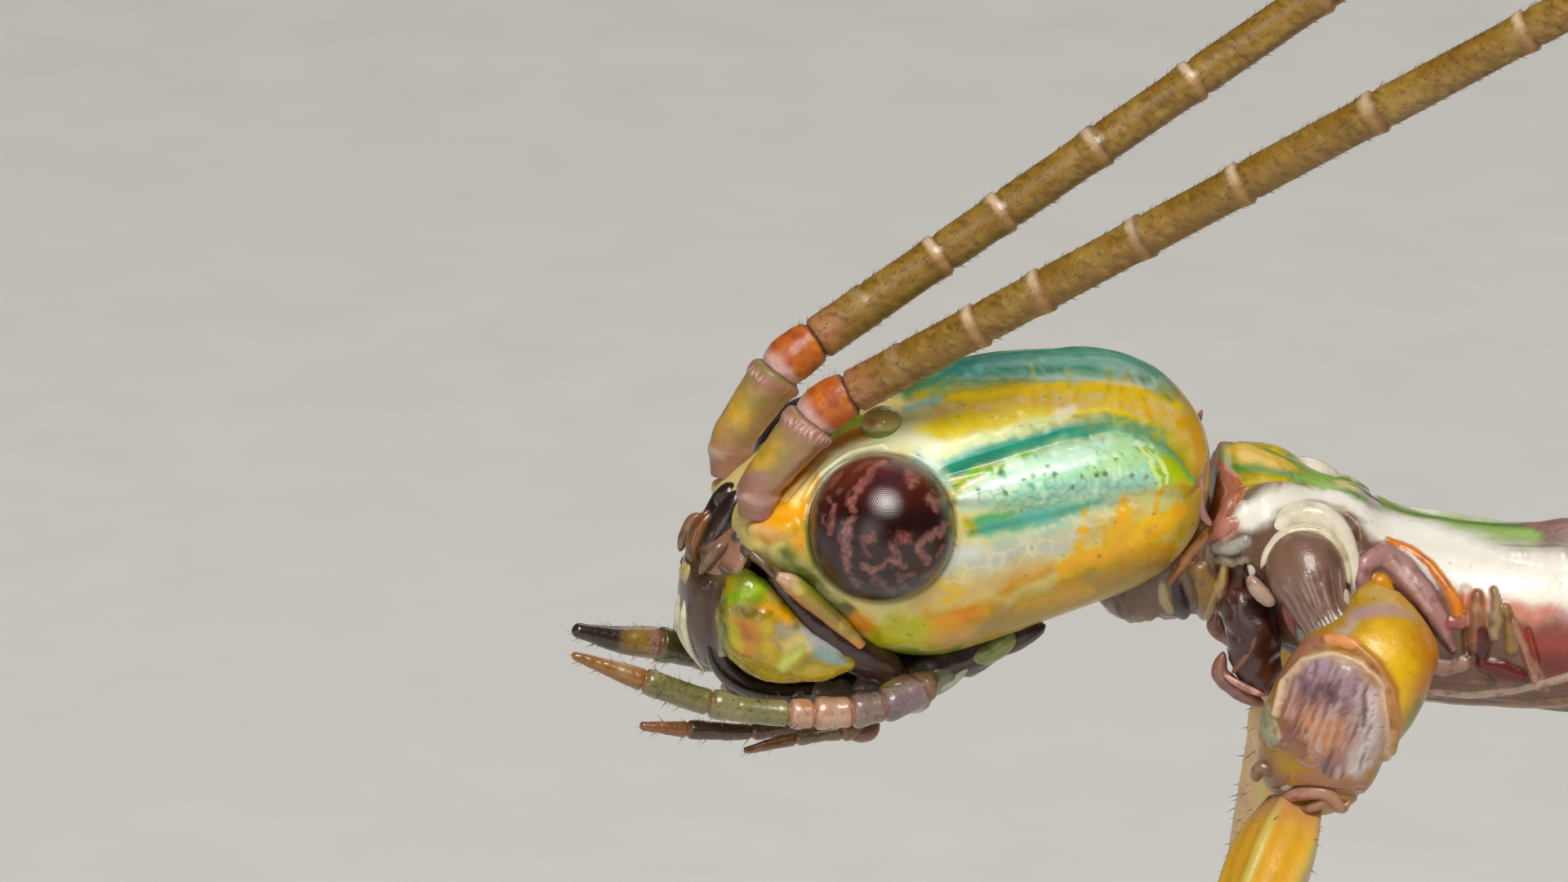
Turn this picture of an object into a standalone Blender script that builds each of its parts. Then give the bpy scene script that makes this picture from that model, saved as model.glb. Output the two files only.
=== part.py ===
"""A winged female stick insect standing on its six feet, life size, for Blender 4.5.

All lengths below are in millimetres and are turned to metres by MM.  The insect faces -X with its left side
towards -Y.  Shapes are first laid out from the joint between head and prothorax, and the whole insect is
then set down with its feet at z = 0 and its bounding box centred on x = y = 0.
"""

import math

import bmesh
import bpy
from mathutils import Matrix, Vector

MM = 0.001
SIDEWAYS = Vector((0, 1, 0))
UPWARD = Vector((0, 0, 1))
GAP = 0.08  # clearance between neighbouring plates

# Driving dimensions
FLOOR_DROP = 25.6  # from the neck joint down to the floor
HEAD_YAW = 16.0  # degrees: the head looks a little to its left
HEAD_PITCH = 5.0
EYE_RADIUS = 0.90
EYE_CENTRE = (-4.33, 1.25, 0.58)
ANTENNA_LENGTH = 72.0
ANTENNA_RADIUS = 0.28  # at the base
ANTENNA_TIP_RADIUS = 0.25
ANTENNA_SPREAD = 12.0  # degrees to the side
ANTENNA_RISE = {"left": 31.7, "right": 32.6}  # degrees above level at the head
ANTENNA_DROOP = 46.0  # degrees that the slope loses over a whole length
ANTENNA_KNOTS = 24
# Scape and pedicel of each feeler: back, side, up, radius.  The right one is raised a little more.
ANTENNA_BASE = {
    "left": [
        (-5.72, 0.71, 0.82, 0.25),
        (-5.63, 0.72, 1.20, 0.27),
        (-5.42, 0.745, 1.44, 0.29),
        (-5.20, 0.77, 1.67, 0.31),
        (-5.00, 0.795, 1.88, 0.33),
        (-4.85, 0.81, 2.02, 0.30),
        (-4.66, 0.84, 2.13, 0.30),
        (-4.44, 0.87, 2.22, 0.27),
    ],
    "right": [
        (-5.65, 0.76, 0.84, 0.26),
        (-5.53, 0.80, 1.34, 0.25),
        (-5.30, 0.80, 1.61, 0.28),
        (-5.08, 0.80, 1.85, 0.30),
        (-4.92, 0.80, 2.02, 0.31),
        (-4.78, 0.81, 2.15, 0.29),
        (-4.59, 0.84, 2.25, 0.29),
        (-4.38, 0.875, 2.34, 0.27),
    ],
}
WING_THICKNESS = 0.5
TARSUS_RADIUS = 0.33
TARSUS_HEIGHT = 0.29  # of its centreline, so that the sole is a narrow flat

# Head capsule, from the back to the front: station, top, bottom, half width
HEAD_PROFILE = [
    (0.12, 1.05, -0.10, 0.75),
    (-0.10, 1.36, -0.55, 1.05),
    (-0.50, 1.67, -0.90, 1.30),
    (-1.00, 1.84, -1.08, 1.43),
    (-1.60, 1.93, -1.21, 1.48),
    (-2.30, 2.00, -1.34, 1.50),
    (-3.00, 1.97, -1.46, 1.54),
    (-3.70, 1.82, -1.48, 1.57),
    (-4.30, 1.63, -1.28, 1.54),
    (-4.80, 1.45, -0.86, 1.42),
    (-5.30, 1.24, -0.36, 1.22),
    (-5.70, 1.00, 0.05, 0.98),
]
HEAD_BACK = (0.24, 0.0, 0.46)
HEAD_FRONT = (-5.98, 0.0, 0.62)

# Thorax and abdomen: x, top, bottom, half width
PROTHORAX_PROFILE = [
    (0.12, 0.34, -1.40, 0.92),
    (0.34, 0.50, -1.62, 1.12),
    (0.70, 0.46, -1.82, 1.15),
    (1.40, 0.14, -2.18, 1.18),
    (1.90, -0.04, -2.36, 1.18),
    (2.20, -0.24, -2.50, 1.15),
    (3.00, -0.46, -2.64, 1.18),
    (4.05, -0.54, -2.70, 1.20),
]
MESOTHORAX_PROFILE = [
    (4.15, -0.50, -2.70, 1.20),
    (4.80, -0.46, -2.76, 1.27),
    (7.00, -0.60, -2.95, 1.30),
    (9.50, -0.84, -3.35, 1.48),
    (11.90, -1.05, -3.56, 1.60),
]
METATHORAX_PROFILE = [
    (12.00, -1.06, -3.57, 1.60),
    (15.00, -1.30, -3.90, 1.72),
    (18.00, -1.60, -4.25, 1.76),
    (20.00, -1.82, -4.32, 1.64),
]
ABDOMEN_PROFILE = [
    (20.10, -1.84, -4.32, 1.62),
    (28.00, -2.42, -4.78, 1.46),
    (36.00, -3.02, -5.26, 1.36),
    (44.00, -3.58, -5.74, 1.30),
    (52.00, -4.06, -6.16, 1.26),
    (60.00, -4.46, -6.56, 1.22),
    (66.00, -4.70, -6.82, 1.20),
    (70.00, -4.86, -6.56, 1.02),
    (73.00, -5.02, -6.16, 0.66),
]
ABDOMEN_CUTS = (36.0, 52.0, 64.0)  # between the four lengths of the abdomen

# Legs: hip, unit direction and length of the femur, horizontal heading of the tibia and its length, and
# the heading and length of the tarsus.  The right and left legs of a pair stand a little differently.
LEGS = {
    "fore_left": ((1.13, -1.95, -3.35), (-0.35, -0.74, -0.60), 17.0, (-0.74, -0.67), 16.0, (-0.86, -0.51), 6.6),
    "fore_right": ((1.25, 1.95, -3.35), (-0.04, 0.72, -0.69), 17.0, (-0.54, 0.84), 16.0, (-0.72, 0.69), 6.6),
    "mid_left": ((10.70, -2.55, -4.25), (0.16, -0.87, -0.46), 13.5, (0.25, -0.97), 14.6, (0.10, -0.99), 5.6),
    "mid_right": ((10.70, 2.55, -4.25), (-0.04, 0.88, -0.47), 13.5, (0.10, 0.99), 14.6, (-0.15, 0.99), 5.6),
    "hind_left": ((18.60, -2.70, -5.00), (0.62, -0.68, -0.39), 18.5, (0.70, -0.71), 19.0, (0.80, -0.60), 6.4),
    "hind_right": ((18.60, 2.70, -5.00), (0.70, 0.61, -0.37), 18.5, (0.62, 0.78), 19.0, (0.72, 0.69), 6.4),
}
FEMUR_RADIUS = {"fore": 0.52, "mid": 0.50, "hind": 0.54}
TIBIA_RADIUS = {"fore": 0.36, "mid": 0.35, "hind": 0.38}

COLOURS = {
    "head": ((0.42, 0.62, 0.36, 1), 0.30),
    "eye": ((0.10, 0.02, 0.02, 1), 0.15),
    "antenna": ((0.36, 0.22, 0.06, 1), 0.55),
    "mouthparts": ((0.42, 0.38, 0.12, 1), 0.35),
    "membrane": ((0.30, 0.17, 0.12, 1), 0.50),
    "thorax": ((0.46, 0.42, 0.20, 1), 0.40),
    "wing": ((0.30, 0.36, 0.10, 1), 0.45),
    "abdomen": ((0.48, 0.32, 0.12, 1), 0.45),
    "leg": ((0.58, 0.42, 0.05, 1), 0.40),
    "tarsus": ((0.32, 0.18, 0.07, 1), 0.50),
}


def clear_scene():
    for obj in list(bpy.data.objects):
        bpy.data.objects.remove(obj)


def new_collection(name):
    collection = bpy.data.collections.new(name)
    bpy.context.scene.collection.children.link(collection)
    return collection


def make_materials():
    made = {}
    for name, (colour, roughness) in COLOURS.items():
        material = bpy.data.materials.new(name)
        material.use_nodes = True
        shader = material.node_tree.nodes["Principled BSDF"]
        shader.inputs["Base Color"].default_value = colour
        shader.inputs["Roughness"].default_value = roughness
        shader.inputs["Metallic"].default_value = 0.0
        made[name] = material
    return made


def add_object(name, data, material):
    obj = bpy.data.objects.new(name, data)
    data.materials.append(MATERIALS[material])
    INSECT.objects.link(obj)
    return obj


# Geometry helpers ----------------------------------------------------------------------------------------


def section(centre, across, up, half_width, above, below, count=20, power=2.3):
    """A closed outline round centre: a superellipse whose upper and lower halves may differ in height."""
    points = []
    for i in range(count):
        angle = 2 * math.pi * i / count
        c, s = math.cos(angle), math.sin(angle)
        side = half_width * math.copysign(abs(c) ** (2 / power), c)
        rise = (above if s > 0 else below) * math.copysign(abs(s) ** (2 / power), s)
        points.append(centre + across * side + up * rise)
    return points


def loft(name, sections, material, start=None, end=None):
    """A closed skin through sections of equal count; start and end are pole points, or the middle of each cap."""
    mesh = bmesh.new()
    loops = [[mesh.verts.new(p * MM) for p in points] for points in sections]
    count = len(loops[0])
    for first, second in zip(loops, loops[1:]):
        for i in range(count):
            j = (i + 1) % count
            mesh.faces.new((first[i], first[j], second[j], second[i]))
    for loop, pole in ((loops[0], start), (loops[-1], end)):
        middle = sum((v.co for v in loop), Vector()) / count if pole is None else Vector(pole) * MM
        tip = mesh.verts.new(middle)
        for i in range(count):
            mesh.faces.new((loop[i], loop[(i + 1) % count], tip))
    bmesh.ops.recalc_face_normals(mesh, faces=mesh.faces)
    data = bpy.data.meshes.new(name)
    mesh.to_mesh(data)
    mesh.free()
    data.shade_smooth()
    return add_object(name, data, material)


def round_loft(name, points, girths, material, count=14, last_heading=None):
    """A round limb through the points, its sections square to its path."""
    sections = []
    for i, (point, girth) in enumerate(zip(points, girths)):
        heading = points[min(i + 1, len(points) - 1)] - points[max(i - 1, 0)]
        if last_heading is not None and i == len(points) - 1:
            heading = last_heading
        across = UPWARD.cross(heading).normalized()
        rise = heading.cross(across).normalized()
        sections.append(section(point, across, rise, girth, girth, girth, count, 2.1))
    return loft(name, sections, material)


def smooth_path(points, count):
    """Points on a Catmull-Rom curve through the given ones, evenly spread between them."""
    knots = [Vector(p) for p in points]
    knots = [2 * knots[0] - knots[1], *knots, 2 * knots[-1] - knots[-2]]
    path = []
    for i in range(count):
        place = i / (count - 1) * (len(points) - 1)
        k = min(int(place), len(points) - 2)
        t = place - k
        a, b, c, d = knots[k : k + 4]
        path.append(
            0.5 * (2 * b + (c - a) * t + (2 * a - 5 * b + 4 * c - d) * t * t + (3 * b - a - 3 * c + d) * t**3)
        )
    return path


def tube(name, points, radii, material):
    """A round tube along the points with a radius at each, its two ends capped."""
    curve = bpy.data.curves.new(name, "CURVE")
    curve.dimensions = "3D"
    curve.bevel_depth = MM
    curve.bevel_resolution = 2
    curve.use_fill_caps = True
    spline = curve.splines.new("POLY")
    spline.points.add(len(points) - 1)
    for knot, point, radius in zip(spline.points, points, radii):
        knot.co = (*(Vector(point) * MM), 1)
        knot.radius = radius
    return add_object(name, curve, material)


def limb(name, start, end, radius, material, waist=0.86, bow=(0, 0, 0), knots=6):
    """A leg segment: a tube with rounded ends that is a little narrower in the middle and may bow sideways."""
    start, end, bow = Vector(start), Vector(end), Vector(bow)
    length = (end - start).length
    places = [0.0, 0.16 / length]
    places += [0.16 / length + (1 - 0.32 / length) * k / (knots - 1) for k in range(1, knots)]
    places.append(1.0)
    points = [start.lerp(end, t) + bow * math.sin(math.pi * t) for t in places]
    radii = []
    for t in places:
        girth = waist + (1 - waist) * abs(2 * t - 1) ** 3
        radii.append(radius * girth * (0.62 if t in (0.0, 1.0) else 1.0))
    return tube(name, points, radii, material)


def make_room(piece, neighbour, gap=GAP):
    """Cuts the piece back so that the neighbour, grown by the gap, is clear of it."""
    cutter = bpy.data.objects.new(f"cutter_{neighbour.name}_in_{piece.name}", neighbour.data)
    CUTTERS.objects.link(cutter)
    cutter.display_type = "WIRE"
    cutter.hide_render = True
    grow = cutter.modifiers.new("Grow", "DISPLACE")
    grow.mid_level = 0.0
    grow.strength = gap * MM
    cut = piece.modifiers.new("Room", "BOOLEAN")
    cut.operation = "DIFFERENCE"
    cut.object = cutter
    cut.solver = "EXACT"
    return cutter


# Head ----------------------------------------------------------------------------------------------------


def head_matrix():
    yaw = Matrix.Rotation(math.radians(HEAD_YAW), 3, "Z")
    pitch = Matrix.Rotation(-math.radians(HEAD_PITCH), 3, "Y")
    return yaw @ pitch


HEAD = head_matrix()
HEAD_ORIGIN = Vector((-0.13, 0.0, 0.105))  # where the head turns on the neck


def on_head(back, side, up):
    """A point given in the head's own axes: back along the head, to its right, and up."""
    return HEAD_ORIGIN + HEAD @ Vector((back, side, up))


def head_section(back, top, bottom, half_width, count=20, power=2.25):
    centre = on_head(back, 0, (top + bottom) / 2)
    half = (top - bottom) / 2
    return section(centre, HEAD @ Vector((0, 1, 0)), HEAD @ Vector((0, 0, 1)), half_width, half, half, count, power)


def make_head():
    sections = [head_section(*row) for row in HEAD_PROFILE]
    return loft("head_capsule", sections, "head", on_head(*HEAD_BACK), on_head(*HEAD_FRONT))


def make_eye(side, sign, capsule):
    back, out, up = EYE_CENTRE
    data = bpy.data.meshes.new(f"eye_{side}")
    mesh = bmesh.new()
    bmesh.ops.create_uvsphere(mesh, u_segments=16, v_segments=9, radius=EYE_RADIUS * MM)
    mesh.to_mesh(data)
    mesh.free()
    data.shade_smooth()
    eye = add_object(f"eye_{side}", data, "eye")
    eye.location = on_head(back, sign * out, up) * MM
    cutter = make_room(capsule, eye)
    cutter.location = eye.location
    return eye


def make_antenna_base(side, sign, capsule):
    """Scape and pedicel, the two thick joints that the feeler turns on."""
    spine = ANTENNA_BASE[side]
    points = [on_head(a, sign * b, c) for a, b, c, _ in spine]
    girths = [row[3] for row in spine]
    heading = antenna_heading(side, sign, 0.0)
    base = round_loft(f"antenna_base_{side}", points, girths, "antenna", last_heading=heading)
    make_room(base, capsule)
    return base


def antenna_heading(side, sign, along):
    """Direction of the feeler: it spreads a little, rises at first and droops towards its tip."""
    spread = math.radians(ANTENNA_SPREAD * sign)
    slope = math.radians(ANTENNA_RISE[side] - ANTENNA_DROOP * max(0.0, along - 0.16))
    return Vector((math.cos(spread) * math.cos(slope), math.sin(spread) * math.cos(slope), math.sin(slope)))


def make_antenna(side, sign):
    back, out, up, _ = ANTENNA_BASE[side][-1]
    points = [on_head(back, sign * out, up)]
    for i in range(ANTENNA_KNOTS):
        step = antenna_heading(side, sign, i / ANTENNA_KNOTS) * ANTENNA_LENGTH / ANTENNA_KNOTS
        points.append(points[-1] + step)
    third = ANTENNA_KNOTS // 3
    for k, name in enumerate(("inner", "middle", "outer")):
        first = third * k
        run = points[first : first + third + 1]
        run[0] = run[0] + (run[1] - run[0]).normalized() * GAP
        radii = [
            ANTENNA_RADIUS + (ANTENNA_TIP_RADIUS - ANTENNA_RADIUS) * (first + i) / ANTENNA_KNOTS
            for i in range(len(run))
        ]
        tube(f"antenna_{side}_{name}", run, radii, "antenna")


def head_loft(name, rows, across, up, material, count=12, power=2.3):
    """A loft across the head's own axes from rows of (back, side, up, half width, half height)."""
    sections = [section(on_head(a, b, c), across, up, w, h, h, count, power) for a, b, c, w, h in rows]
    return loft(name, sections, material)


def make_mouthparts(capsule):
    across, up = HEAD @ SIDEWAYS, HEAD @ UPWARD
    # Upper lip: a curved plate that hangs in front of the jaws
    rows = [
        (-6.02, 0, 0.58, 0.66, 0.14),
        (-6.28, 0, 0.22, 0.76, 0.16),
        (-6.46, 0, -0.20, 0.80, 0.15),
        (-6.50, 0, -0.70, 0.74, 0.14),
        (-6.36, 0, -1.20, 0.50, 0.12),
    ]
    lip = head_loft("upper_lip", rows, across, HEAD @ Vector((1, 0, 0.35)), "mouthparts")
    make_room(lip, capsule)
    # Jaws: two short swollen wedges below the cheeks
    for side, sign in (("left", -1), ("right", 1)):
        rows = [
            (-4.78, sign * 0.68, -1.04, 0.30, 0.16),
            (-5.05, sign * 0.68, -0.95, 0.44, 0.36),
            (-5.40, sign * 0.68, -0.72, 0.48, 0.62),
            (-5.78, sign * 0.68, -0.56, 0.46, 0.78),
            (-6.08, sign * 0.68, -0.52, 0.38, 0.62),
            (-6.24, sign * 0.68, -0.52, 0.26, 0.36),
        ]
        jaw = head_loft(f"jaw_{side}", rows, across, up, "mouthparts")
        make_room(jaw, capsule)
        make_room(jaw, lip)
    # Lower lip and throat, a keel under the head
    rows = [
        (-2.45, 0, -1.52, 0.42, 0.16),
        (-3.10, 0, -1.70, 0.62, 0.22),
        (-4.00, 0, -1.72, 0.72, 0.26),
        (-4.80, 0, -1.66, 0.64, 0.24),
        (-5.60, 0, -1.66, 0.50, 0.22),
        (-6.05, 0, -1.62, 0.36, 0.18),
    ]
    lower = head_loft("lower_lip", rows, across, up, "mouthparts")
    make_room(lower, capsule)
    make_mouth_feelers()


# The longer pair of mouth feelers springs from the outer jaws, the shorter from the lower lip
JAW_FEELER = {
    "left": [
        (-4.10, 1.02, -1.72),
        (-4.61, 1.08, -1.76),
        (-5.11, 1.06, -1.73),
        (-5.64, 1.00, -1.66),
        (-6.48, 0.90, -1.42),
        (-7.30, 0.78, -1.01),
        (-8.10, 0.66, -0.58),
    ],
    "right": [
        (-4.10, 1.02, -1.72),
        (-4.61, 1.08, -1.76),
        (-5.11, 1.06, -1.73),
        (-5.64, 1.02, -1.65),
        (-6.33, 0.97, -1.38),
        (-7.12, 0.86, -1.06),
        (-7.74, 0.75, -0.77),
    ],
}
LIP_FEELER = {
    "left": [(-4.70, 0.42, -2.20), (-5.10, 0.45, -2.22), (-5.46, 0.44, -2.22), (-6.04, 0.44, -2.26)],
    "right": [(-4.75, 0.40, -2.26), (-5.65, 0.40, -2.36), (-6.47, 0.42, -2.20), (-7.08, 0.40, -2.03)],
}


def make_mouth_feelers():
    for side, sign in (("left", -1), ("right", 1)):
        points = smooth_path([on_head(a, sign * b, c) for a, b, c in JAW_FEELER[side]], 10)
        tube(f"jaw_feeler_{side}", points, taper(0.27, 0.25, 10), "mouthparts")
        under = LIP_FEELER[side]
        points = smooth_path([on_head(a, sign * b, c) for a, b, c in under], 7)
        tube(f"lip_feeler_{side}", points, taper(0.26, 0.25, 7), "mouthparts")


def taper(first, last, count):
    """Radii from the first to the last, with both ends rounded off."""
    radii = [first + (last - first) * i / (count - 1) for i in range(count)]
    radii[0] *= 0.75
    radii[-1] *= 0.65
    return radii


# Body ----------------------------------------------------------------------------------------------------

def body_section(x, top, bottom, half_width, count=20, power=2.4, grow=0.0):
    half = (top - bottom) / 2 + grow
    return section(Vector((x, 0, (top + bottom) / 2)), SIDEWAYS, UPWARD, half_width + grow, half, half, count, power)


def profile_at(profile, x):
    """Top, bottom and half width of a body profile, read between its stations."""
    for first, second in zip(profile, profile[1:]):
        if x <= second[0]:
            t = max(0.0, (x - first[0]) / (second[0] - first[0]))
            return [a + (b - a) * t for a, b in zip(first[1:], second[1:])]
    return list(profile[-1][1:])


def make_prothorax(capsule):
    """The shield and the side walls that carry the fore hips, with the two gland horns at the front corners."""
    body = loft("prothorax", [body_section(*row) for row in PROTHORAX_PROFILE], "thorax")
    make_room(body, capsule)
    return body


def make_neck(capsule, prothorax):
    rows = [
        (-1.55, -1.10, -1.62, 0.55),
        (-1.00, -0.70, -1.60, 0.80),
        (-0.35, -0.25, -1.52, 0.86),
        (0.20, -0.15, -1.50, 0.86),
        (0.60, -0.30, -1.50, 0.80),
    ]
    neck = loft("neck", [body_section(*row, count=12) for row in rows], "membrane")
    make_room(neck, capsule)
    make_room(neck, prothorax)
    return neck


def make_hip(name, spine, hosts):
    """A coxa: a swollen cup along its spine of (x, y, z, radius)."""
    points = [Vector(p[:3]) for p in spine]
    heading = (points[-1] - points[0]).normalized()
    forward = Vector((1, 0, 0))
    outward = heading.cross(forward).normalized()
    forward = outward.cross(heading).normalized()
    sections = [section(p, forward, outward, row[3], row[3] * 0.86, row[3] * 0.86, 16, 2.2) for p, row in zip(points, spine)]
    hip = loft(name, sections, "leg")
    for host in hosts:
        make_room(hip, host)
    return hip


def make_abdomen():
    cuts = [ABDOMEN_PROFILE[0][0], *ABDOMEN_CUTS, ABDOMEN_PROFILE[-1][0]]
    for k, name in enumerate(("base", "middle", "rear", "tip")):
        first, last = cuts[k] + (GAP if k else 0), cuts[k + 1]
        inside = [row[0] for row in ABDOMEN_PROFILE if first < row[0] < last]
        stations = [first, *inside, last]
        if len(stations) < 4:
            stations = sorted({*stations, (first + last) / 2})
        sections = [body_section(x, *profile_at(ABDOMEN_PROFILE, x)) for x in stations]
        loft(f"abdomen_{name}", sections, "abdomen")


def shell(name, rows, material, thickness=WING_THICKNESS):
    """A thin sheet through rows of points, thickened outwards."""
    mesh = bmesh.new()
    grid = [[mesh.verts.new(p * MM) for p in row] for row in rows]
    for first, second in zip(grid, grid[1:]):
        for i in range(len(first) - 1):
            mesh.faces.new((first[i], first[i + 1], second[i + 1], second[i]))
    data = bpy.data.meshes.new(name)
    mesh.to_mesh(data)
    mesh.free()
    data.shade_smooth()
    obj = add_object(name, data, material)
    solid = obj.modifiers.new("Thickness", "SOLIDIFY")
    solid.thickness = thickness * MM
    solid.offset = 1.0
    solid.use_even_offset = True
    return obj


TRUNK_PROFILE = MESOTHORAX_PROFILE + METATHORAX_PROFILE + ABDOMEN_PROFILE


def over_body(x, angle, clearance, sign):
    """A point this far outside the trunk, at an angle in degrees down from the back."""
    top, bottom, half_width = profile_at(TRUNK_PROFILE, x)
    a = math.radians(angle)
    c, s = math.sin(a), math.cos(a)
    half = (top - bottom) / 2 + clearance
    side = (half_width + clearance) * abs(c) ** (2 / 2.4)
    return Vector((x, sign * side, (top + bottom) / 2 + half * math.copysign(abs(s) ** (2 / 2.4), s)))


def make_wings():
    """Each hind wing is folded along its side of the back; a short leathery fore wing covers its root."""
    for side, sign in (("left", -1), ("right", 1)):
        rows = []
        for i in range(10):
            t = i / 9
            x = 14.0 + 39.0 * t
            tip = math.sqrt(max(0.0, 1 - (max(0.0, t - 0.86) / 0.14) ** 2))
            low = 92 - 16 * t
            middle = 62.0
            first = middle + (4.5 - middle) * (0.06 + 0.94 * tip)
            last = middle + (low - middle) * (0.06 + 0.94 * tip)
            rows.append([over_body(x, first + (last - first) * j / 5, GAP + 0.05, sign) for j in range(6)])
        wing = shell(f"hind_wing_{side}", [row[::-sign] for row in rows], "wing")
        rows = []
        for i in range(9):
            t = i / 8
            x = 11.4 + 8.2 * t
            swell = math.sin(math.pi * (0.07 + 0.86 * t)) ** 0.6
            first, last = 54 - 44 * swell, 54 + 46 * swell
            lift = GAP * 2 + 0.1 + WING_THICKNESS * min(1.0, max(0.0, (x - 12.4) / 1.6))
            rows.append([over_body(x, first + (last - first) * j / 5, lift, sign) for j in range(6)])
        shell(f"fore_wing_{side}", [row[::-sign] for row in rows], "wing")


# Legs ----------------------------------------------------------------------------------------------------


def leg_points(hip, direction, femur, heading, tibia):
    """Knee and ankle: the tibia leaves the knee along its heading and ends a little above the floor."""
    hip, direction = Vector(hip), Vector(direction).normalized()
    knee = hip + direction * femur
    drop = knee.z + FLOOR_DROP - 1.25
    reach = math.sqrt(tibia**2 - drop**2)
    flat = Vector((*heading, 0)).normalized()
    return knee, knee + flat * reach - UPWARD * drop


def make_tarsus(name, ankle, shin, heading, length):
    """Five foot joints in a row, pressed flat on the floor, ending in a broad pad."""
    flat = Vector((*heading, 0)).normalized()
    across = UPWARD.cross(flat).normalized()
    floor = -FLOOR_DROP
    sections = []
    count = 8
    for i in range(count + 1):
        t = i / count
        fall = math.exp(-t * 7.5)
        height = TARSUS_HEIGHT + (ankle.z - floor - 0.28 - TARSUS_HEIGHT) * fall
        centre = Vector((ankle.x, ankle.y, floor + height)) + shin * 0.22 + flat * (length * t)
        girth = TARSUS_RADIUS * (0.92 + 0.10 * math.cos(2 * math.pi * t * 4)) * (1.18 if t > 0.93 else 1.0)
        lean = fall * 0.55
        up = (UPWARD * (1 - lean) + flat * lean).normalized()
        points = section(centre, across, up, girth, girth, girth, 9, 2.1)
        for p in points:
            p.z = max(p.z, floor)
        sections.append(points)
    return loft(name, sections, "tarsus")


def make_legs():
    for name, (hip, direction, femur, heading, tibia, toe, foot) in LEGS.items():
        pair = name.split("_")[0]
        knee, ankle = leg_points(hip, direction, femur, heading, tibia)
        thigh = (knee - Vector(hip)).normalized()
        shin = (ankle - knee).normalized()
        bow = UPWARD * 0.25
        limb(f"femur_{name}", Vector(hip) + thigh * 0.30, knee, FEMUR_RADIUS[pair], "leg", bow=bow)
        start = knee + shin * 0.42 - UPWARD * 0.10
        limb(f"tibia_{name}", start, ankle, TIBIA_RADIUS[pair], "leg", waist=0.80, knots=5)
        make_tarsus(f"tarsus_{name}", ankle, shin, toe, foot)


# Hips: x, side, z, radius
HIPS = {
    "fore": [
        (2.20, 1.30, -0.92, 0.34),
        (2.26, 1.60, -1.24, 0.60),
        (1.98, 1.80, -1.56, 0.80),
        (1.72, 1.92, -1.98, 0.86),
        (1.43, 2.00, -2.47, 0.79),
        (1.31, 2.01, -2.85, 0.73),
        (1.14, 1.99, -3.27, 0.50),
    ],
    "mid": [
        (10.20, 1.00, -2.80, 0.60),
        (10.40, 1.60, -3.30, 0.84),
        (10.55, 2.10, -3.80, 0.80),
        (10.70, 2.50, -4.20, 0.52),
    ],
    "hind": [
        (17.80, 1.10, -3.40, 0.66),
        (18.10, 1.70, -4.00, 0.92),
        (18.35, 2.25, -4.55, 0.86),
        (18.60, 2.65, -4.95, 0.56),
    ],
}


def make_hips(prothorax, mesothorax, metathorax):
    for side, sign in (("left", -1), ("right", 1)):
        for pair, host in (("fore", prothorax), ("mid", mesothorax), ("hind", metathorax)):
            ahead = 0.12 if (pair, side) == ("fore", "right") else 0.0
            spine = [(x + ahead, sign * y, z, r) for x, y, z, r in HIPS[pair]]
            make_hip(f"hip_{pair}_{side}", spine, [host])


def make_tail():
    for side, sign in (("left", -1), ("right", 1)):
        points = [(72.6 + 0.55 * k, sign * (0.34 + GAP + 0.07 * k), -5.52 - 0.05 * k * k) for k in range(5)]
        points = [(x + 0.55, y, z) for x, y, z in points]
        tube(f"tail_feeler_{side}", points, taper(0.27, 0.25, 5), "abdomen")


def stand_on_floor():
    """Moves the insect so that its feet are at z = 0 and its bounding box is centred on x = y = 0."""
    bpy.context.view_layer.update()
    graph = bpy.context.evaluated_depsgraph_get()
    corners = []
    for obj in INSECT.objects:
        evaluated = obj.evaluated_get(graph)
        mesh = evaluated.to_mesh()
        corners += [evaluated.matrix_world @ v.co for v in mesh.vertices]
        evaluated.to_mesh_clear()
    middle = [(min(c[i] for c in corners) + max(c[i] for c in corners)) / 2 for i in (0, 1)]
    shift = Vector((-middle[0], -middle[1], FLOOR_DROP * MM))
    for obj in [*INSECT.objects, *CUTTERS.objects]:
        obj.location += shift


def main():
    capsule = make_head()
    for side, sign in (("left", -1), ("right", 1)):
        make_eye(side, sign, capsule)
        make_antenna_base(side, sign, capsule)
        make_antenna(side, sign)
    make_mouthparts(capsule)
    prothorax = make_prothorax(capsule)
    make_neck(capsule, prothorax)
    mesothorax = loft("mesothorax", [body_section(*row) for row in MESOTHORAX_PROFILE], "thorax")
    metathorax = loft("metathorax", [body_section(*row) for row in METATHORAX_PROFILE], "thorax")
    make_abdomen()
    make_wings()
    make_hips(prothorax, mesothorax, metathorax)
    make_legs()
    make_tail()
    stand_on_floor()


clear_scene()
INSECT = new_collection("stick_insect")
CUTTERS = new_collection("cutters")
MATERIALS = make_materials()
main()
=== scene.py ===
import math

import bmesh
import bpy
import numpy as np
from mathutils import Matrix, Vector


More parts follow.
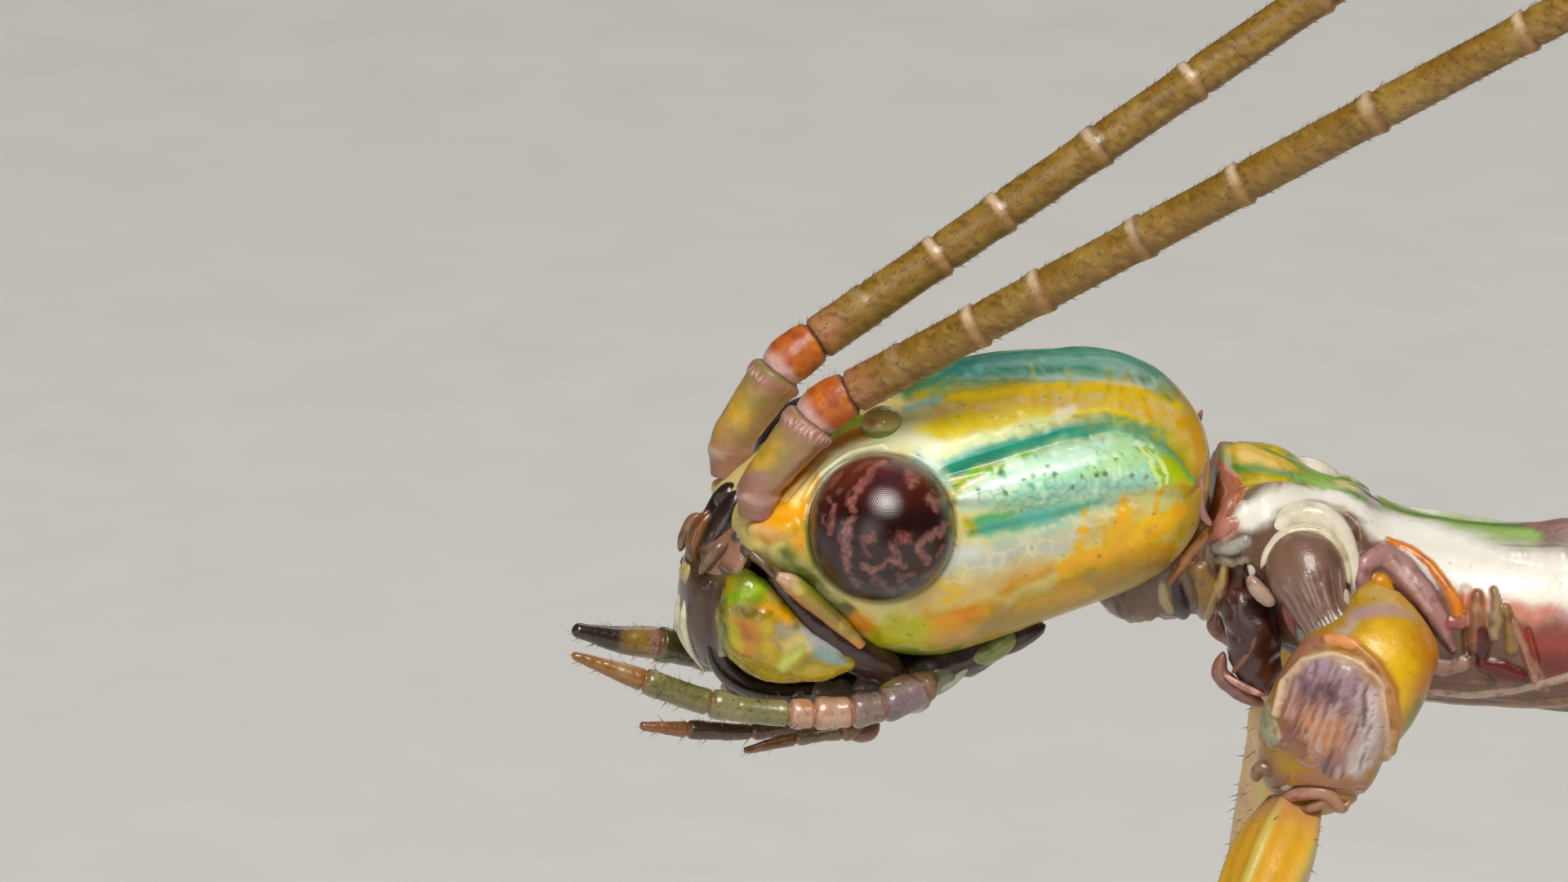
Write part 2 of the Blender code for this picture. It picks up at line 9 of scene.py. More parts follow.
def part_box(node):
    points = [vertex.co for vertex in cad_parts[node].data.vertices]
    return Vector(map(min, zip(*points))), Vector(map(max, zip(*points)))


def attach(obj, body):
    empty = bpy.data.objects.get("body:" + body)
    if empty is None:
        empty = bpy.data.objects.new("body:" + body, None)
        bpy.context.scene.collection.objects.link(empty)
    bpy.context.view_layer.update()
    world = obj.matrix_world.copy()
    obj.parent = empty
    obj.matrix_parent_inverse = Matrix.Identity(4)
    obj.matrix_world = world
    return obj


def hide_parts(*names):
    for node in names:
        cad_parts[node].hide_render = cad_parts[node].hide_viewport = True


# Looks of a winged stick insect, life size.  Sizes in the dictionaries are millimetres.
# Shapes are laid out from the neck joint, with the insect facing -X and its left side towards -Y.

mm = 0.001

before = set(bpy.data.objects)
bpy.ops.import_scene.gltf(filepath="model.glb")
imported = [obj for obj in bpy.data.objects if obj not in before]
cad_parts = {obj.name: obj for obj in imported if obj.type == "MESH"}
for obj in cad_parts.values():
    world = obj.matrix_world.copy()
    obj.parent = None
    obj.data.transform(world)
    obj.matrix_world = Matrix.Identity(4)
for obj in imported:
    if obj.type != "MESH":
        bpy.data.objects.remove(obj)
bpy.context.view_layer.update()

headTurn = {
    "yaw": 16.0, "pitch": 5.0, "pivot": (-0.13, 0.0, 0.105), "eye": (-4.33, 1.25, 0.58), "eyeRadius": 0.90
}


def headRotation():
    yaw = Matrix.Rotation(math.radians(headTurn["yaw"]), 3, "Z")
    pitch = Matrix.Rotation(-math.radians(headTurn["pitch"]), 3, "Y")
    return np.array(yaw @ pitch)


headAxes = headRotation()


def findNeckJoint():
    # The left eye is a ball, so the middle of its box fixes where the neck joint lies
    low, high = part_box("eye_left")
    middle = np.array((low + high) / 2) / mm
    eye = np.array(headTurn["eye"]) * (1, -1, 1)
    return middle - np.array(headTurn["pivot"]) - headAxes @ eye


neckJoint = findNeckJoint()
floorLevel = -neckJoint[2]  # seen from the neck joint


def headToBody(points):
    return np.asarray(points, float) @ headAxes.T + headTurn["pivot"]


def smoothStep(low, high, x):
    t = np.clip((x - low) / (high - low), 0, 1)
    return t * t * (3 - 2 * t)


def hashed(cell, seed=0):
    # One number from 0 to 1 for each whole-numbered cell
    h = cell[:, 0] * 73856093 ^ cell[:, 1] * 19349663 ^ cell[:, 2] * 83492791 ^ seed * 2654435
    h = (h ^ (h >> 13)) * 1274126177 & 0x7FFFFFFF
    return ((h ^ (h >> 15)) & 0xFFFF) / 65535


def latticeNoise(points, size, seed=0):
    # Smooth noise from -1 to 1 with features about size across
    p = np.asarray(points, float) / size + 512.37 + seed * 7.31
    cell = np.floor(p).astype(np.int64)
    f = p - cell
    f = f * f * (3 - 2 * f)
    total = np.zeros(len(p))
    for corner in np.ndindex(2, 2, 2):
        weight = np.where(corner, f, 1 - f).prod(axis=1)
        total += weight * (2 * hashed(cell + corner) - 1)
    return total


def layeredNoise(points, size, octaves=3, seed=0):
    total = sum(latticeNoise(points, size / 2**k, seed + k) / 2**k for k in range(octaves))
    return total / sum(0.5**k for k in range(octaves))


def cellGaps(points, size, seed=0):
    # Distances to the nearest and next nearest of scattered seeds, over the size
    p = np.asarray(points, float) / size + 301.7 + seed * 5.13
    base = np.floor(p).astype(np.int64)
    first, second = np.full(len(p), 9.0), np.full(len(p), 9.0)
    for step in np.ndindex(3, 3, 3):
        cell = base + step - 1
        spot = cell + np.stack([hashed(cell, seed + k + 1) for k in range(3)], axis=1)
        gap = np.linalg.norm(p - spot, axis=1)
        second = np.minimum(second, np.maximum(first, gap))
        first = np.minimum(first, gap)
    return first, second


def curveThrough(xs, ys, x):
    # Smooth curve through a few given values, flat past both ends
    xs, ys, x = np.asarray(xs, float), np.asarray(ys, float), np.asarray(x, float)
    slope = np.gradient(ys, xs)
    k = np.clip(np.searchsorted(xs, x) - 1, 0, len(xs) - 2)
    width = xs[k + 1] - xs[k]
    t = np.clip((x - xs[k]) / width, 0, 1)
    a, b = ys[k], ys[k + 1]
    c, d = slope[k] * width, slope[k + 1] * width
    return a + c * t + (3 * (b - a) - 2 * c - d) * t**2 + (2 * (a - b) + c + d) * t**3


def curveTable(table, x):
    # Each column of a table of rows (x, value, value ...) read along x
    rows = np.array(table, float)
    rows = rows[np.argsort(rows[:, 0])]
    return [curveThrough(rows[:, 0], rows[:, k], x) for k in range(1, rows.shape[1])]


def linearColour(hexValue):
    channels = np.array([int(hexValue[i : i + 2], 16) / 255 for i in (1, 3, 5)])
    return np.where(channels <= 0.04045, channels / 12.92, ((channels + 0.055) / 1.055) ** 2.4)


# Colour and relief both follow short strokes on a surface: rows of along, up and half width.


def pathDistance(spots, path):
    # Distance of each flat spot from a stroke, over the half width of the stroke there
    rows = np.array(path, float)
    best = np.full(len(spots), 1e9)
    for first, second in zip(rows, rows[1:]):
        step = second[:2] - first[:2]
        t = np.clip(((spots - first[:2]) @ step) / max(step @ step, 1e-9), 0, 1)
        gap = np.linalg.norm(spots - first[:2] - t[:, None] * step, axis=1)
        best = np.minimum(best, gap / (first[2] + (second[2] - first[2]) * t))
    return best


def strokeMask(spots, path, soft=0.35, ragged=0.0):
    distance = pathDistance(spots, path) + ragged
    return 1 - smoothStep(1 - soft, 1 + soft, distance)


def layPaint(paint, hexValue, mask):
    paint += (linearColour(hexValue) - paint) * np.clip(mask, 0, 1)[:, None]


def paintStrokes(paint, flat, spots, strokes, seed, fine=1.0):
    # Strokes wander and fray at three scales, so that no edge is drawn with a ruler
    warp = [
        latticeNoise(flat, size * fine, seed + k) for k,
        size in enumerate((0.34, 0.34, 0.10, 0.10, 0.04, 0.04))
    ]
    wander = [0.05 * warp[k] + 0.025 * warp[k + 2] + 0.012 * warp[k + 4] for k in (0, 1)]
    warped = spots + fine * np.stack(wander, axis=1)
    fray = [layeredNoise(flat, size * fine, 3, seed + 7 + k) for k, size in enumerate((0.26, 0.16, 0.12))]
    for k, (colour, soft, ragged, path) in enumerate(strokes):
        layPaint(paint, colour, strokeMask(warped, path, soft * 1.5, ragged * 1.8 * fray[k % 3]))


def raiseAlong(relief, spots, path, height):
    # A rounded ridge of that height, or a groove where the height is negative
    distance = np.clip(pathDistance(spots, path), 0, 1)
    relief += height * (1 - distance**2) ** 2


def vivid(paint, gain=1.12):
    # Deeper colour at the same brightness
    grey = paint.mean(axis=1, keepdims=True)
    return np.clip(grey + (paint - grey) * gain, 0, 1)


def embossFolds(flat, spots, relief, paint, folds, seed, lift=-0.02, plump=0.85):
    # Rounded folds grown out of a skin: colour, second colour and a path on the flat
    for k, (colour, shade, path) in enumerate(folds):
        noise = layeredNoise(flat, 0.12, 3, seed + k)
        distance = pathDistance(spots, path) + 0.16 * noise
        girth = np.mean([row[2] for row in path]) * plump
        dome = lift + girth * np.sqrt(np.clip(1 - distance**2, 0, 1)) * (1 + 0.10 * noise)
        np.maximum(relief, np.where(distance < 1, dome, -9), out=relief)
        # Painted shade: a ring of the second colour round the foot of each fold, where it meets the skin
        layPaint(paint, shade, smoothStep(1.25, 1.0, distance) * smoothStep(0.75, 0.95, distance) * 0.8)
        layPaint(paint, colour, smoothStep(1.0, 0.8, distance))
        layPaint(paint, shade, smoothStep(0.95, 0.75, distance) * smoothStep(0.05, 0.45, noise) * 0.7)


def gridNormals(grid, closed=True):
    if closed:
        around = np.roll(grid, -1, axis=1) - np.roll(grid, 1, axis=1)
    else:
        around = np.gradient(grid, axis=1)
    along = np.gradient(grid, axis=0)
    normals = np.cross(along, around)
    return normals / np.maximum(np.linalg.norm(normals, axis=2, keepdims=True), 1e-9)


def meshFromArrays(name, points, faces, values=None):
    # Points in millimetres from the neck joint become a mesh in its place on the insect
    mesh = bpy.data.meshes.new(name)
    mesh.from_pydata(((np.asarray(points) + neckJoint) * mm).tolist(), [], faces)
    for key, array in (values or {}).items():
        if array.ndim == 2:
            rgba = np.ones((len(array), 4), np.float32)
            rgba[:, :3] = array
            mesh.attributes.new(key, "FLOAT_COLOR", "POINT").data.foreach_set("color", rgba.ravel())
        else:
            mesh.attributes.new(key, "FLOAT", "POINT").data.foreach_set("value", array.astype(np.float32))
    mesh.shade_smooth()
    obj = bpy.data.objects.new(name, mesh)
    bpy.context.scene.collection.objects.link(obj)
    return obj


def pointOutwards(obj):
    shell = bmesh.new()
    shell.from_mesh(obj.data)
    bmesh.ops.recalc_face_normals(shell, faces=shell.faces)
    shell.to_mesh(obj.data)
    shell.free()
    return obj


def gridMesh(name, grid, values=None, closed=True, caps=True):
    # A skin over rows of points; both ends of a closed tube are shut with a fan
    rows, columns = grid.shape[:2]
    index = np.arange(rows * columns).reshape(rows, columns)
    after = np.roll(index, -1, axis=1) if closed else index[:, 1:]
    here = index if closed else index[:, :-1]
    quads = np.stack([here[:-1], after[:-1], after[1:], here[1:]], axis=-1).reshape(-1, 4)
    faces = quads.tolist()
    points = grid.reshape(-1, 3)
    if values and "hairy" in values:
        along, around = np.meshgrid(
            np.linspace(0.01, 0.99, rows), np.linspace(0.01, 0.99, columns), indexing="ij"
        )
        values = values | {"unwrap": np.stack([along, around, 0 * along], axis=-1)}
    values = {
        key: np.asarray(array).reshape(rows * columns, -1).squeeze() for key,
        array in (values or {}).items()
    }
    if closed and caps:
        for row in (0, rows - 1):
            tip = len(points)
            points = np.vstack([points, points[index[row]].mean(axis=0)])
            for key, array in values.items():
                values[key] = np.concatenate([array, array[index[row]].mean(axis=0, keepdims=True)])
            faces += [[int(a), int(b), tip] for a, b in zip(index[row], after[row])]
    return pointOutwards(meshFromArrays(name, points, faces, values))


def frames(path):
    # Directions along, across and over a path, turning as little as they can
    path = np.asarray(path, float)
    ahead = np.gradient(path, axis=0)
    ahead /= np.linalg.norm(ahead, axis=1, keepdims=True)
    over = np.cross(ahead[0], np.cross((0.0, 0.0, 1.0), ahead[0]))
    overs = []
    for direction in ahead:
        over = over - direction * (over @ direction)
        over = over / np.linalg.norm(over)
        overs.append(over)
    overs = np.array(overs)
    return ahead, np.cross(ahead, overs), overs


def sweptGrid(path, widths, heights, count, power=2.0, turn=0.0):
    # Rings round a path; the angle runs from over the path towards its left
    _, across, over = frames(path)
    angle = np.linspace(0, 2 * math.pi, count, endpoint=False) + turn
    c, s = np.cos(angle), np.sin(angle)
    c, s = np.sign(c) * np.abs(c) ** (2 / power), np.sign(s) * np.abs(s) ** (2 / power)
    widths = np.broadcast_to(np.asarray(widths, float), (len(path),))[:, None, None]
    heights = np.broadcast_to(np.asarray(heights, float), (len(path),))[:, None, None]
    grid = np.asarray(path)[:, None] + across[:, None] * (s[None, :, None] * widths)
    return grid + over[:, None] * (c[None, :, None] * heights)


def smoothPath(knots, count):
    knots = np.array(knots, float)
    gaps = np.linalg.norm(np.diff(knots[:, :3], axis=0), axis=1)
    place = np.concatenate([[0], np.cumsum(gaps)])
    steps = np.linspace(0, place[-1], count)
    return np.stack([curveThrough(place, knots[:, k], steps) for k in range(knots.shape[1])], axis=1)


def settle(obj, slot, material, *nodes):
    # Material, body and replaced solids of a finished piece; the slot is not used
    if material is not None:
        obj.data.materials.clear()
        obj.data.materials.append(material)
    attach(obj, "root")
    if nodes:
        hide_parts(*nodes)
    return obj


def bodyGrid(rows, stations, around, power=2.4):
    # Rounded sections square to the length, from rows of station, top, bottom and half width
    x = np.array(stations)
    top, bottom, width = curveTable(rows, x)
    angle = np.linspace(0, 2 * math.pi, around, endpoint=False)
    c, s = np.cos(angle), np.sin(angle)
    c, s = np.sign(c) * np.abs(c) ** (2 / power), np.sign(s) * np.abs(s) ** (2 / power)
    grid = np.zeros((len(x), around, 3))
    grid[..., 0] = x[:, None]
    grid[..., 1] = width[:, None] * s
    grid[..., 2] = ((top + bottom) / 2)[:, None] + ((top - bottom) / 2)[:, None] * c
    return grid


def reliefOut(grid, relief):
    normals = gridNormals(grid)
    middle = grid.mean(axis=1, keepdims=True)
    if ((grid - middle) * normals).sum() < 0:
        normals = -normals
    return grid + normals * relief.reshape(grid.shape[:2])[..., None]


def makeLobes(name, rows, sign, place, seed, around=22, steps=34, rough=0.05):
    # Rods and pads with rounded ends, of colour, second colour and path with a radius, joined to one mesh
    points, faces, paints = [], [], []
    for k, (colour, shade, path) in enumerate(rows):
        knots = smoothPath(path, steps)
        ends = np.sqrt(np.clip(1 - np.abs(np.linspace(-1, 1, steps)) ** 4, 0.002, 1))
        grid = sweptGrid(place(knots[:, :3] * (1, sign, 1)), knots[:, 3] * ends, knots[:, 3] * ends, around)
        flat = grid.reshape(-1, 3)
        noise = layeredNoise(flat * (1, sign, 1), 0.16, 3, seed + k)
        grid = reliefOut(grid, rough * np.repeat(knots[:, 3] * ends, around) * 2 * noise)
        paint = np.tile(linearColour(colour), (len(flat), 1))
        layPaint(paint, shade, smoothStep(-0.05, 0.5, noise) * 0.85)
        index = np.arange(len(flat)).reshape(steps, around) + sum(map(len, points))
        after = np.roll(index, -1, axis=1)
        faces += np.stack([index[:-1], after[:-1], after[1:], index[1:]], axis=-1).reshape(-1, 4).tolist()
        faces += [index[0].tolist(), index[-1].tolist()]
        points.append(grid.reshape(-1, 3))
        paints.append(paint)
    return pointOutwards(meshFromArrays(name, np.vstack(points), faces, {"pigment": np.vstack(paints)}))


def newMaterial(name):
    material = bpy.data.materials.new(name)
    material.use_nodes = True
    return material, material.node_tree, material.node_tree.nodes["Principled BSDF"]


def addNode(tree, kind, settings=None, links=None):
    # A node with its settings; a link is socket name -> (node, output name)
    node = tree.nodes.new(kind)
    for key, value in (settings or {}).items():
        if isinstance(key, str) and hasattr(node, key):
            setattr(node, key, value)
        else:
            node.inputs[key].default_value = value
    for key, (source, output) in (links or {}).items():
        tree.links.new(source.outputs[output], node.inputs[key])
    return node


def setRamp(node, stops):
    ramp = node.color_ramp
    while len(ramp.elements) < len(stops):
        ramp.elements.new(0.5)
    for element, (place, shade) in zip(ramp.elements, stops):
        element.position = place
        colour = linearColour(shade) if isinstance(shade, str) else (shade, shade, shade)
        element.color = (*colour, 1)


def cuticleMaterial(name, look):
    # Insect cuticle: a thin clear wax over pigmented chitin.  The pigment is painted on the mesh; the noise
    # below it mottles the pigment, pits the surface and breaks up the shine, as real cuticle does.
    material, tree, shader = newMaterial(name)
    coords = addNode(tree, "ShaderNodeTexCoord")
    paint = addNode(tree, "ShaderNodeAttribute", {"attribute_name": "pigment"})
    mottle = addNode(
        tree, "ShaderNodeTexNoise", {
            "Scale": 1 / (look["mottle"] * mm), "Detail": 4.0
        }, {"Vector": (coords, "Object")}
    )
    shade = addNode(
        tree, "ShaderNodeMapRange", {"To Min": 1 - look["depth"], "To Max": 1 + look["depth"]},
        {"Value": (mottle, "Fac")}
    )
    tint = addNode(
        tree, "ShaderNodeVectorMath", {"operation": "SCALE"},
        {0: (paint, "Color"), "Scale": (shade, "Result")}
    )
    tree.links.new(tint.outputs[0], shader.inputs["Base Color"])
    grain = addNode(
        tree, "ShaderNodeTexNoise", {
            "Scale": 1 / (look["grain"] * mm), "Detail": 3.0
        }, {"Vector": (coords, "Object")}
    )
    gloss = addNode(
        tree, "ShaderNodeMapRange", {
            "To Min": look["rough"] * 0.75, "To Max": look["rough"] * 1.3
        }, {"Value": (grain, "Fac")}
    )
    wax = addNode(tree, "ShaderNodeAttribute", {"attribute_name": "wax"})
    polish = addNode(tree, "ShaderNodeMapRange", {"To Min": 1.0, "To Max": 0.6}, {"Value": (wax, "Fac")})
    finish = addNode(
        tree, "ShaderNodeMath", {"operation": "MULTIPLY"}, {0: (gloss, "Result"), 1: (polish, "Result")}
    )
    tree.links.new(finish.outputs[0], shader.inputs["Roughness"])
    bump = addNode(
        tree, "ShaderNodeBump", {
            "Strength": look["bump"], "Distance": look["grain"] * 0.3 * mm
        }, {"Height": (grain, "Fac")}
    )
    tree.links.new(bump.outputs[0], shader.inputs["Normal"])
    shader.inputs["Coat Weight"].default_value = look.get("coat", 0.3)
    shader.inputs["Coat Roughness"].default_value = look.get("coatRough", 0.15)
    shader.inputs["IOR"].default_value = 1.53  # chitin is 1.56 and its wax a little less
    shader.inputs["Subsurface Weight"].default_value = look.get("glow", 0.15)
    shader.inputs["Subsurface Radius"].default_value = (1.0, 0.7, 0.4)
    shader.inputs["Subsurface Scale"].default_value = 0.12 * mm
    return material


stageLook = {
    "floor": "#e9e8e4",
    "distance": 155.0,
    "frameWidth": 19.2,
    "elevation": 18.0,
    "aim": (-5.15, 0.0, 0.63),
    "floorSize": 9000.0,
}


def makeFloor():
    side = stageLook["floorSize"] / 2
    corners = [(-side, -side), (side, -side), (side, side), (-side, side)]
    floor = meshFromArrays("floor", [(x, y, floorLevel) for x, y in corners], [[0, 1, 2, 3]])
    material, tree, shader = newMaterial("matte painted board")
    coords = addNode(tree, "ShaderNodeTexCoord")
    noise = addNode(tree, "ShaderNodeTexNoise", {"Scale": 400.0}, {"Vector": (coords, "Object")})
    ramp = addNode(tree, "ShaderNodeValToRGB", None, {"Fac": (noise, "Fac")})
    setRamp(ramp, [(0.3, "#e5e4e0"), (0.7, stageLook["floor"])])
    tree.links.new(ramp.outputs[0], shader.inputs["Base Color"])
    shader.inputs["Roughness"].default_value = 0.85
    shader.inputs["Specular IOR Level"].default_value = 0.2
    floor.data.materials.append(material)


def addSoftbox(name, direction, distance, size, power, colour="#ffffff"):
    light = bpy.data.lights.new(name, "AREA")
    light.shape = "DISK"
    light.size = size * mm
    light.energy = power
    light.color = linearColour(colour)
    lamp = bpy.data.objects.new(name, light)
    bpy.context.scene.collection.objects.link(lamp)
    aim = Vector((neckJoint + np.array(stageLook["aim"])) * mm)
    away = Vector(direction).normalized()
    lamp.location = aim + away * distance * mm
    lamp.rotation_euler = away.to_track_quat("Z", "Y").to_euler()
    lamp.visible_camera = False


def makeLights():
    world = bpy.data.worlds.new("studio")
    world.use_nodes = True
    background = world.node_tree.nodes["Background"]
    background.inputs["Color"].default_value = (*linearColour("#eef1f5"), 1)
    background.inputs["Strength"].default_value = 0.09
    bpy.context.scene.world = world
    addSoftbox("key softbox", (0.12, -0.50, 0.86), 330, 190, 1.05, "#fffaf4")
    addSoftbox("front softbox", (-0.30, -0.92, 0.26), 400, 240, 0.20, "#fffcf8")
    addSoftbox("left softbox", (-0.85, -0.5, 0.12), 330, 120, 0.08, "#f6f8ff")
    addSoftbox("back softbox", (0.2, 0.8, 0.55), 380, 240, 0.16, "#ffffff")


def makeCamera():
    camera = bpy.data.cameras.new("camera")
    camera.sensor_width = 36.0
    camera.lens = 36.0 * stageLook["distance"] / stageLook["frameWidth"]
    camera.clip_start = 0.005
    camera.clip_end = 20.0
    holder = bpy.data.objects.new("camera", camera)
    bpy.context.scene.collection.objects.link(holder)
    tilt = math.radians(stageLook["elevation"])
    back = Vector((0, -math.cos(tilt), math.sin(tilt)))
    aim = Vector((neckJoint + np.array(stageLook["aim"])) * mm)
    holder.location = aim + back * stageLook["distance"] * mm
    holder.rotation_euler = back.to_track_quat("Z", "Y").to_euler()
    bpy.context.scene.camera = holder
    bpy.context.scene.view_settings.view_transform = "Standard"


# Rows of the head capsule from back to front: station, top, bottom, half width
headShape = {
    "rows": [
        (0.12, 0.62, 0.30, 0.18),
        (0.08, 0.86, 0.10, 0.48),
        (0.00, 1.06, -0.12, 0.76),
        (-0.20, 1.37, -0.52, 1.04),
        (-0.56, 1.66, -0.88, 1.30),
        (-1.00, 1.84, -1.08, 1.43),
        (-1.60, 1.93, -1.21, 1.48),
        (-2.30, 2.00, -1.34, 1.50),
        (-3.00, 1.97, -1.46, 1.53),
        (-3.70, 1.83, -1.48, 1.56),
        (-4.30, 1.62, -1.28, 1.53),
        (-4.80, 1.43, -0.86, 1.42),
        (-5.30, 1.22, -0.36, 1.22),
        (-5.70, 0.99, 0.05, 0.97),
        (-5.90, 0.82, 0.30, 0.66),
        (-5.98, 0.68, 0.52, 0.20),
    ],
    "stations": 262,
    "around": 370,
    "power": 2.25,
}

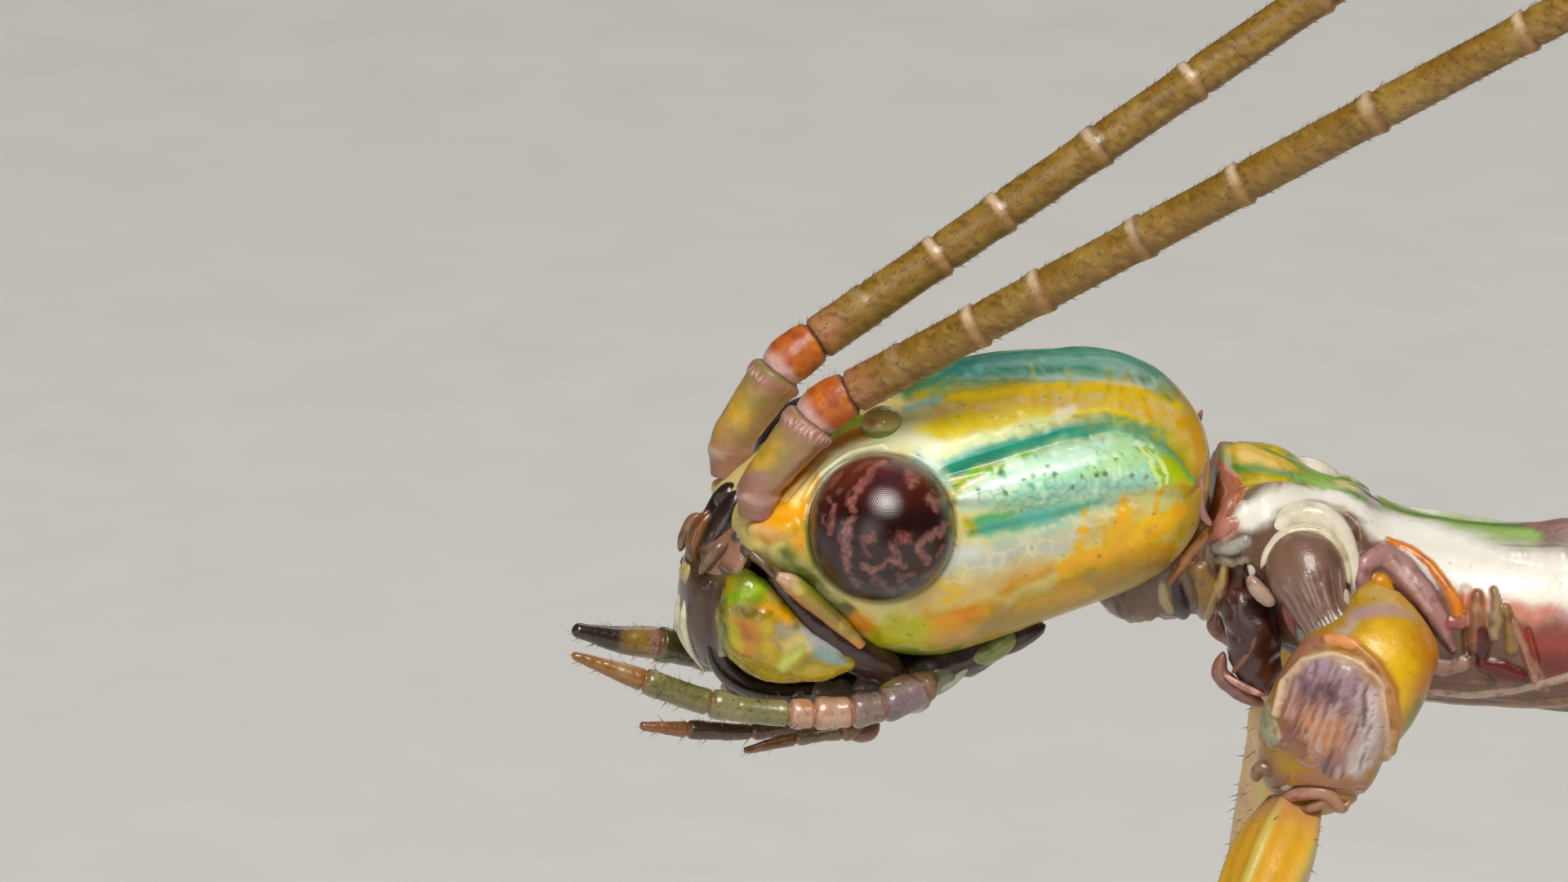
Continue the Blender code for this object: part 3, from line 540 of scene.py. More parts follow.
# Strokes on the side of the head: colour, softness, fraying and the path.  They are laid out square to the
# cheek, and both sides of the head carry the same ones.
headStrokes = [
    # crown, teal
    ("#2f7869", 0.6, 0.12, [(-3.65, 1.77, 0.094), (-3.26, 1.9, 0.167), (-2.73, 1.95, 0.208),
        (-2.11, 1.9, 0.229), (-1.48, 1.82, 0.219), (-0.86, 1.69, 0.188), (-0.44, 1.52, 0.146),
        (-0.23, 1.32, 0.094)]),
    # deep green core of the crown band, deepened as a painted reflection of dark surroundings
    ("#154c3e", 0.9, 0.3, [(-3.26, 1.85, 0.073), (-2.73, 1.86, 0.104), (-2.21, 1.79, 0.115),
        (-1.77, 1.73, 0.083)]),
    # bluer crown in front
    ("#2a6068", 0.8, 0.2, [(-3.26, 2.02, 0.083), (-2.84, 2.07, 0.094), (-2.37, 2.05, 0.083)]),
    # greyer crown at the back
    ("#5f9484", 0.8, 0.4, [(-1.69, 1.93, 0.083), (-1.06, 1.8, 0.104), (-0.54, 1.62, 0.104),
        (-0.23, 1.4, 0.094)]),
    # pale blue fringe
    ("#b6c4ba", 0.8, 0.5, [(-2.09, 1.67, 0.042), (-1.59, 1.62, 0.073), (-1.17, 1.55, 0.094),
        (-0.75, 1.47, 0.094), (-0.39, 1.32, 0.083), (-0.18, 1.08, 0.062)]),
    # lavender cream
    ("#cfc2b0", 0.8, 0.4, [(-1.69, 1.57, 0.042), (-1.27, 1.5, 0.052), (-0.86, 1.43, 0.052),
        (-0.44, 1.26, 0.062)]),
    # tan nape
    ("#c49a56", 0.8, 0.3, [(-0.23, 1.32, 0.115), (-0.04, 0.97, 0.188), (0.04, 0.52, 0.177),
        (0.02, 0, 0.156), (-0.06, -0.51, 0.125)]),
    # peach field
    ("#e8c088", 0.6, 0.2, [(-3.36, 1.43, 0.104), (-2.73, 1.42, 0.104), (-2.11, 1.38, 0.115),
        (-1.48, 1.31, 0.125), (-0.86, 1.13, 0.135), (-0.44, 0.94, 0.156), (-0.18, 0.66, 0.146),
        (-0.07, 0.33, 0.094)]),
    # warm nape edge
    ("#dea232", 0.8, 0.5, [(-0.15, 0.78, 0.083), (0, 0.63, 0.073), (0.04, 0.31, 0.062),
        (-0.04, 0.01, 0.062)]),
    # olive yellow under the crown
    ("#c4a12a", 0.9, 0.35, [(-3.53, 1.67, 0.083), (-3.15, 1.66, 0.115), (-2.73, 1.63, 0.104),
        (-2.32, 1.6, 0.083)]),
    # yellow line
    ("#f2c40c", 0.8, 0.7, [(-3.15, 1.62, 0.042), (-2.73, 1.59, 0.042), (-2.32, 1.58, 0.042),
        (-1.9, 1.55, 0.042), (-1.48, 1.5, 0.052), (-1.17, 1.41, 0.062), (-0.8, 1.32, 0.052),
        (-0.65, 1.24, 0.052), (-0.4, 1.12, 0.062), (-0.23, 0.98, 0.031)]),
    # drips off the yellow line
    ("#e3b02c", 1.0, 0.8, [(-2.07, 1.58, 0.031), (-2.05, 1.3, 0.025)]),
    # drip
    ("#e3b02c", 1.0, 0.8, [(-1.89, 1.57, 0.031), (-1.91, 1.22, 0.025)]),
    ("#e3b02c", 1.0, 0.8, [(-1.52, 1.48, 0.042), (-1.56, 1.28, 0.025)]),
    ("#e3b02c", 1.0, 0.8, [(-1.1, 1.37, 0.031), (-1.17, 1.21, 0.025)]),
    ("#e3b02c", 1.0, 0.8, [(-0.95, 1.34, 0.031), (-0.98, 1.09, 0.025)]),
    ("#e3b02c", 1.0, 0.8, [(-0.68, 1.25, 0.036), (-0.63, 0.86, 0.031)]),
    ("#e3b02c", 1.0, 0.8, [(-2.73, 1.59, 0.031), (-2.84, 1.44, 0.025)]),
    ("#e3b02c", 1.0, 0.8, [(-2.32, 1.58, 0.031), (-2.25, 1.38, 0.025)]),
    # rise
    ("#cdb04a", 1.0, 0.8, [(-1.61, 1.54, 0.027), (-1.64, 1.75, 0.021)]),
    ("#a5a044", 1.0, 0.8, [(-2.08, 1.62, 0.025), (-2.09, 1.88, 0.026)]),
    ("#b9a850", 1.0, 0.8, [(-1.11, 1.41, 0.027), (-1.09, 1.66, 0.021)]),
    ("#bfa850", 1.0, 0.8, [(-0.93, 1.4, 0.027), (-0.88, 1.58, 0.021)]),
    ("#c9ab4a", 1.0, 0.8, [(-0.44, 1.19, 0.027), (-0.42, 1.43, 0.021)]),
    ("#e0aa2a", 1.0, 0.8, [(-0.25, 1.17, 0.052), (-0.13, 1.3, 0.031)]),
    # bright yellow streak
    ("#ffd800", 0.7, 0.5, [(-3.59, 1.32, 0.052), (-3.36, 1.25, 0.094), (-3.1, 1.21, 0.125),
        (-2.73, 1.21, 0.094), (-2.37, 1.23, 0.083), (-2.06, 1.24, 0.062), (-1.74, 1.23, 0.036),
        (-1.38, 1.15, 0.031), (-1.17, 1.09, 0.042), (-0.91, 0.98, 0.042), (-0.65, 0.83, 0.042)]),
    # pale yellow below the streak: pale cream in front, a painted highlight line further back
    ("#f7ebb4", 0.7, 0.2, [(-3.57, 1.07, 0.083), (-2.94, 1.01, 0.052), (-2.53, 1.09, 0.052),
        (-2.11, 1.15, 0.052), (-1.69, 1.14, 0.042)]),
    # painted highlight on the streak, near white
    ("#fff1e4", 0.8, 0.2, [(-1.77, 1.21, 0.062), (-1.61, 1.23, 0.062)]),
    # green gold fade
    ("#b8ac52", 0.8, 0.4, [(-1.59, 1.12, 0.031), (-1.17, 1, 0.052), (-0.75, 0.85, 0.073),
        (-0.39, 0.59, 0.094), (-0.16, 0.26, 0.094)]),
    # yellow rim behind
    ("#d3b01e", 0.7, 0.4, [(-0.23, 0.48, 0.062), (-0.09, 0.17, 0.073), (-0.04, -0.1, 0.062)]),
    # painted highlight over the eye, near white
    ("#fff6e0", 0.8, 0.2, [(-4.82, 0.85, 0.083), (-4.51, 1.09, 0.104), (-4.09, 1.21, 0.135),
        (-3.67, 1.21, 0.156), (-3.3, 1.04, 0.073)]),
    # cream in front of the streak
    ("#f3e2b6", 0.8, 0.2, [(-3.82, 1.45, 0.115), (-3.49, 1.49, 0.083)]),
    # orange behind the feeler root
    ("#d98f1a", 0.7, 0.35, [(-4.72, 1.29, 0.073), (-4.46, 1.36, 0.094), (-4.18, 1.36, 0.062)]),
    # green round the simple eye
    ("#6f8c26", 0.6, 0.3, [(-4.7, 1.45, 0.062), (-4.35, 1.56, 0.073), (-4.01, 1.46, 0.052)]),
    # blue grey fringe
    ("#a9bdb6", 0.8, 0.2, [(-3.7, 1.54, 0.052), (-3.55, 1.6, 0.062), (-3.31, 1.61, 0.052)]),
    # dark olive under the feeler
    ("#4a6a48", 0.7, 0.3, [(-3.83, 1.85, 0.083), (-3.57, 1.88, 0.083), (-3.31, 1.92, 0.073)]),
    # grey lilac by the eye
    ("#b3c4c6", 0.8, 0.2, [(-3.53, 0.91, 0.104), (-3.34, 0.72, 0.146), (-3.15, 0.53, 0.062)]),
    # teal crease
    ("#3f9686", 0.45, 0.15, [(-3.15, 0.81, 0.125), (-2.73, 0.82, 0.135), (-2.32, 0.88, 0.125),
        (-1.8, 0.93, 0.104), (-1.27, 0.93, 0.094), (-0.86, 0.82, 0.094), (-0.52, 0.59, 0.094),
        (-0.28, 0.3, 0.083), (-0.13, 0.02, 0.052)]),
    # deepest teal
    ("#1f8478", 0.9, 0.3, [(-3.09, 0.7, 0.062), (-2.79, 0.75, 0.083), (-2.47, 0.81, 0.062)]),
    # muted back of the crease
    ("#7f9c76", 0.8, 0.3, [(-1.38, 0.99, 0.062), (-0.91, 0.87, 0.073), (-0.54, 0.62, 0.083),
        (-0.25, 0.27, 0.083)]),
    # yellow green fringe
    ("#c4cc92", 0.8, 0.4, [(-3.2, 0.96, 0.042), (-2.84, 0.99, 0.042), (-2.42, 1.03, 0.042),
        (-1.9, 1.07, 0.031)]),
    # swelling, mint
    ("#b5dcc8", 0.35, 0.2, [(-2.92, 0.28, 0.125), (-2.58, 0.35, 0.208), (-2.11, 0.39, 0.323),
        (-1.59, 0.42, 0.365), (-1.06, 0.41, 0.354), (-0.7, 0.31, 0.26)]),
    # painted highlight on the front of the swelling, pure white
    ("#ffffff", 0.8, 0.2, [(-2.94, 0.29, 0.094), (-2.78, 0.33, 0.135), (-2.58, 0.37, 0.094)]),
    # white mint on top of the swelling, partly a painted highlight
    ("#e8fbf2", 0.9, 0.4, [(-2.32, 0.46, 0.135), (-1.9, 0.54, 0.146), (-1.48, 0.6, 0.135),
        (-1.22, 0.67, 0.094)]),
    # pale green
    ("#cde6bd", 0.9, 0.4, [(-1.38, 0.35, 0.125), (-1.01, 0.44, 0.188), (-0.8, 0.49, 0.125)]),
    # bluish cells
    ("#bcd9d8", 0.9, 0.4, [(-1.9, 0.19, 0.094), (-1.43, 0.19, 0.104), (-1.06, 0.17, 0.094),
        (-0.72, 0.17, 0.094)]),
    # leaf green
    ("#8bb31e", 0.6, 0.6, [(-0.81, 0.58, 0.042), (-0.69, 0.52, 0.052), (-0.56, 0.48, 0.042)]),
    ("#9bba2a", 0.6, 0.6, [(-0.61, 0.29, 0.042), (-0.46, 0.14, 0.062)]),
    # yellow green rear
    ("#b9c322", 0.7, 0.4, [(-0.52, 0.36, 0.062), (-0.35, 0.21, 0.104), (-0.23, 0.02, 0.083)]),
    # golden corner
    ("#cfa51c", 0.7, 0.3, [(-0.27, -0.02, 0.073), (-0.15, -0.08, 0.073), (-0.1, -0.4, 0.073),
        (-0.17, -0.65, 0.062)]),
    # green edge of the swelling
    ("#86ad20", 0.6, 0.55, [(-3.11, 0.51, 0.031), (-2.86, 0.59, 0.042), (-2.59, 0.6, 0.031),
        (-2.35, 0.7, 0.042), (-2.13, 0.74, 0.026)]),
    # pale squiggle
    ("#eef0b8", 0.4, 0.9, [(-0.77, 0.61, 0.019), (-0.69, 0.44, 0.023), (-0.61, 0.21, 0.019),
        (-0.5, 0.03, 0.019)]),
    ("#eef0b8", 0.4, 0.9, [(-0.65, 0.51, 0.017), (-0.52, 0.28, 0.019), (-0.44, 0.08, 0.016)]),
    # pale yellow below
    ("#d8d09c", 0.8, 0.4, [(-0.96, -0.06, 0.052), (-0.65, -0.1, 0.083), (-0.33, -0.17, 0.083)]),
    # lower teal
    ("#63a699", 0.5, 0.25, [(-2.9, -0.15, 0.062), (-2.68, -0.1, 0.125), (-2.32, -0.09, 0.146),
        (-1.95, -0.12, 0.125), (-1.59, -0.08, 0.094), (-1.22, -0.02, 0.052)]),
    # greener front of it
    ("#55a06e", 0.8, 0.2, [(-2.84, -0.02, 0.052), (-2.63, 0.04, 0.052), (-2.37, 0.02, 0.042)]),
    # bluer middle
    ("#6fb0ae", 0.8, 0.2, [(-2.16, -0.06, 0.073), (-1.85, -0.09, 0.062)]),
    # seafoam fade
    ("#a9c6bc", 0.9, 0.3, [(-2.58, -0.32, 0.062), (-2.11, -0.31, 0.073), (-1.69, -0.23, 0.073),
        (-1.27, -0.11, 0.062), (-0.96, -0.06, 0.042)]),
    # yellow corner
    ("#a8a32c", 0.7, 0.3, [(-2.96, 0.02, 0.042), (-2.88, -0.14, 0.052)]),
    # lilac band
    ("#cbc2c0", 0.6, 0.2, [(-3.24, -0.58, 0.104), (-3.05, -0.43, 0.156), (-2.63, -0.5, 0.177),
        (-2.16, -0.5, 0.156), (-1.69, -0.44, 0.135), (-1.33, -0.31, 0.094)]),
    # palest lilac
    ("#dedae0", 0.9, 0.2, [(-3.09, -0.38, 0.094), (-2.86, -0.38, 0.083)]),
    # peach below
    ("#d6b288", 0.8, 0.35, [(-3.36, -0.79, 0.094), (-2.94, -0.86, 0.125), (-2.47, -0.78, 0.125),
        (-2, -0.69, 0.094)]),
    # cream yellow spot
    ("#e4b966", 0.8, 0.5, [(-3.26, -0.73, 0.073), (-3.03, -0.85, 0.073), (-3.26, -0.98, 0.062)]),
    # peach behind
    ("#d4b27a", 0.8, 0.3, [(-1.38, -0.36, 0.115), (-1.12, -0.31, 0.115), (-0.8, -0.21, 0.094)]),
    # amber cheek
    ("#f0b000", 0.35, 0.4, [(-0.26, -0.35, 0.083), (-0.44, -0.47, 0.146), (-0.7, -0.56, 0.208),
        (-1.06, -0.72, 0.198), (-1.43, -0.74, 0.146), (-1.74, -0.78, 0.104)]),
    # brightest amber
    ("#ffc603", 0.8, 0.3, [(-0.65, -0.39, 0.083), (-0.35, -0.4, 0.083), (-0.86, -0.6, 0.083)]),
    # ochre
    ("#d49c12", 0.7, 0.3, [(-0.33, -0.8, 0.104), (-0.65, -0.87, 0.135), (-1.17, -0.97, 0.135),
        (-1.69, -1, 0.125)]),
    # dull patch
    ("#b39f74", 0.9, 0.5, [(-1.38, -0.97, 0.083), (-1.06, -0.96, 0.062)]),
    # amber drip
    ("#eaae18", 1.0, 0.8, [(-1.42, -0.13, 0.027), (-1.46, -0.32, 0.033), (-1.48, -0.56, 0.052)]),
    ("#edb010", 1.0, 0.8, [(-0.95, 0.02, 0.027), (-0.96, -0.25, 0.052), (-1, -0.54, 0.094)]),
    ("#eaae18", 1.0, 0.8, [(-0.49, 0, 0.023), (-0.52, -0.24, 0.035)]),
    ("#e0ab30", 1.0, 0.8, [(-1.17, -0.28, 0.021), (-1.15, -0.55, 0.033)]),
    # orange spots
    ("#d39648", 1.0, 0.4, [(-1.9, -0.73, 0.052), (-2.09, -0.82, 0.062), (-2.32, -0.88, 0.062),
        (-2.47, -0.96, 0.052)]),
    # orange field
    ("#df8a22", 0.8, 0.5, [(-3.26, -1.18, 0.094), (-2.94, -1.17, 0.125), (-2.63, -1.12, 0.094)]),
    # lower cheek, warm tan
    ("#a87a2c", 0.8, 0.3, [(-0.39, -0.98, 0.104), (-1.06, -1.13, 0.146), (-1.8, -1.25, 0.188),
        (-2.53, -1.36, 0.208), (-3.15, -1.43, 0.167)]),
    # tan lower edge
    ("#a98844", 0.7, 0.25, [(-0.65, -1.05, 0.052), (-1.17, -1.21, 0.083), (-1.69, -1.27, 0.115),
        (-2.21, -1.33, 0.135), (-2.63, -1.41, 0.115), (-3.05, -1.51, 0.083)]),
    # ochre line
    ("#d29f1a", 0.8, 0.5, [(-1.38, -1.14, 0.073), (-1.9, -1.17, 0.073), (-2.21, -1.18, 0.062)]),
    # yellow jowl
    ("#bfb30c", 0.5, 0.3, [(-4.09, -1.24, 0.115), (-3.83, -1.19, 0.177), (-3.52, -1.25, 0.177),
        (-3.31, -1.33, 0.115)]),
    # amber jowl
    ("#d99a14", 0.8, 0.3, [(-3.26, -1.33, 0.125), (-2.94, -1.39, 0.094), (-3.41, -1.05, 0.083)]),
    # orange under the eye
    ("#dd8d20", 0.7, 0.4, [(-4.53, -0.79, 0.052), (-4.35, -0.93, 0.083), (-4.18, -1.09, 0.083)]),
    # green rim below
    ("#6f8012", 0.8, 0.3, [(-4.18, -1.38, 0.062), (-3.88, -1.51, 0.052), (-3.47, -1.6, 0.042),
        (-3.05, -1.61, 0.042)]),
    # cream under the eye
    ("#dcb98c", 0.8, 0.3, [(-3.67, -0.9, 0.052), (-3.41, -0.87, 0.083), (-3.26, -1.05, 0.073)]),
    # orange tan cover of the face
    ("#dc9f4a", 0.7, 0.2, [(-5.41, 0.41, 0.208), (-5.16, 0.61, 0.229), (-4.99, 0.4, 0.188),
        (-5.05, 0.07, 0.146)]),
    # face, orange tan
    ("#e9a74c", 0.5, 0.15, [(-5.45, 0.33, 0.146), (-5.19, 0.47, 0.177), (-4.98, 0.72, 0.104),
        (-4.82, 0.87, 0.062)]),
    # peach nose
    ("#dcab88", 0.8, 0.2, [(-5.55, 0.4, 0.083), (-5.4, 0.3, 0.083)]),
    # greenish tan
    ("#bca87c", 0.7, 0.3, [(-5.5, 0.11, 0.083), (-5.37, -0.08, 0.073)]),
    # dark green patch
    ("#4a5c24", 0.9, 0.35, [(-5.24, 0.06, 0.073), (-5.14, -0.14, 0.125), (-4.98, -0.36, 0.115)]),
    # olive by the eye
    ("#908a20", 0.7, 0.3, [(-4.98, 0.35, 0.042), (-4.93, 0.08, 0.052), (-4.9, -0.19, 0.052)]),
    # olive below the eye, darkened as the eye's painted shadow
    ("#4a4d14", 0.8, 0.3, [(-4.95, -0.34, 0.073), (-4.72, -0.62, 0.073), (-4.41, -0.82, 0.052)]),
    # orange by the feeler root
    ("#dc8f2c", 0.9, 0.3, [(-5.11, 0.9, 0.052), (-4.93, 1.1, 0.062), (-4.76, 1.21, 0.062)]),
    # lit brow
    ("#ffe6b4", 0.9, 0.3, [(-5.11, 0.65, 0.062), (-4.91, 0.84, 0.062)]),
]

# Height of each ridge or groove and its path
headRelief = [
    # swelling behind the eye
    (0.13, [(-3.05, 0.34, 0.094), (-2.58, 0.35, 0.292), (-2, 0.37, 0.375), (-1.27, 0.38, 0.417),
        (-0.65, 0.26, 0.354), (-0.16, 0.03, 0.208)]),
    # crease above it
    (-0.06, [(-3.2, 0.67, 0.083), (-2.68, 0.72, 0.115), (-2.16, 0.79, 0.115), (-1.64, 0.85, 0.115),
        (-1.1, 0.85, 0.115), (-0.58, 0.7, 0.115), (-0.15, 0.38, 0.104), (0.08, -0.06, 0.083)]),
    # crease below it
    (-0.03, [(-2.9, -0.17, 0.083), (-2.27, -0.17, 0.125), (-1.59, -0.15, 0.125), (-0.86, -0.13, 0.115)]),
    # crown line
    (-0.015, [(-3.57, 2.04, 0.083), (-2.68, 1.86, 0.104), (-1.64, 1.7, 0.104), (-0.59, 1.36, 0.094)]),
    # corner of the face
    (0.08, [(-5.59, 0.41, 0.146), (-5.4, 0.34, 0.188), (-5.19, 0.34, 0.167)]),
    # brow
    (0.05, [(-4.98, 0.65, 0.062), (-4.77, 0.92, 0.083), (-4.41, 1.13, 0.083), (-3.99, 1.16, 0.062)]),
    # face edge above the jaw
    (0.05, [(-4.82, -0.47, 0.062), (-4.46, -0.89, 0.094), (-4.04, -1.42, 0.083)]),
    # jowl
    (0.04, [(-3.99, -1.29, 0.146), (-3.41, -1.34, 0.208), (-2.68, -1.26, 0.167)]),
    # groove behind the feeler root
    (-0.05, [(-5.24, 0.69, 0.042), (-4.98, 0.93, 0.042), (-4.74, 1.17, 0.042)]),
    # groove behind the eye
    (-0.025, [(-3.05, 0.43, 0.052), (-2.96, 0, 0.052), (-3.03, -0.41, 0.052)]),
]

# Dark green flecks and ring-shaped pits strewn along the swelling behind the eye
swellingMarks = {
    "flecks": {
        "start": (-2.95, 0.45), "end": (-0.70, 0.30), "count": 15, "spread": 0.17, "radii": (0.022, 0.044),
        "seed": 4
    },
    "rings": {
        "start": (-2.80, 0.26), "end": (-0.75, 0.13), "count": 26, "spread": 0.14, "radii": (0.062, 0.094),
        "seed": 9
    },
}


def strewMarks(start, end, count, spread, radii, seed):
    # Round marks along a band: along, up, radius
    draws = np.random.default_rng(seed)
    t = (np.arange(count) + draws.uniform(0.1, 0.9, count)) / count
    along = start[0] + (end[0] - start[0]) * t
    up = start[1] + (end[1] - start[1]) * t + draws.uniform(-spread, spread, count)
    return np.stack([along, up, draws.uniform(*radii, count)], axis=1)




def cheekSpots(local):
    side = np.abs(local[:, 1])
    return np.stack([local[:, 0] + 0.288 * side - 0.088 * local[:, 2], local[:, 2] - 0.361 * side], axis=1)


def makeHead():
    look = headShape
    t = np.linspace(0, 1, look["stations"])
    rows = np.array(look["rows"])
    back, front = rows[0, 0], rows[-1, 0]
    ease = 0.5 - 0.5 * np.cos(math.pi * t)
    station = back + (front - back) * (0.62 * ease + 0.38 * t)
    grid = bodyGrid(look["rows"], station, look["around"], look["power"])
    flat = grid.reshape(-1, 3)
    spots = cheekSpots(flat)
    relief = np.zeros(len(flat))
    for height, path in headRelief:
        raiseAlong(relief, spots, path, height)
    # The eye sits in a tight groove with a low rim round it
    eye = np.array(headTurn["eye"])
    fromEye = np.linalg.norm(
        np.abs(flat) * (0, 1, 0) + flat * (1, 0, 1) - eye, axis=1
    ) - headTurn["eyeRadius"]
    relief += 0.012 * np.exp(
        -(((fromEye - 0.05) / 0.03) ** 2)
    ) - 0.02 * np.exp(-(((fromEye - 0.01) / 0.02) ** 2))
    bulge = strokeMask(
        spots, [(-3.0, 0.40, 0.14), (-2.3, 0.44, 0.34), (-1.3, 0.48, 0.38), (-0.8, 0.45, 0.28)], 0.25
    )
    rings = np.full(len(flat), 9.0)
    wobble = 0.014 * layeredNoise(flat, 0.07, 2, 44)
    for along, up, radius in strewMarks(**swellingMarks["rings"]):
        gap = np.hypot(spots[:, 0] - along, (spots[:, 1] - up) * 1.15) + wobble
        rings = np.minimum(rings, np.where(gap < radius * 1.4, gap / radius, 9.0))
    granule, _ = cellGaps(flat, 0.055, 5)
    relief += 0.006 * layeredNoise(flat, 0.35, 3, 4) + 0.003 * layeredNoise(flat, 0.09, 2, 9)
    relief += bulge * (0.007 * (0.5 - granule) - 0.010 * np.exp(-(((rings - 0.9) / 0.25) ** 2)))
    skinGrid = reliefOut(grid, relief)
    paint = np.tile(linearColour("#e2cc9c"), (len(flat), 1))
    paintStrokes(paint, flat, spots, headStrokes, 20)
    # Yellow veins round pale cells in the cream field, pale ones in the lilac band, streaks in the teal
    cell, nextCell = cellGaps(flat * (1, 1.0, 1.15) + 0.05 * layeredNoise(flat, 0.2, 2, 3)[:, None], 0.27, 7)
    vein = 1 - smoothStep(0.03, 0.15, nextCell - cell)
    patchy = smoothStep(-0.35, 0.45, layeredNoise(flat, 0.55, 2, 51))
    cream = strokeMask(
        spots, [(-3.2, 1.44, 0.16), (-2.0, 1.42, 0.20), (-1.0, 1.20, 0.24), (-0.35, 0.85, 0.24)], 0.5
    )
    layPaint(paint, "#f0c41c", cream * vein * patchy * 0.8)
    layPaint(paint, "#f4dcb4", cream * smoothStep(0.42, 0.10, cell) * 0.45)
    lilac = strokeMask(
        spots, [(-3.1, -0.62, 0.16), (-2.3, -0.45, 0.20), (-1.4, -0.22, 0.16), (-0.8, -0.08, 0.10)], 0.6
    )
    layPaint(paint, "#e6dac8", lilac * vein * 0.65)
    layPaint(paint, "#b5a9ae", lilac * smoothStep(0.35, 0.15, cell) * 0.30)
    # Teal crown with light and dark streaks, made deeper than its own colour: partly a painted reflection of
    # dark surroundings
    crown = strokeMask(
        spots, [(-3.3, 1.80, 0.14), (-2.0, 1.86, 0.18), (-0.8, 1.62, 0.16), (-0.3, 1.2, 0.12)], 0.6
    )
    streaks = layeredNoise(flat * (1, 0.25, 0.25), 0.075, 3, 81)
    layPaint(paint, "#2f7d6c", crown * 0.45)
    layPaint(paint, "#1c5a4a", crown * smoothStep(0.05, 0.6, streaks) * 0.55)
    layPaint(paint, "#7fae9c", crown * smoothStep(0.15, 0.7, -streaks) * 0.35)
    amber = strokeMask(spots, [(-1.7, -0.95, 0.12), (-1.0, -0.80, 0.22), (-0.5, -0.50, 0.20)], 0.5)
    layPaint(paint, "#c98a10", amber * smoothStep(0.1, 0.6, layeredNoise(flat, 0.13, 3, 83)) * 0.5)
    # The swelling: white wax granules, rings, flecks and scribbles
    crumbs = layeredNoise(flat, 0.075, 3, 61)
    layPaint(paint, "#f2fff8", bulge * smoothStep(0.02, 0.40, crumbs + 0.25 * patchy - 0.1) * 0.85)
    layPaint(paint, "#78b0a4", bulge * smoothStep(0.22, 0.55, -crumbs) * 0.65)
    layPaint(paint, "#6fa39c", np.exp(-(((rings - 0.85) / 0.20) ** 2)) * (0.45 + 0.35 * patchy))
    layPaint(paint, "#a5cfc6", smoothStep(0.6, 0.2, rings) * 0.5)
    dots = np.full(len(flat), 9.0)
    for along, up, radius in strewMarks(**swellingMarks["flecks"]):
        dots = np.minimum(dots, np.hypot(spots[:, 0] - along, spots[:, 1] - up) / radius + 6 * wobble)
    layPaint(paint, "#3d6a3a", smoothStep(1.3, 0.6, dots) * 0.9)
    scribble = np.abs(layeredNoise(flat * (1.0, 0.6, 0.6), 0.10, 2, 91))
    rear = strokeMask(spots, [(-1.25, 0.45, 0.10), (-0.75, 0.35, 0.22)], 0.6)
    layPaint(paint, "#f0f2c4", rear * smoothStep(0.06, 0.01, scribble) * 0.5)
    # Dark rim of the eye, then small flecks, warm and cool mottling everywhere
    layPaint(paint, "#4a3f14", np.exp(-(((fromEye - 0.005) / 0.022) ** 2)) * 0.9)
    layPaint(paint, "#6f5218", smoothStep(0.80, 0.90, latticeNoise(flat, 0.045, 71)) * 0.6)
    tint = layeredNoise(flat, 0.20, 4, 95)[:, None]
    paint *= (1 + tint * np.array((0.10, 0.06, 0.02))) * np.array((0.93, 1.04, 0.90))
    values = {"pigment": vivid(paint, 1.30), "wax": bulge * (0.5 + 0.5 * patchy)}
    skin = gridMesh("headSkin", headToBody(skinGrid), values)
    look = {
        "mottle": 0.20, "depth": 0.10, "grain": 0.040, "rough": 0.36, "bump": 0.22, "coat": 0.30,
        "coatRough": 0.12
    }
    settle(skin, "head", cuticleMaterial("waxy head cuticle", look), "head_capsule")
    print("head skin done")


eyeLook = {"facets": 37, "dome": 9.0, "lean": 18.0}

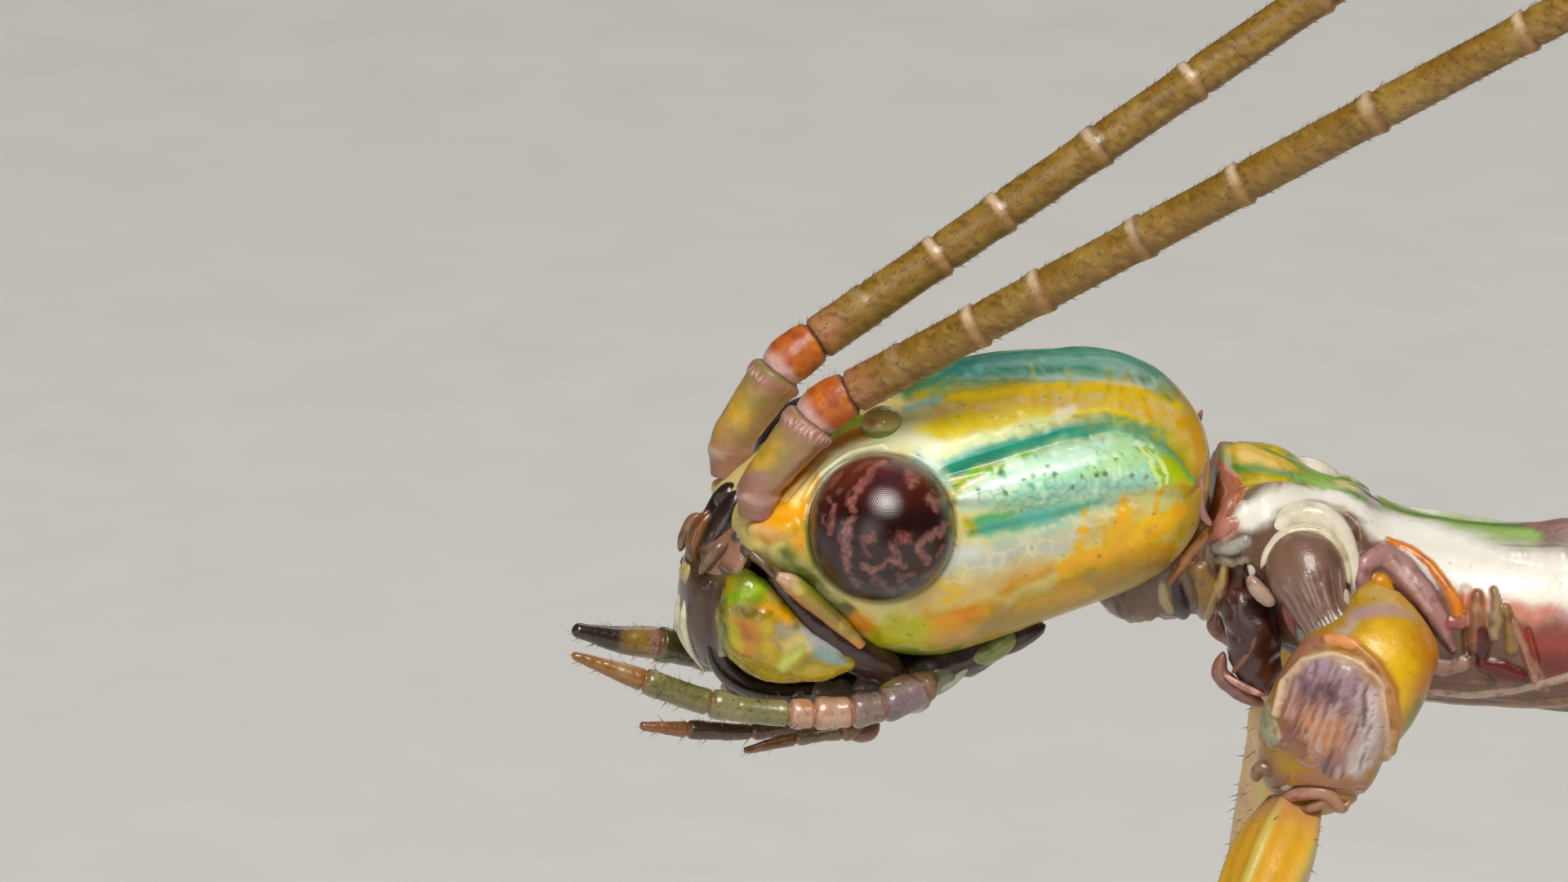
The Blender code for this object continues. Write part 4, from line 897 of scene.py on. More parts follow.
# Broken pale streaks on the outer face of the eye, laid out square to it, in eye radii
eyeStreaks = [
    # front edge, long pale arc
    ("#5b4a45", 0.6, 0.5, [(-0.61, 0.69, 0.022), (-0.76, 0.53, 0.027), (-0.85, 0.34, 0.027),
        (-0.89, 0.12, 0.029), (-0.92, -0.11, 0.027), (-0.87, -0.38, 0.022), (-0.76, -0.66, 0.022)]),
    # front arc
    ("#8f5a52", 0.5, 0.6, [(-0.52, 0.74, 0.027), (-0.63, 0.64, 0.027), (-0.69, 0.54, 0.022)]),
    # arc piece
    ("#7d4b44", 0.5, 0.7, [(-0.16, 0.89, 0.022), (-0.29, 0.82, 0.029), (-0.36, 0.76, 0.022)]),
    ("#a8685f", 0.5, 0.7, [(0.04, 0.88, 0.033), (-0.12, 0.79, 0.044), (-0.18, 0.68, 0.044),
        (-0.27, 0.59, 0.056), (-0.36, 0.46, 0.056), (-0.41, 0.33, 0.044), (-0.38, 0.26, 0.033)]),
    # bar
    ("#99635b", 0.45, 0.5, [(-0.63, 0.31, 0.033), (-0.65, 0.15, 0.044), (-0.68, 0.02, 0.044),
        (-0.69, -0.07, 0.033)]),
    # dot
    ("#8f5a52", 0.6, 0.6, [(-0.77, 0.15, 0.033), (-0.77, 0.09, 0.033)]),
    ("#8f5a52", 0.6, 0.8, [(-0.71, 0.41, 0.022), (-0.69, 0.38, 0.022)]),
    ("#7a4a44", 0.6, 0.8, [(-0.58, 0.48, 0.022), (-0.54, 0.53, 0.022)]),
    # long bar
    ("#99625b", 0.5, 0.6, [(-0.38, 0.15, 0.033), (-0.47, 0.06, 0.044), (-0.47, -0.05, 0.067),
        (-0.52, -0.18, 0.044), (-0.47, -0.29, 0.056), (-0.48, -0.43, 0.044), (-0.44, -0.57, 0.044)]),
    # dot
    ("#8d5a56", 0.7, 0.7, [(-0.38, -0.67, 0.033), (-0.32, -0.74, 0.044)]),
    # patch
    ("#8a5048", 0.7, 0.9, [(-0.21, -0.12, 0.067), (-0.12, -0.16, 0.056)]),
    ("#7a443e", 0.7, 0.9, [(-0.23, -0.25, 0.033), (-0.18, -0.35, 0.038)]),
    # hook
    ("#95605a", 0.5, 0.5, [(-0.23, -0.49, 0.044), (-0.16, -0.56, 0.044), (-0.07, -0.54, 0.033),
        (0.02, -0.48, 0.038)]),
    # low arc
    ("#754a48", 0.6, 0.7, [(-0.12, -0.66, 0.044), (-0.01, -0.73, 0.044), (0.11, -0.82, 0.044),
        (0.17, -0.84, 0.033)]),
    # patch
    ("#8f534a", 0.7, 0.9, [(0.26, -0.11, 0.078), (0.33, -0.13, 0.056)]),
    ("#8c544c", 0.6, 0.9, [(0.13, -0.25, 0.044), (0.16, -0.31, 0.044)]),
    ("#96605a", 0.5, 0.7, [(0.11, -0.41, 0.044), (0.17, -0.43, 0.056), (0.22, -0.47, 0.033)]),
    # dot
    ("#8f5a55", 0.5, 0.6, [(0.28, -0.51, 0.038), (0.33, -0.53, 0.033)]),
    # hook behind
    ("#9a655e", 0.5, 0.45, [(0.73, -0.05, 0.056), (0.64, -0.12, 0.056), (0.53, -0.17, 0.05),
        (0.49, -0.26, 0.044), (0.56, -0.35, 0.044), (0.63, -0.41, 0.044), (0.62, -0.46, 0.033)]),
    # bar behind
    ("#99645c", 0.5, 0.5, [(0.86, 0.05, 0.044), (0.82, -0.02, 0.067), (0.79, -0.07, 0.044)]),
    ("#8a554d", 0.6, 0.6, [(0.82, -0.25, 0.038), (0.79, -0.34, 0.044)]),
    # upper patch behind
    ("#a2685c", 0.6, 0.6, [(0.35, 0.72, 0.056), (0.42, 0.64, 0.067), (0.39, 0.56, 0.033)]),
    ("#a5695c", 0.6, 0.7, [(0.64, 0.44, 0.044), (0.71, 0.35, 0.056), (0.74, 0.26, 0.044)]),
    # thin arc behind
    ("#7d4a44", 0.6, 0.8, [(0.72, -0.56, 0.022), (0.64, -0.62, 0.029), (0.55, -0.65, 0.022)]),
    # broken dots under the arcs
    ("#7d4f4b", 0.6, 0.8, [(0.23, -0.63, 0.033), (0.26, -0.67, 0.033)]),
    ("#7a4d4a", 0.6, 0.8, [(0.33, -0.64, 0.033), (0.44, -0.62, 0.027)]),
    ("#6f4442", 0.6, 0.8, [(0.28, -0.77, 0.033), (0.37, -0.82, 0.033)]),
    # violet sheen
    ("#3a1c2c", 0.9, 0.5, [(0.02, 0.62, 0.122), (0.17, 0.66, 0.122)]),
]


def makeEyeMaterial():
    # Each facet is a clear chitin lens over dark red screening pigment, so the eye looks wet and deep
    material, tree, shader = newMaterial("faceted cornea")
    paint = addNode(tree, "ShaderNodeAttribute", {"attribute_name": "pigment"})
    lens = addNode(tree, "ShaderNodeAttribute", {"attribute_name": "lens"})
    seam = addNode(
        tree, "ShaderNodeMapRange", {
            "From Max": 0.35, "To Min": 0.55, "To Max": 1.0
        }, {"Value": (lens, "Fac")}
    )
    tint = addNode(
        tree, "ShaderNodeVectorMath", {"operation": "SCALE"}, {0: (paint, "Color"), "Scale": (seam, "Result")}
    )
    tree.links.new(tint.outputs[0], shader.inputs["Base Color"])
    shader.inputs["Roughness"].default_value = 0.16
    shader.inputs["Specular IOR Level"].default_value = 0.75
    shader.inputs["Coat Weight"].default_value = 0.22
    shader.inputs["Coat Roughness"].default_value = 0.06
    shader.inputs["IOR"].default_value = 1.42
    return material


def geodesicBall(steps, radius):
    # The twenty faces of an icosahedron, each cut into small triangles and blown up to a ball
    shell = bmesh.new()
    bmesh.ops.create_icosphere(shell, subdivisions=1, radius=1.0)
    corners = [[np.array(v.co) for v in face.verts] for face in shell.faces]
    shell.free()
    points, faces, known = [], [], {}
    for a, b, c in corners:
        index = {}
        for i in range(steps + 1):
            for j in range(steps + 1 - i):
                spot = a + (b - a) * i / steps + (c - a) * j / steps
                spot = spot / np.linalg.norm(spot)
                key = tuple(np.round(spot, 5))
                if key not in known:
                    known[key] = len(points)
                    points.append(spot * radius)
                index[i, j] = known[key]
        for i in range(steps):
            for j in range(steps - i):
                faces.append((index[i, j], index[i + 1, j], index[i, j + 1]))
                if i + j < steps - 1:
                    faces.append((index[i + 1, j], index[i + 1, j + 1], index[i, j + 1]))
    return points, faces


def makeFacetTree():
    # The dual of the triangles is the honeycomb of the eye
    tree = bpy.data.node_groups.new("eye facets", "GeometryNodeTree")
    tree.interface.new_socket("Geometry", in_out="INPUT", socket_type="NodeSocketGeometry")
    material = tree.interface.new_socket("Material", in_out="INPUT", socket_type="NodeSocketMaterial")
    tree.interface.new_socket("Geometry", in_out="OUTPUT", socket_type="NodeSocketGeometry")
    enter = tree.nodes.new("NodeGroupInput")
    leave = tree.nodes.new("NodeGroupOutput")
    dual = addNode(tree, "GeometryNodeDualMesh", None, {"Mesh": (enter, "Geometry")})
    real = addNode(tree, "GeometryNodeRealizeInstances", None, {"Geometry": (dual, "Dual Mesh")})
    dyed = addNode(
        tree, "GeometryNodeSetMaterial", None, {"Geometry": (real, 0), "Material": (enter, "Material")}
    )
    tree.links.new(dyed.outputs[0], leave.inputs[0])
    return tree, material.identifier


def makeEye(side, sign, material):
    tree, socket = facetTree
    points, faces = geodesicBall(eyeLook["facets"], headTurn["eyeRadius"] * mm)
    source = bpy.data.meshes.new("eye source")
    source.from_pydata(points, [], faces)
    holder = bpy.data.objects.new("eye source", source)
    bpy.context.scene.collection.objects.link(holder)
    modifier = holder.modifiers.new("facets", "NODES")
    modifier.node_group = tree
    modifier[socket] = material
    graph = bpy.context.evaluated_depsgraph_get()
    mesh = bpy.data.meshes.new_from_object(holder.evaluated_get(graph))
    bpy.data.objects.remove(holder)
    corners = len(mesh.vertices)
    lens = bmesh.new()
    lens.from_mesh(mesh)
    bmesh.ops.poke(lens, faces=lens.faces)
    bmesh.ops.recalc_face_normals(lens, faces=lens.faces)
    lens.to_mesh(mesh)
    lens.free()
    local = np.zeros(len(mesh.vertices) * 3)
    mesh.vertices.foreach_get("co", local)
    local = local.reshape(-1, 3) / mm
    local *= headTurn["eyeRadius"] / np.linalg.norm(local, axis=1, keepdims=True)
    # Read the left eye's markings on both eyes, across the outer face
    seen = (local * (1, sign, 1) * (1, -1, 1)) @ headAxes.T / headTurn["eyeRadius"]
    lean = math.radians(eyeLook["lean"])
    spots = np.stack([seen[:, 0], seen @ (0, math.sin(lean), math.cos(lean))], axis=1)
    outer = seen @ (0, -math.cos(lean), math.sin(lean))
    paint = np.tile(linearColour("#250604"), (len(local), 1))
    layPaint(paint, "#6a2618", smoothStep(0.05, 0.95, spots[:, 1]) * 0.95)
    layPaint(paint, "#8a3d1e", smoothStep(0.80, 1.0, spots[:, 1]) * 0.7)
    layPaint(paint, "#3d1210", smoothStep(0.15, 0.6, layeredNoise(seen, 0.5, 2, 3)) * 0.5)
    streaked = paint.copy()
    paintStrokes(streaked, seen, spots, eyeStreaks, 60, 0.45)
    speckle = 0.6 + 0.4 * smoothStep(-0.35, 0.35, latticeNoise(seen, 0.035, 12))
    paint += (streaked - paint) * (smoothStep(0.0, 0.12, outer) * speckle)[:, None]
    wild = smoothStep(0.40, 0.60, latticeNoise(seen * (1, 1, 0.3), 0.16, 9)) * smoothStep(0.1, -0.1, outer)
    layPaint(paint, "#8a544c", wild * 0.7)
    layPaint(paint, "#2a1608", smoothStep(0.40, 0.0, outer) * 0.75)
    place = local @ headAxes.T + headToBody(np.array(headTurn["eye"]) * (1, sign, 1)) + neckJoint
    mesh.vertices.foreach_set("co", (place * mm).ravel())
    rgba = np.ones((len(local), 4), np.float32)
    rgba[:, :3] = paint
    mesh.attributes.new("pigment", "FLOAT_COLOR", "POINT").data.foreach_set("color", rgba.ravel())
    domes = (np.arange(len(local)) >= corners).astype(np.float32)
    mesh.attributes.new("lens", "FLOAT", "POINT").data.foreach_set("value", domes)
    mesh.shade_smooth()
    # Normals that fan out over each facet make it a lens, so every highlight splits into a honeycomb
    loops = np.zeros(len(mesh.loops), np.int32)
    mesh.loops.foreach_get("vertex_index", loops)
    fans = loops.reshape(-1, 3)
    middles = place[fans.max(axis=1)][:, None, :]
    centre = place[corners:].mean(axis=0)
    outward = (middles - centre) / headTurn["eyeRadius"]
    fanned = place[fans] - middles
    fanned -= (fanned * outward).sum(axis=2, keepdims=True) * outward
    fanned /= np.maximum(np.linalg.norm(fanned, axis=2, keepdims=True), 1e-6)
    fanned = outward + math.tan(math.radians(eyeLook["dome"])) * fanned
    mesh.normals_split_custom_set(
        (fanned / np.linalg.norm(fanned, axis=2, keepdims=True)).reshape(-1, 3).tolist()
    )
    mesh.name = f"eye{side}"
    eye = bpy.data.objects.new(f"eye{side}", mesh)
    bpy.context.scene.collection.objects.link(eye)
    settle(eye, "eye", None, f"eye_{side.lower()}")


feelerLook = {
    "length": 72.0,
    "rise": {"Left": 31.7, "Right": 32.6},
    "spread": 12.0,
    "droop": 46.0,
    "start": {"Left": (-4.44, -0.87, 2.22), "Right": (-4.38, 0.875, 2.34)},
    "joints": (0.79, 1.88, 2.80, 4.22, 5.63, 7.50, 9.62, 11.90),
    "stepFar": 2.45,
    "girth": ((0, 2, 8, 40, 72), (0.275, 0.255, 0.245, 0.17, 0.11)),
}


def feelerPath(side, sign, steps):
    look = feelerLook
    start = headToBody(look["start"][side])
    spread = math.radians(look["spread"] * sign)
    along = (np.arange(steps) + 0.5) / steps
    slope = np.radians(look["rise"][side] - look["droop"] * np.maximum(0.0, along - 0.16))
    step = np.stack(
        [np.cos(slope) * math.cos(spread), np.cos(slope) * math.sin(spread), np.sin(slope)], axis=1
    )
    path = np.vstack([start, start + np.cumsum(step * look["length"] / steps, axis=0)])
    return path, np.linspace(0, look["length"], steps + 1)


def makeFeeler(side, sign, material):
    look, count = feelerLook, 22
    joints = list(look["joints"])
    while joints[-1] + look["stepFar"] < look["length"] - 0.6:
        joints.append(joints[-1] + look["stepFar"])
    path, place = feelerPath(side, sign, 1300)
    ends = np.array([*joints, look["length"]])
    starts = np.array([0.0, *joints])
    k = np.clip(np.searchsorted(ends, place), 0, len(ends) - 1)
    toEnd, fromStart = ends[k] - place, place - starts[k]
    faint = np.where(k == 0, 0.25, 1.0)
    girth = np.interp(place, *look["girth"])
    girth *= 1 + faint * 0.13 * np.exp(
        -(((toEnd - 0.02) / 0.15) ** 2)
    ) - faint * 0.09 * np.exp(-((fromStart / 0.05) ** 2))
    girth[0] *= 0.80
    girth[-6:] *= (0.97, 0.9, 0.8, 0.66, 0.45, 0.2)
    grid = sweptGrid(path, girth, girth, count)
    flat = grid.reshape(-1, 3)
    toEnd, fromStart, place, faint = (np.repeat(a, count) for a in (toEnd, fromStart, place, faint))
    over = np.tile(np.cos(np.linspace(0, 2 * math.pi, count, endpoint=False)), len(path))
    paint = np.tile(linearColour("#8a6618"), (len(flat), 1))
    layPaint(paint, "#a88a3c", smoothStep(-0.1, 0.5, layeredNoise(flat, 0.45, 3, 3)) * 0.55)
    layPaint(paint, "#6a4a12", smoothStep(0.0, -0.9, over) * 0.55)
    layPaint(paint, "#b0724e", smoothStep(0.7, 0.0, place) * 0.8)
    layPaint(paint, "#54380f", smoothStep(8, 60, place) * 0.5)
    stubble = smoothStep(0.25, 0.6, latticeNoise(flat, 0.022, 8))
    layPaint(paint, "#4c3410", stubble * 0.55)
    layPaint(paint, "#c2a258", smoothStep(0.35, 0.7, latticeNoise(flat, 0.03, 9)) * 0.35)
    # The smooth bare collar at the end of each joint, and the dark line past it
    collar = smoothStep(0.15, 0.11, toEnd + 0.02 * layeredNoise(flat, 0.08, 2, 5)) * faint
    layPaint(paint, "#a57c4c", collar * 0.9)
    # The paler top of each collar is a painted highlight
    layPaint(paint, "#e0c8a4", collar * smoothStep(0.15, 0.8, over) * 0.75)
    layPaint(paint, "#9a6a20", collar * smoothStep(-0.2, -0.8, over) * 0.8)
    layPaint(paint, "#3b240c", np.exp(-((toEnd / 0.020) ** 2)) * faint * 0.9)
    layPaint(paint, "#6b4410", np.exp(-((fromStart / 0.04) ** 2)) * faint * 0.6)
    hairy = (1 - collar) * np.interp(place, (0, 12, 22), (1.0, 1.0, 0.35))
    values = {"pigment": paint, "hairy": hairy, "wax": collar}
    rod = gridMesh(f"feeler{side}", grid, values)
    nodes = [f"antenna_{side.lower()}_{part}" for part in ("inner", "middle", "outer")]
    settle(rod, "antenna", material, *nodes)
    return rod


feelerRoot = {
    # back, side, up of the middle line of the two thick first joints
    "Left": [
        (-5.72, 0.71, 0.82),
        (-5.63, 0.72, 1.20),
        (-5.42, 0.745, 1.44),
        (-5.20, 0.77, 1.67),
        (-5.00, 0.795, 1.88),
        (-4.85, 0.81, 2.02),
        (-4.66, 0.84, 2.13),
        (-4.44, 0.87, 2.22),
    ],
    "Right": [
        (-5.65, 0.76, 0.84),
        (-5.53, 0.80, 1.34),
        (-5.30, 0.80, 1.61),
        (-5.08, 0.80, 1.85),
        (-4.92, 0.80, 2.02),
        (-4.78, 0.81, 2.15),
        (-4.59, 0.84, 2.25),
        (-4.38, 0.875, 2.34),
    ],
    # share of the length, radius: root knob, waist, flared rim, pinched joint, barrel, rim
    "girth": (
        (0, 0.10, 0.15, 0.20, 0.30, 0.45, 0.58, 0.66, 0.69, 0.705, 0.73, 0.80, 0.90, 0.97, 0.985, 1),
        (
            0.22, 0.25, 0.28, 0.255, 0.265, 0.29, 0.31, 0.345, 0.33, 0.25, 0.275, 0.305, 0.30, 0.285, 0.26,
            0.20
        ),
    ),
}


def makeFeelerRoot(side, sign, material):
    rows, count = 150, 90
    path = headToBody(smoothPath(np.array(feelerRoot[side]) * (1, sign, 1), rows))
    t = np.linspace(0, 1, rows)
    girth = np.interp(t, *feelerRoot["girth"])
    girth = np.convolve(np.pad(girth, 2, "edge"), (0.1, 0.2, 0.4, 0.2, 0.1), "valid")
    grid = sweptGrid(path, girth, girth, count)
    flat = grid.reshape(-1, 3)
    t = np.repeat(t, count)
    # Round the joint from its upper edge (0) over its outer face (pi / 2) to its lower edge (pi)
    turn = np.tile(np.linspace(0, 2 * math.pi, count, endpoint=False), rows) * -sign
    upper, outer = np.cos(turn), np.sin(turn)
    noise = layeredNoise(flat, 0.30, 3, 15)
    rim = np.exp(-(((t - 0.655 + 0.03 * upper) / (0.034 - 0.012 * upper)) ** 2))
    stria = 0.5 + 0.5 * np.sin(turn * 30 + 9 * layeredNoise(flat, 0.16, 3, 6))
    relief = 0.014 * noise + 0.006 * layeredNoise(flat, 0.08, 2, 5) + rim * 0.014 * stria
    relief += 0.030 * np.exp(
        -(((turn - 2.0) / 0.30) ** 2)
    ) * smoothStep(0.12, 0.3, t) * smoothStep(0.66, 0.5, t)
    grid = reliefOut(grid, relief)
    paint = np.tile(linearColour("#a17a58"), (len(flat), 1))
    layPaint(paint, "#8a8a3c", smoothStep(-0.2, 0.4, layeredNoise(flat, 0.35, 3, 35)) * 0.45)
    layPaint(paint, "#cda31c", smoothStep(0.2, 0.9, upper + 0.5 * noise) * smoothStep(0.62, 0.35, t) * 0.85)
    layPaint(paint, "#ad8272", smoothStep(0.10, 0.6, -noise + 0.3 * outer) * smoothStep(0.7, 0.2, t) * 0.7)
    layPaint(paint, "#74762c", smoothStep(0.1, 0.6, layeredNoise(flat, 0.4, 2, 33)) * 0.5)
    layPaint(paint, "#cf7420", smoothStep(-0.50, -0.85, upper + 0.2 * noise) * 0.9)
    # Lilac white band low on the inner side: a painted highlight
    layPaint(paint, "#d8c8cc", np.exp(-(((turn + 2.2) / 0.35) ** 2)) * smoothStep(0.65, 0.3, t) * 0.7)
    layPaint(paint, "#96665a", smoothStep(0.36, 0.12, t + 0.08 * noise) * 0.85)
    layPaint(
        paint, "#d9bfb0",
        np.exp(-(((t - 0.13 - 0.06 * noise) / 0.03) ** 2)) * smoothStep(-0.2, 0.5, noise + 0.4 * outer) * 0.7
    )
    layPaint(paint, "#b56f62", rim * 0.75)
    layPaint(paint, "#ecd0c8", rim * smoothStep(0.2, 0.9, stria) * smoothStep(-0.9, 0.1, outer) * 0.7)
    layPaint(paint, "#4a2a1c", np.exp(-(((t - 0.705) / 0.010) ** 2)) * 0.8)
    pedicel = smoothStep(0.705, 0.72, t)
    layPaint(paint, "#bd6218", pedicel)
    layPaint(paint, "#d98a20", pedicel * smoothStep(0.0, 0.5, layeredNoise(flat, 0.18, 3, 16)) * 0.8)
    layPaint(paint, "#a0400f", pedicel * smoothStep(0.05, 0.5, layeredNoise(flat, 0.13, 3, 19)) * 0.75)
    layPaint(paint, "#d9b6b4", pedicel * smoothStep(0.80, 0.72, t + 0.04 * noise) * 0.9)
    layPaint(paint, "#3a241c", smoothStep(0.955, 0.975, t) * 0.9)
    fringe = np.exp(-(((t - 0.955) / 0.018) ** 2)) + 0.10 * pedicel
    root = gridMesh(f"feelerRoot{side}", grid, {"pigment": paint, "hairy": fringe})
    settle(root, "antenna", material, f"antenna_base_{side.lower()}")
    return root


# Three simple eyes on the crown between the feelers: back, side, up, radius
simpleEyes = {
    "Left": (-4.02, -0.55, 1.64, 0.26),
    "Right": (-4.02, 0.55, 1.70, 0.26),
    "Middle": (-4.62, 0.0, 1.52, 0.20),
}


def makeSimpleEyes():
    # Clear lenses over a yellow cup: translucent, wet and paler at the rim
    material, tree, shader = newMaterial("amber ocellus lens")
    paint = addNode(tree, "ShaderNodeAttribute", {"attribute_name": "pigment"})
    tree.links.new(paint.outputs["Color"], shader.inputs["Base Color"])
    shader.inputs["Roughness"].default_value = 0.14
    shader.inputs["Coat Weight"].default_value = 0.5
    shader.inputs["Subsurface Weight"].default_value = 0.5
    shader.inputs["Subsurface Scale"].default_value = 0.12 * mm
    for name, (a, b, c, r) in simpleEyes.items():
        turn = np.linspace(0, 2 * math.pi, 64, endpoint=False)
        rise = np.linspace(0.02, math.pi - 0.02, 40)
        ring = np.sin(rise)[:, None] * r
        ball = np.stack(
            [ring * np.cos(turn), ring * np.sin(turn), np.outer(np.cos(rise), np.ones(64)) * r * 0.85],
            axis=-1
        )
        flat = ball.reshape(-1, 3)
        paint = np.tile(linearColour("#cbb45c"), (len(flat), 1))
        layPaint(paint, "#94782a", smoothStep(0.0, 0.5, layeredNoise(flat, 0.12, 3, 3)) * 0.6)
        layPaint(paint, "#c9b878", smoothStep(0.45, 0.1, flat[:, 2] / r) * 0.7)
        layPaint(paint, "#5f7a22", smoothStep(0.15, -0.1, flat[:, 2] / r) * 0.8)
        ocellus = gridMesh(f"ocellus{name}", headToBody(ball + (a, b, c)), {"pigment": paint})
        settle(ocellus, "eye", material)


def ringedGrid(stations, top, bottom, side, halfWidth, count, power=2.3, sign=1, skew=0.0):
    # Sections square to the head's length; every value is an array over the stations
    angle = np.linspace(0, 2 * math.pi, count, endpoint=False)
    c, s = np.cos(angle), np.sin(angle)
    c, s = np.sign(c) * np.abs(c) ** (2 / power), np.sign(s) * np.abs(s) ** (2 / power)
    grid = np.zeros((len(stations), count, 3))
    middle, half = (top + bottom) / 2, (top - bottom) / 2
    grid[..., 2] = middle[:, None] + half[:, None] * c
    grid[..., 1] = (side[:, None] + halfWidth[:, None] * s + skew * half[:, None] * c) * sign
    grid[..., 0] = np.asarray(stations)[:, None]
    return grid


jawLook = {
    # station, top, bottom, middle of the width, half width
    "rows": [
        (-4.70, -1.12, -1.20, 0.90, 0.10),
        (-4.78, -1.02, -1.27, 0.88, 0.20),
        (-4.95, -0.84, -1.33, 0.84, 0.30),
        (-5.20, -0.60, -1.36, 0.80, 0.37),
        (-5.50, -0.24, -1.35, 0.76, 0.41),
        (-5.75, 0.05, -1.31, 0.72, 0.42),
        (-5.98, 0.16, -1.20, 0.68, 0.40),
        (-6.15, 0.08, -1.05, 0.66, 0.35),
        (-6.28, -0.16, -0.84, 0.64, 0.26),
        (-6.34, -0.38, -0.62, 0.64, 0.12),
    ]
}


# The creases of the jaw run up and back
creaseTurn = np.array([[0.8, 0, -0.6], [0, 1, 0], [0.6, 0, 0.8]])

jawStrokes = [
    # dark olive shoulder
    ("#55601a", 0.7, 0.3, [(-5.78, -0.16, 0.083), (-5.55, -0.15, 0.094), (-5.37, -0.25, 0.073)]),
    # leaf green
    ("#76960e", 0.7, 0.4, [(-5.87, -0.41, 0.094), (-5.68, -0.36, 0.125), (-5.47, -0.37, 0.094)]),
    # bright green core
    ("#94b018", 0.7, 0.4, [(-5.74, -0.37, 0.062), (-5.55, -0.34, 0.062)]),
    # brown olive
    ("#6e6212", 0.6, 0.5, [(-5.81, -0.57, 0.052), (-5.61, -0.65, 0.062), (-5.42, -0.74, 0.042)]),
    # tan beside the green
    ("#b7a050", 0.8, 0.3, [(-5.4, -0.41, 0.073), (-5.34, -0.61, 0.062)]),
    # orange tan ridge
    ("#cf9a3c", 0.6, 0.3, [(-5.45, -0.61, 0.062), (-5.29, -0.72, 0.073), (-5.14, -0.85, 0.052)]),
    # yellow field
    ("#b89e0c", 0.8, 0.3, [(-5.87, -0.77, 0.094), (-5.78, -1.01, 0.104), (-5.71, -1.25, 0.104)]),
    # orange patches
    ("#b87c10", 0.7, 0.6, [(-5.81, -0.7, 0.052), (-5.68, -0.83, 0.094), (-5.63, -1, 0.094),
        (-5.7, -1.11, 0.062)]),
    # deep orange
    ("#a8640e", 0.7, 0.7, [(-5.77, -0.76, 0.042), (-5.72, -0.94, 0.042)]),
    # yellow middle
    ("#bfa41a", 0.8, 0.4, [(-5.48, -0.87, 0.083), (-5.4, -1.14, 0.104), (-5.45, -1.37, 0.104)]),
    # tan middle
    ("#b09860", 0.8, 0.3, [(-5.34, -1.02, 0.083), (-5.19, -1.12, 0.083), (-5.06, -0.91, 0.073)]),
    # grey patch
    ("#a09680", 0.7, 0.2, [(-5.27, -0.89, 0.052), (-5.15, -0.98, 0.062)]),
    # pale fold
    ("#cdbf78", 0.8, 0.4, [(-5.14, -1.16, 0.094), (-4.98, -1.07, 0.083), (-4.93, -1.23, 0.062)]),
    # lilac white
    ("#babac0", 0.8, 0.2, [(-4.98, -1.01, 0.052), (-4.82, -1.18, 0.083), (-4.63, -1.34, 0.073)]),
    # teal
    ("#86a8a4", 0.8, 0.2, [(-4.82, -1.35, 0.062), (-4.66, -1.44, 0.062), (-4.47, -1.49, 0.042)]),
    # pale yellow green
    ("#c3cc6a", 0.6, 0.5, [(-5.27, -1.42, 0.062), (-5.16, -1.33, 0.073), (-5.06, -1.27, 0.052)]),
    # yellow underside
    ("#c2a60e", 0.7, 0.3, [(-5.5, -1.52, 0.062), (-5.03, -1.61, 0.083), (-4.61, -1.62, 0.073),
        (-4.34, -1.56, 0.042)]),
    # yellow green front edge
    ("#a6a410", 0.8, 0.4, [(-5.94, -0.79, 0.062), (-5.94, -1.07, 0.062), (-5.88, -1.29, 0.062)]),
    # brown front edge
    ("#5c5a14", 0.8, 0.3, [(-6, -0.46, 0.042), (-6.01, -0.93, 0.042), (-5.95, -1.26, 0.042)]),
    # brown lower edge
    ("#6f5a10", 0.8, 0.3, [(-5.81, -1.47, 0.042), (-5.55, -1.64, 0.042), (-5.08, -1.74, 0.042),
        (-4.61, -1.76, 0.042)]),
]


def makeJaw(side, sign, material):
    rows = np.array(jawLook["rows"])
    t = np.linspace(0, 1, 130)
    t = 0.5 - 0.5 * np.cos(math.pi * t)
    station = rows[0, 0] + (rows[-1, 0] - rows[0, 0]) * t
    top, bottom, middle, width = curveTable(jawLook["rows"], station)
    grid = ringedGrid(station, top, bottom, middle, np.maximum(width, 0.05), 180, 2.2, sign)
    flat = grid.reshape(-1, 3)
    mirrored = flat * (1, sign, 1)
    # Rumpled, with a swelling low in front and wavy folds towards the hinge
    relief = 0.035 * layeredNoise(mirrored, 0.38, 3, 11) + 0.012 * layeredNoise(mirrored, 0.12, 2, 17)
    outer = smoothStep(0.8, 1.05, mirrored[:, 1])
    folds = np.sin((mirrored[:, 0] * 3.2 + mirrored[:, 2] * 5.5 + 0.8 * latticeNoise(mirrored, 0.5, 3)) * 2.6)
    relief += 0.014 * folds * outer
    # Fine creases running up from the cutting edge break the shine into short strokes
    creases = layeredNoise((mirrored @ creaseTurn) * (1, 1, 0.22), 0.07, 2, 41)
    relief += 0.009 * creases * smoothStep(-5.2, -5.6, mirrored[:, 0])
    grid = reliefOut(grid, relief)
    paint = np.tile(linearColour("#988410"), (len(flat), 1))
    paintStrokes(paint, mirrored, cheekSpots(mirrored), jawStrokes, 50, 0.8)
    layPaint(paint, "#4c5a16", smoothStep(0.45, 0.75, layeredNoise(mirrored, 0.14, 2, 37)) * 0.5)
    layPaint(paint, "#2c1c10", smoothStep(0.55, 0.30, mirrored[:, 1]) * 0.9)
    paint = vivid(paint, 1.15)
    jaw = gridMesh(f"jaw{side}", headToBody(grid), {"pigment": paint})
    settle(jaw, "mouthparts", material, f"jaw_{side.lower()}")


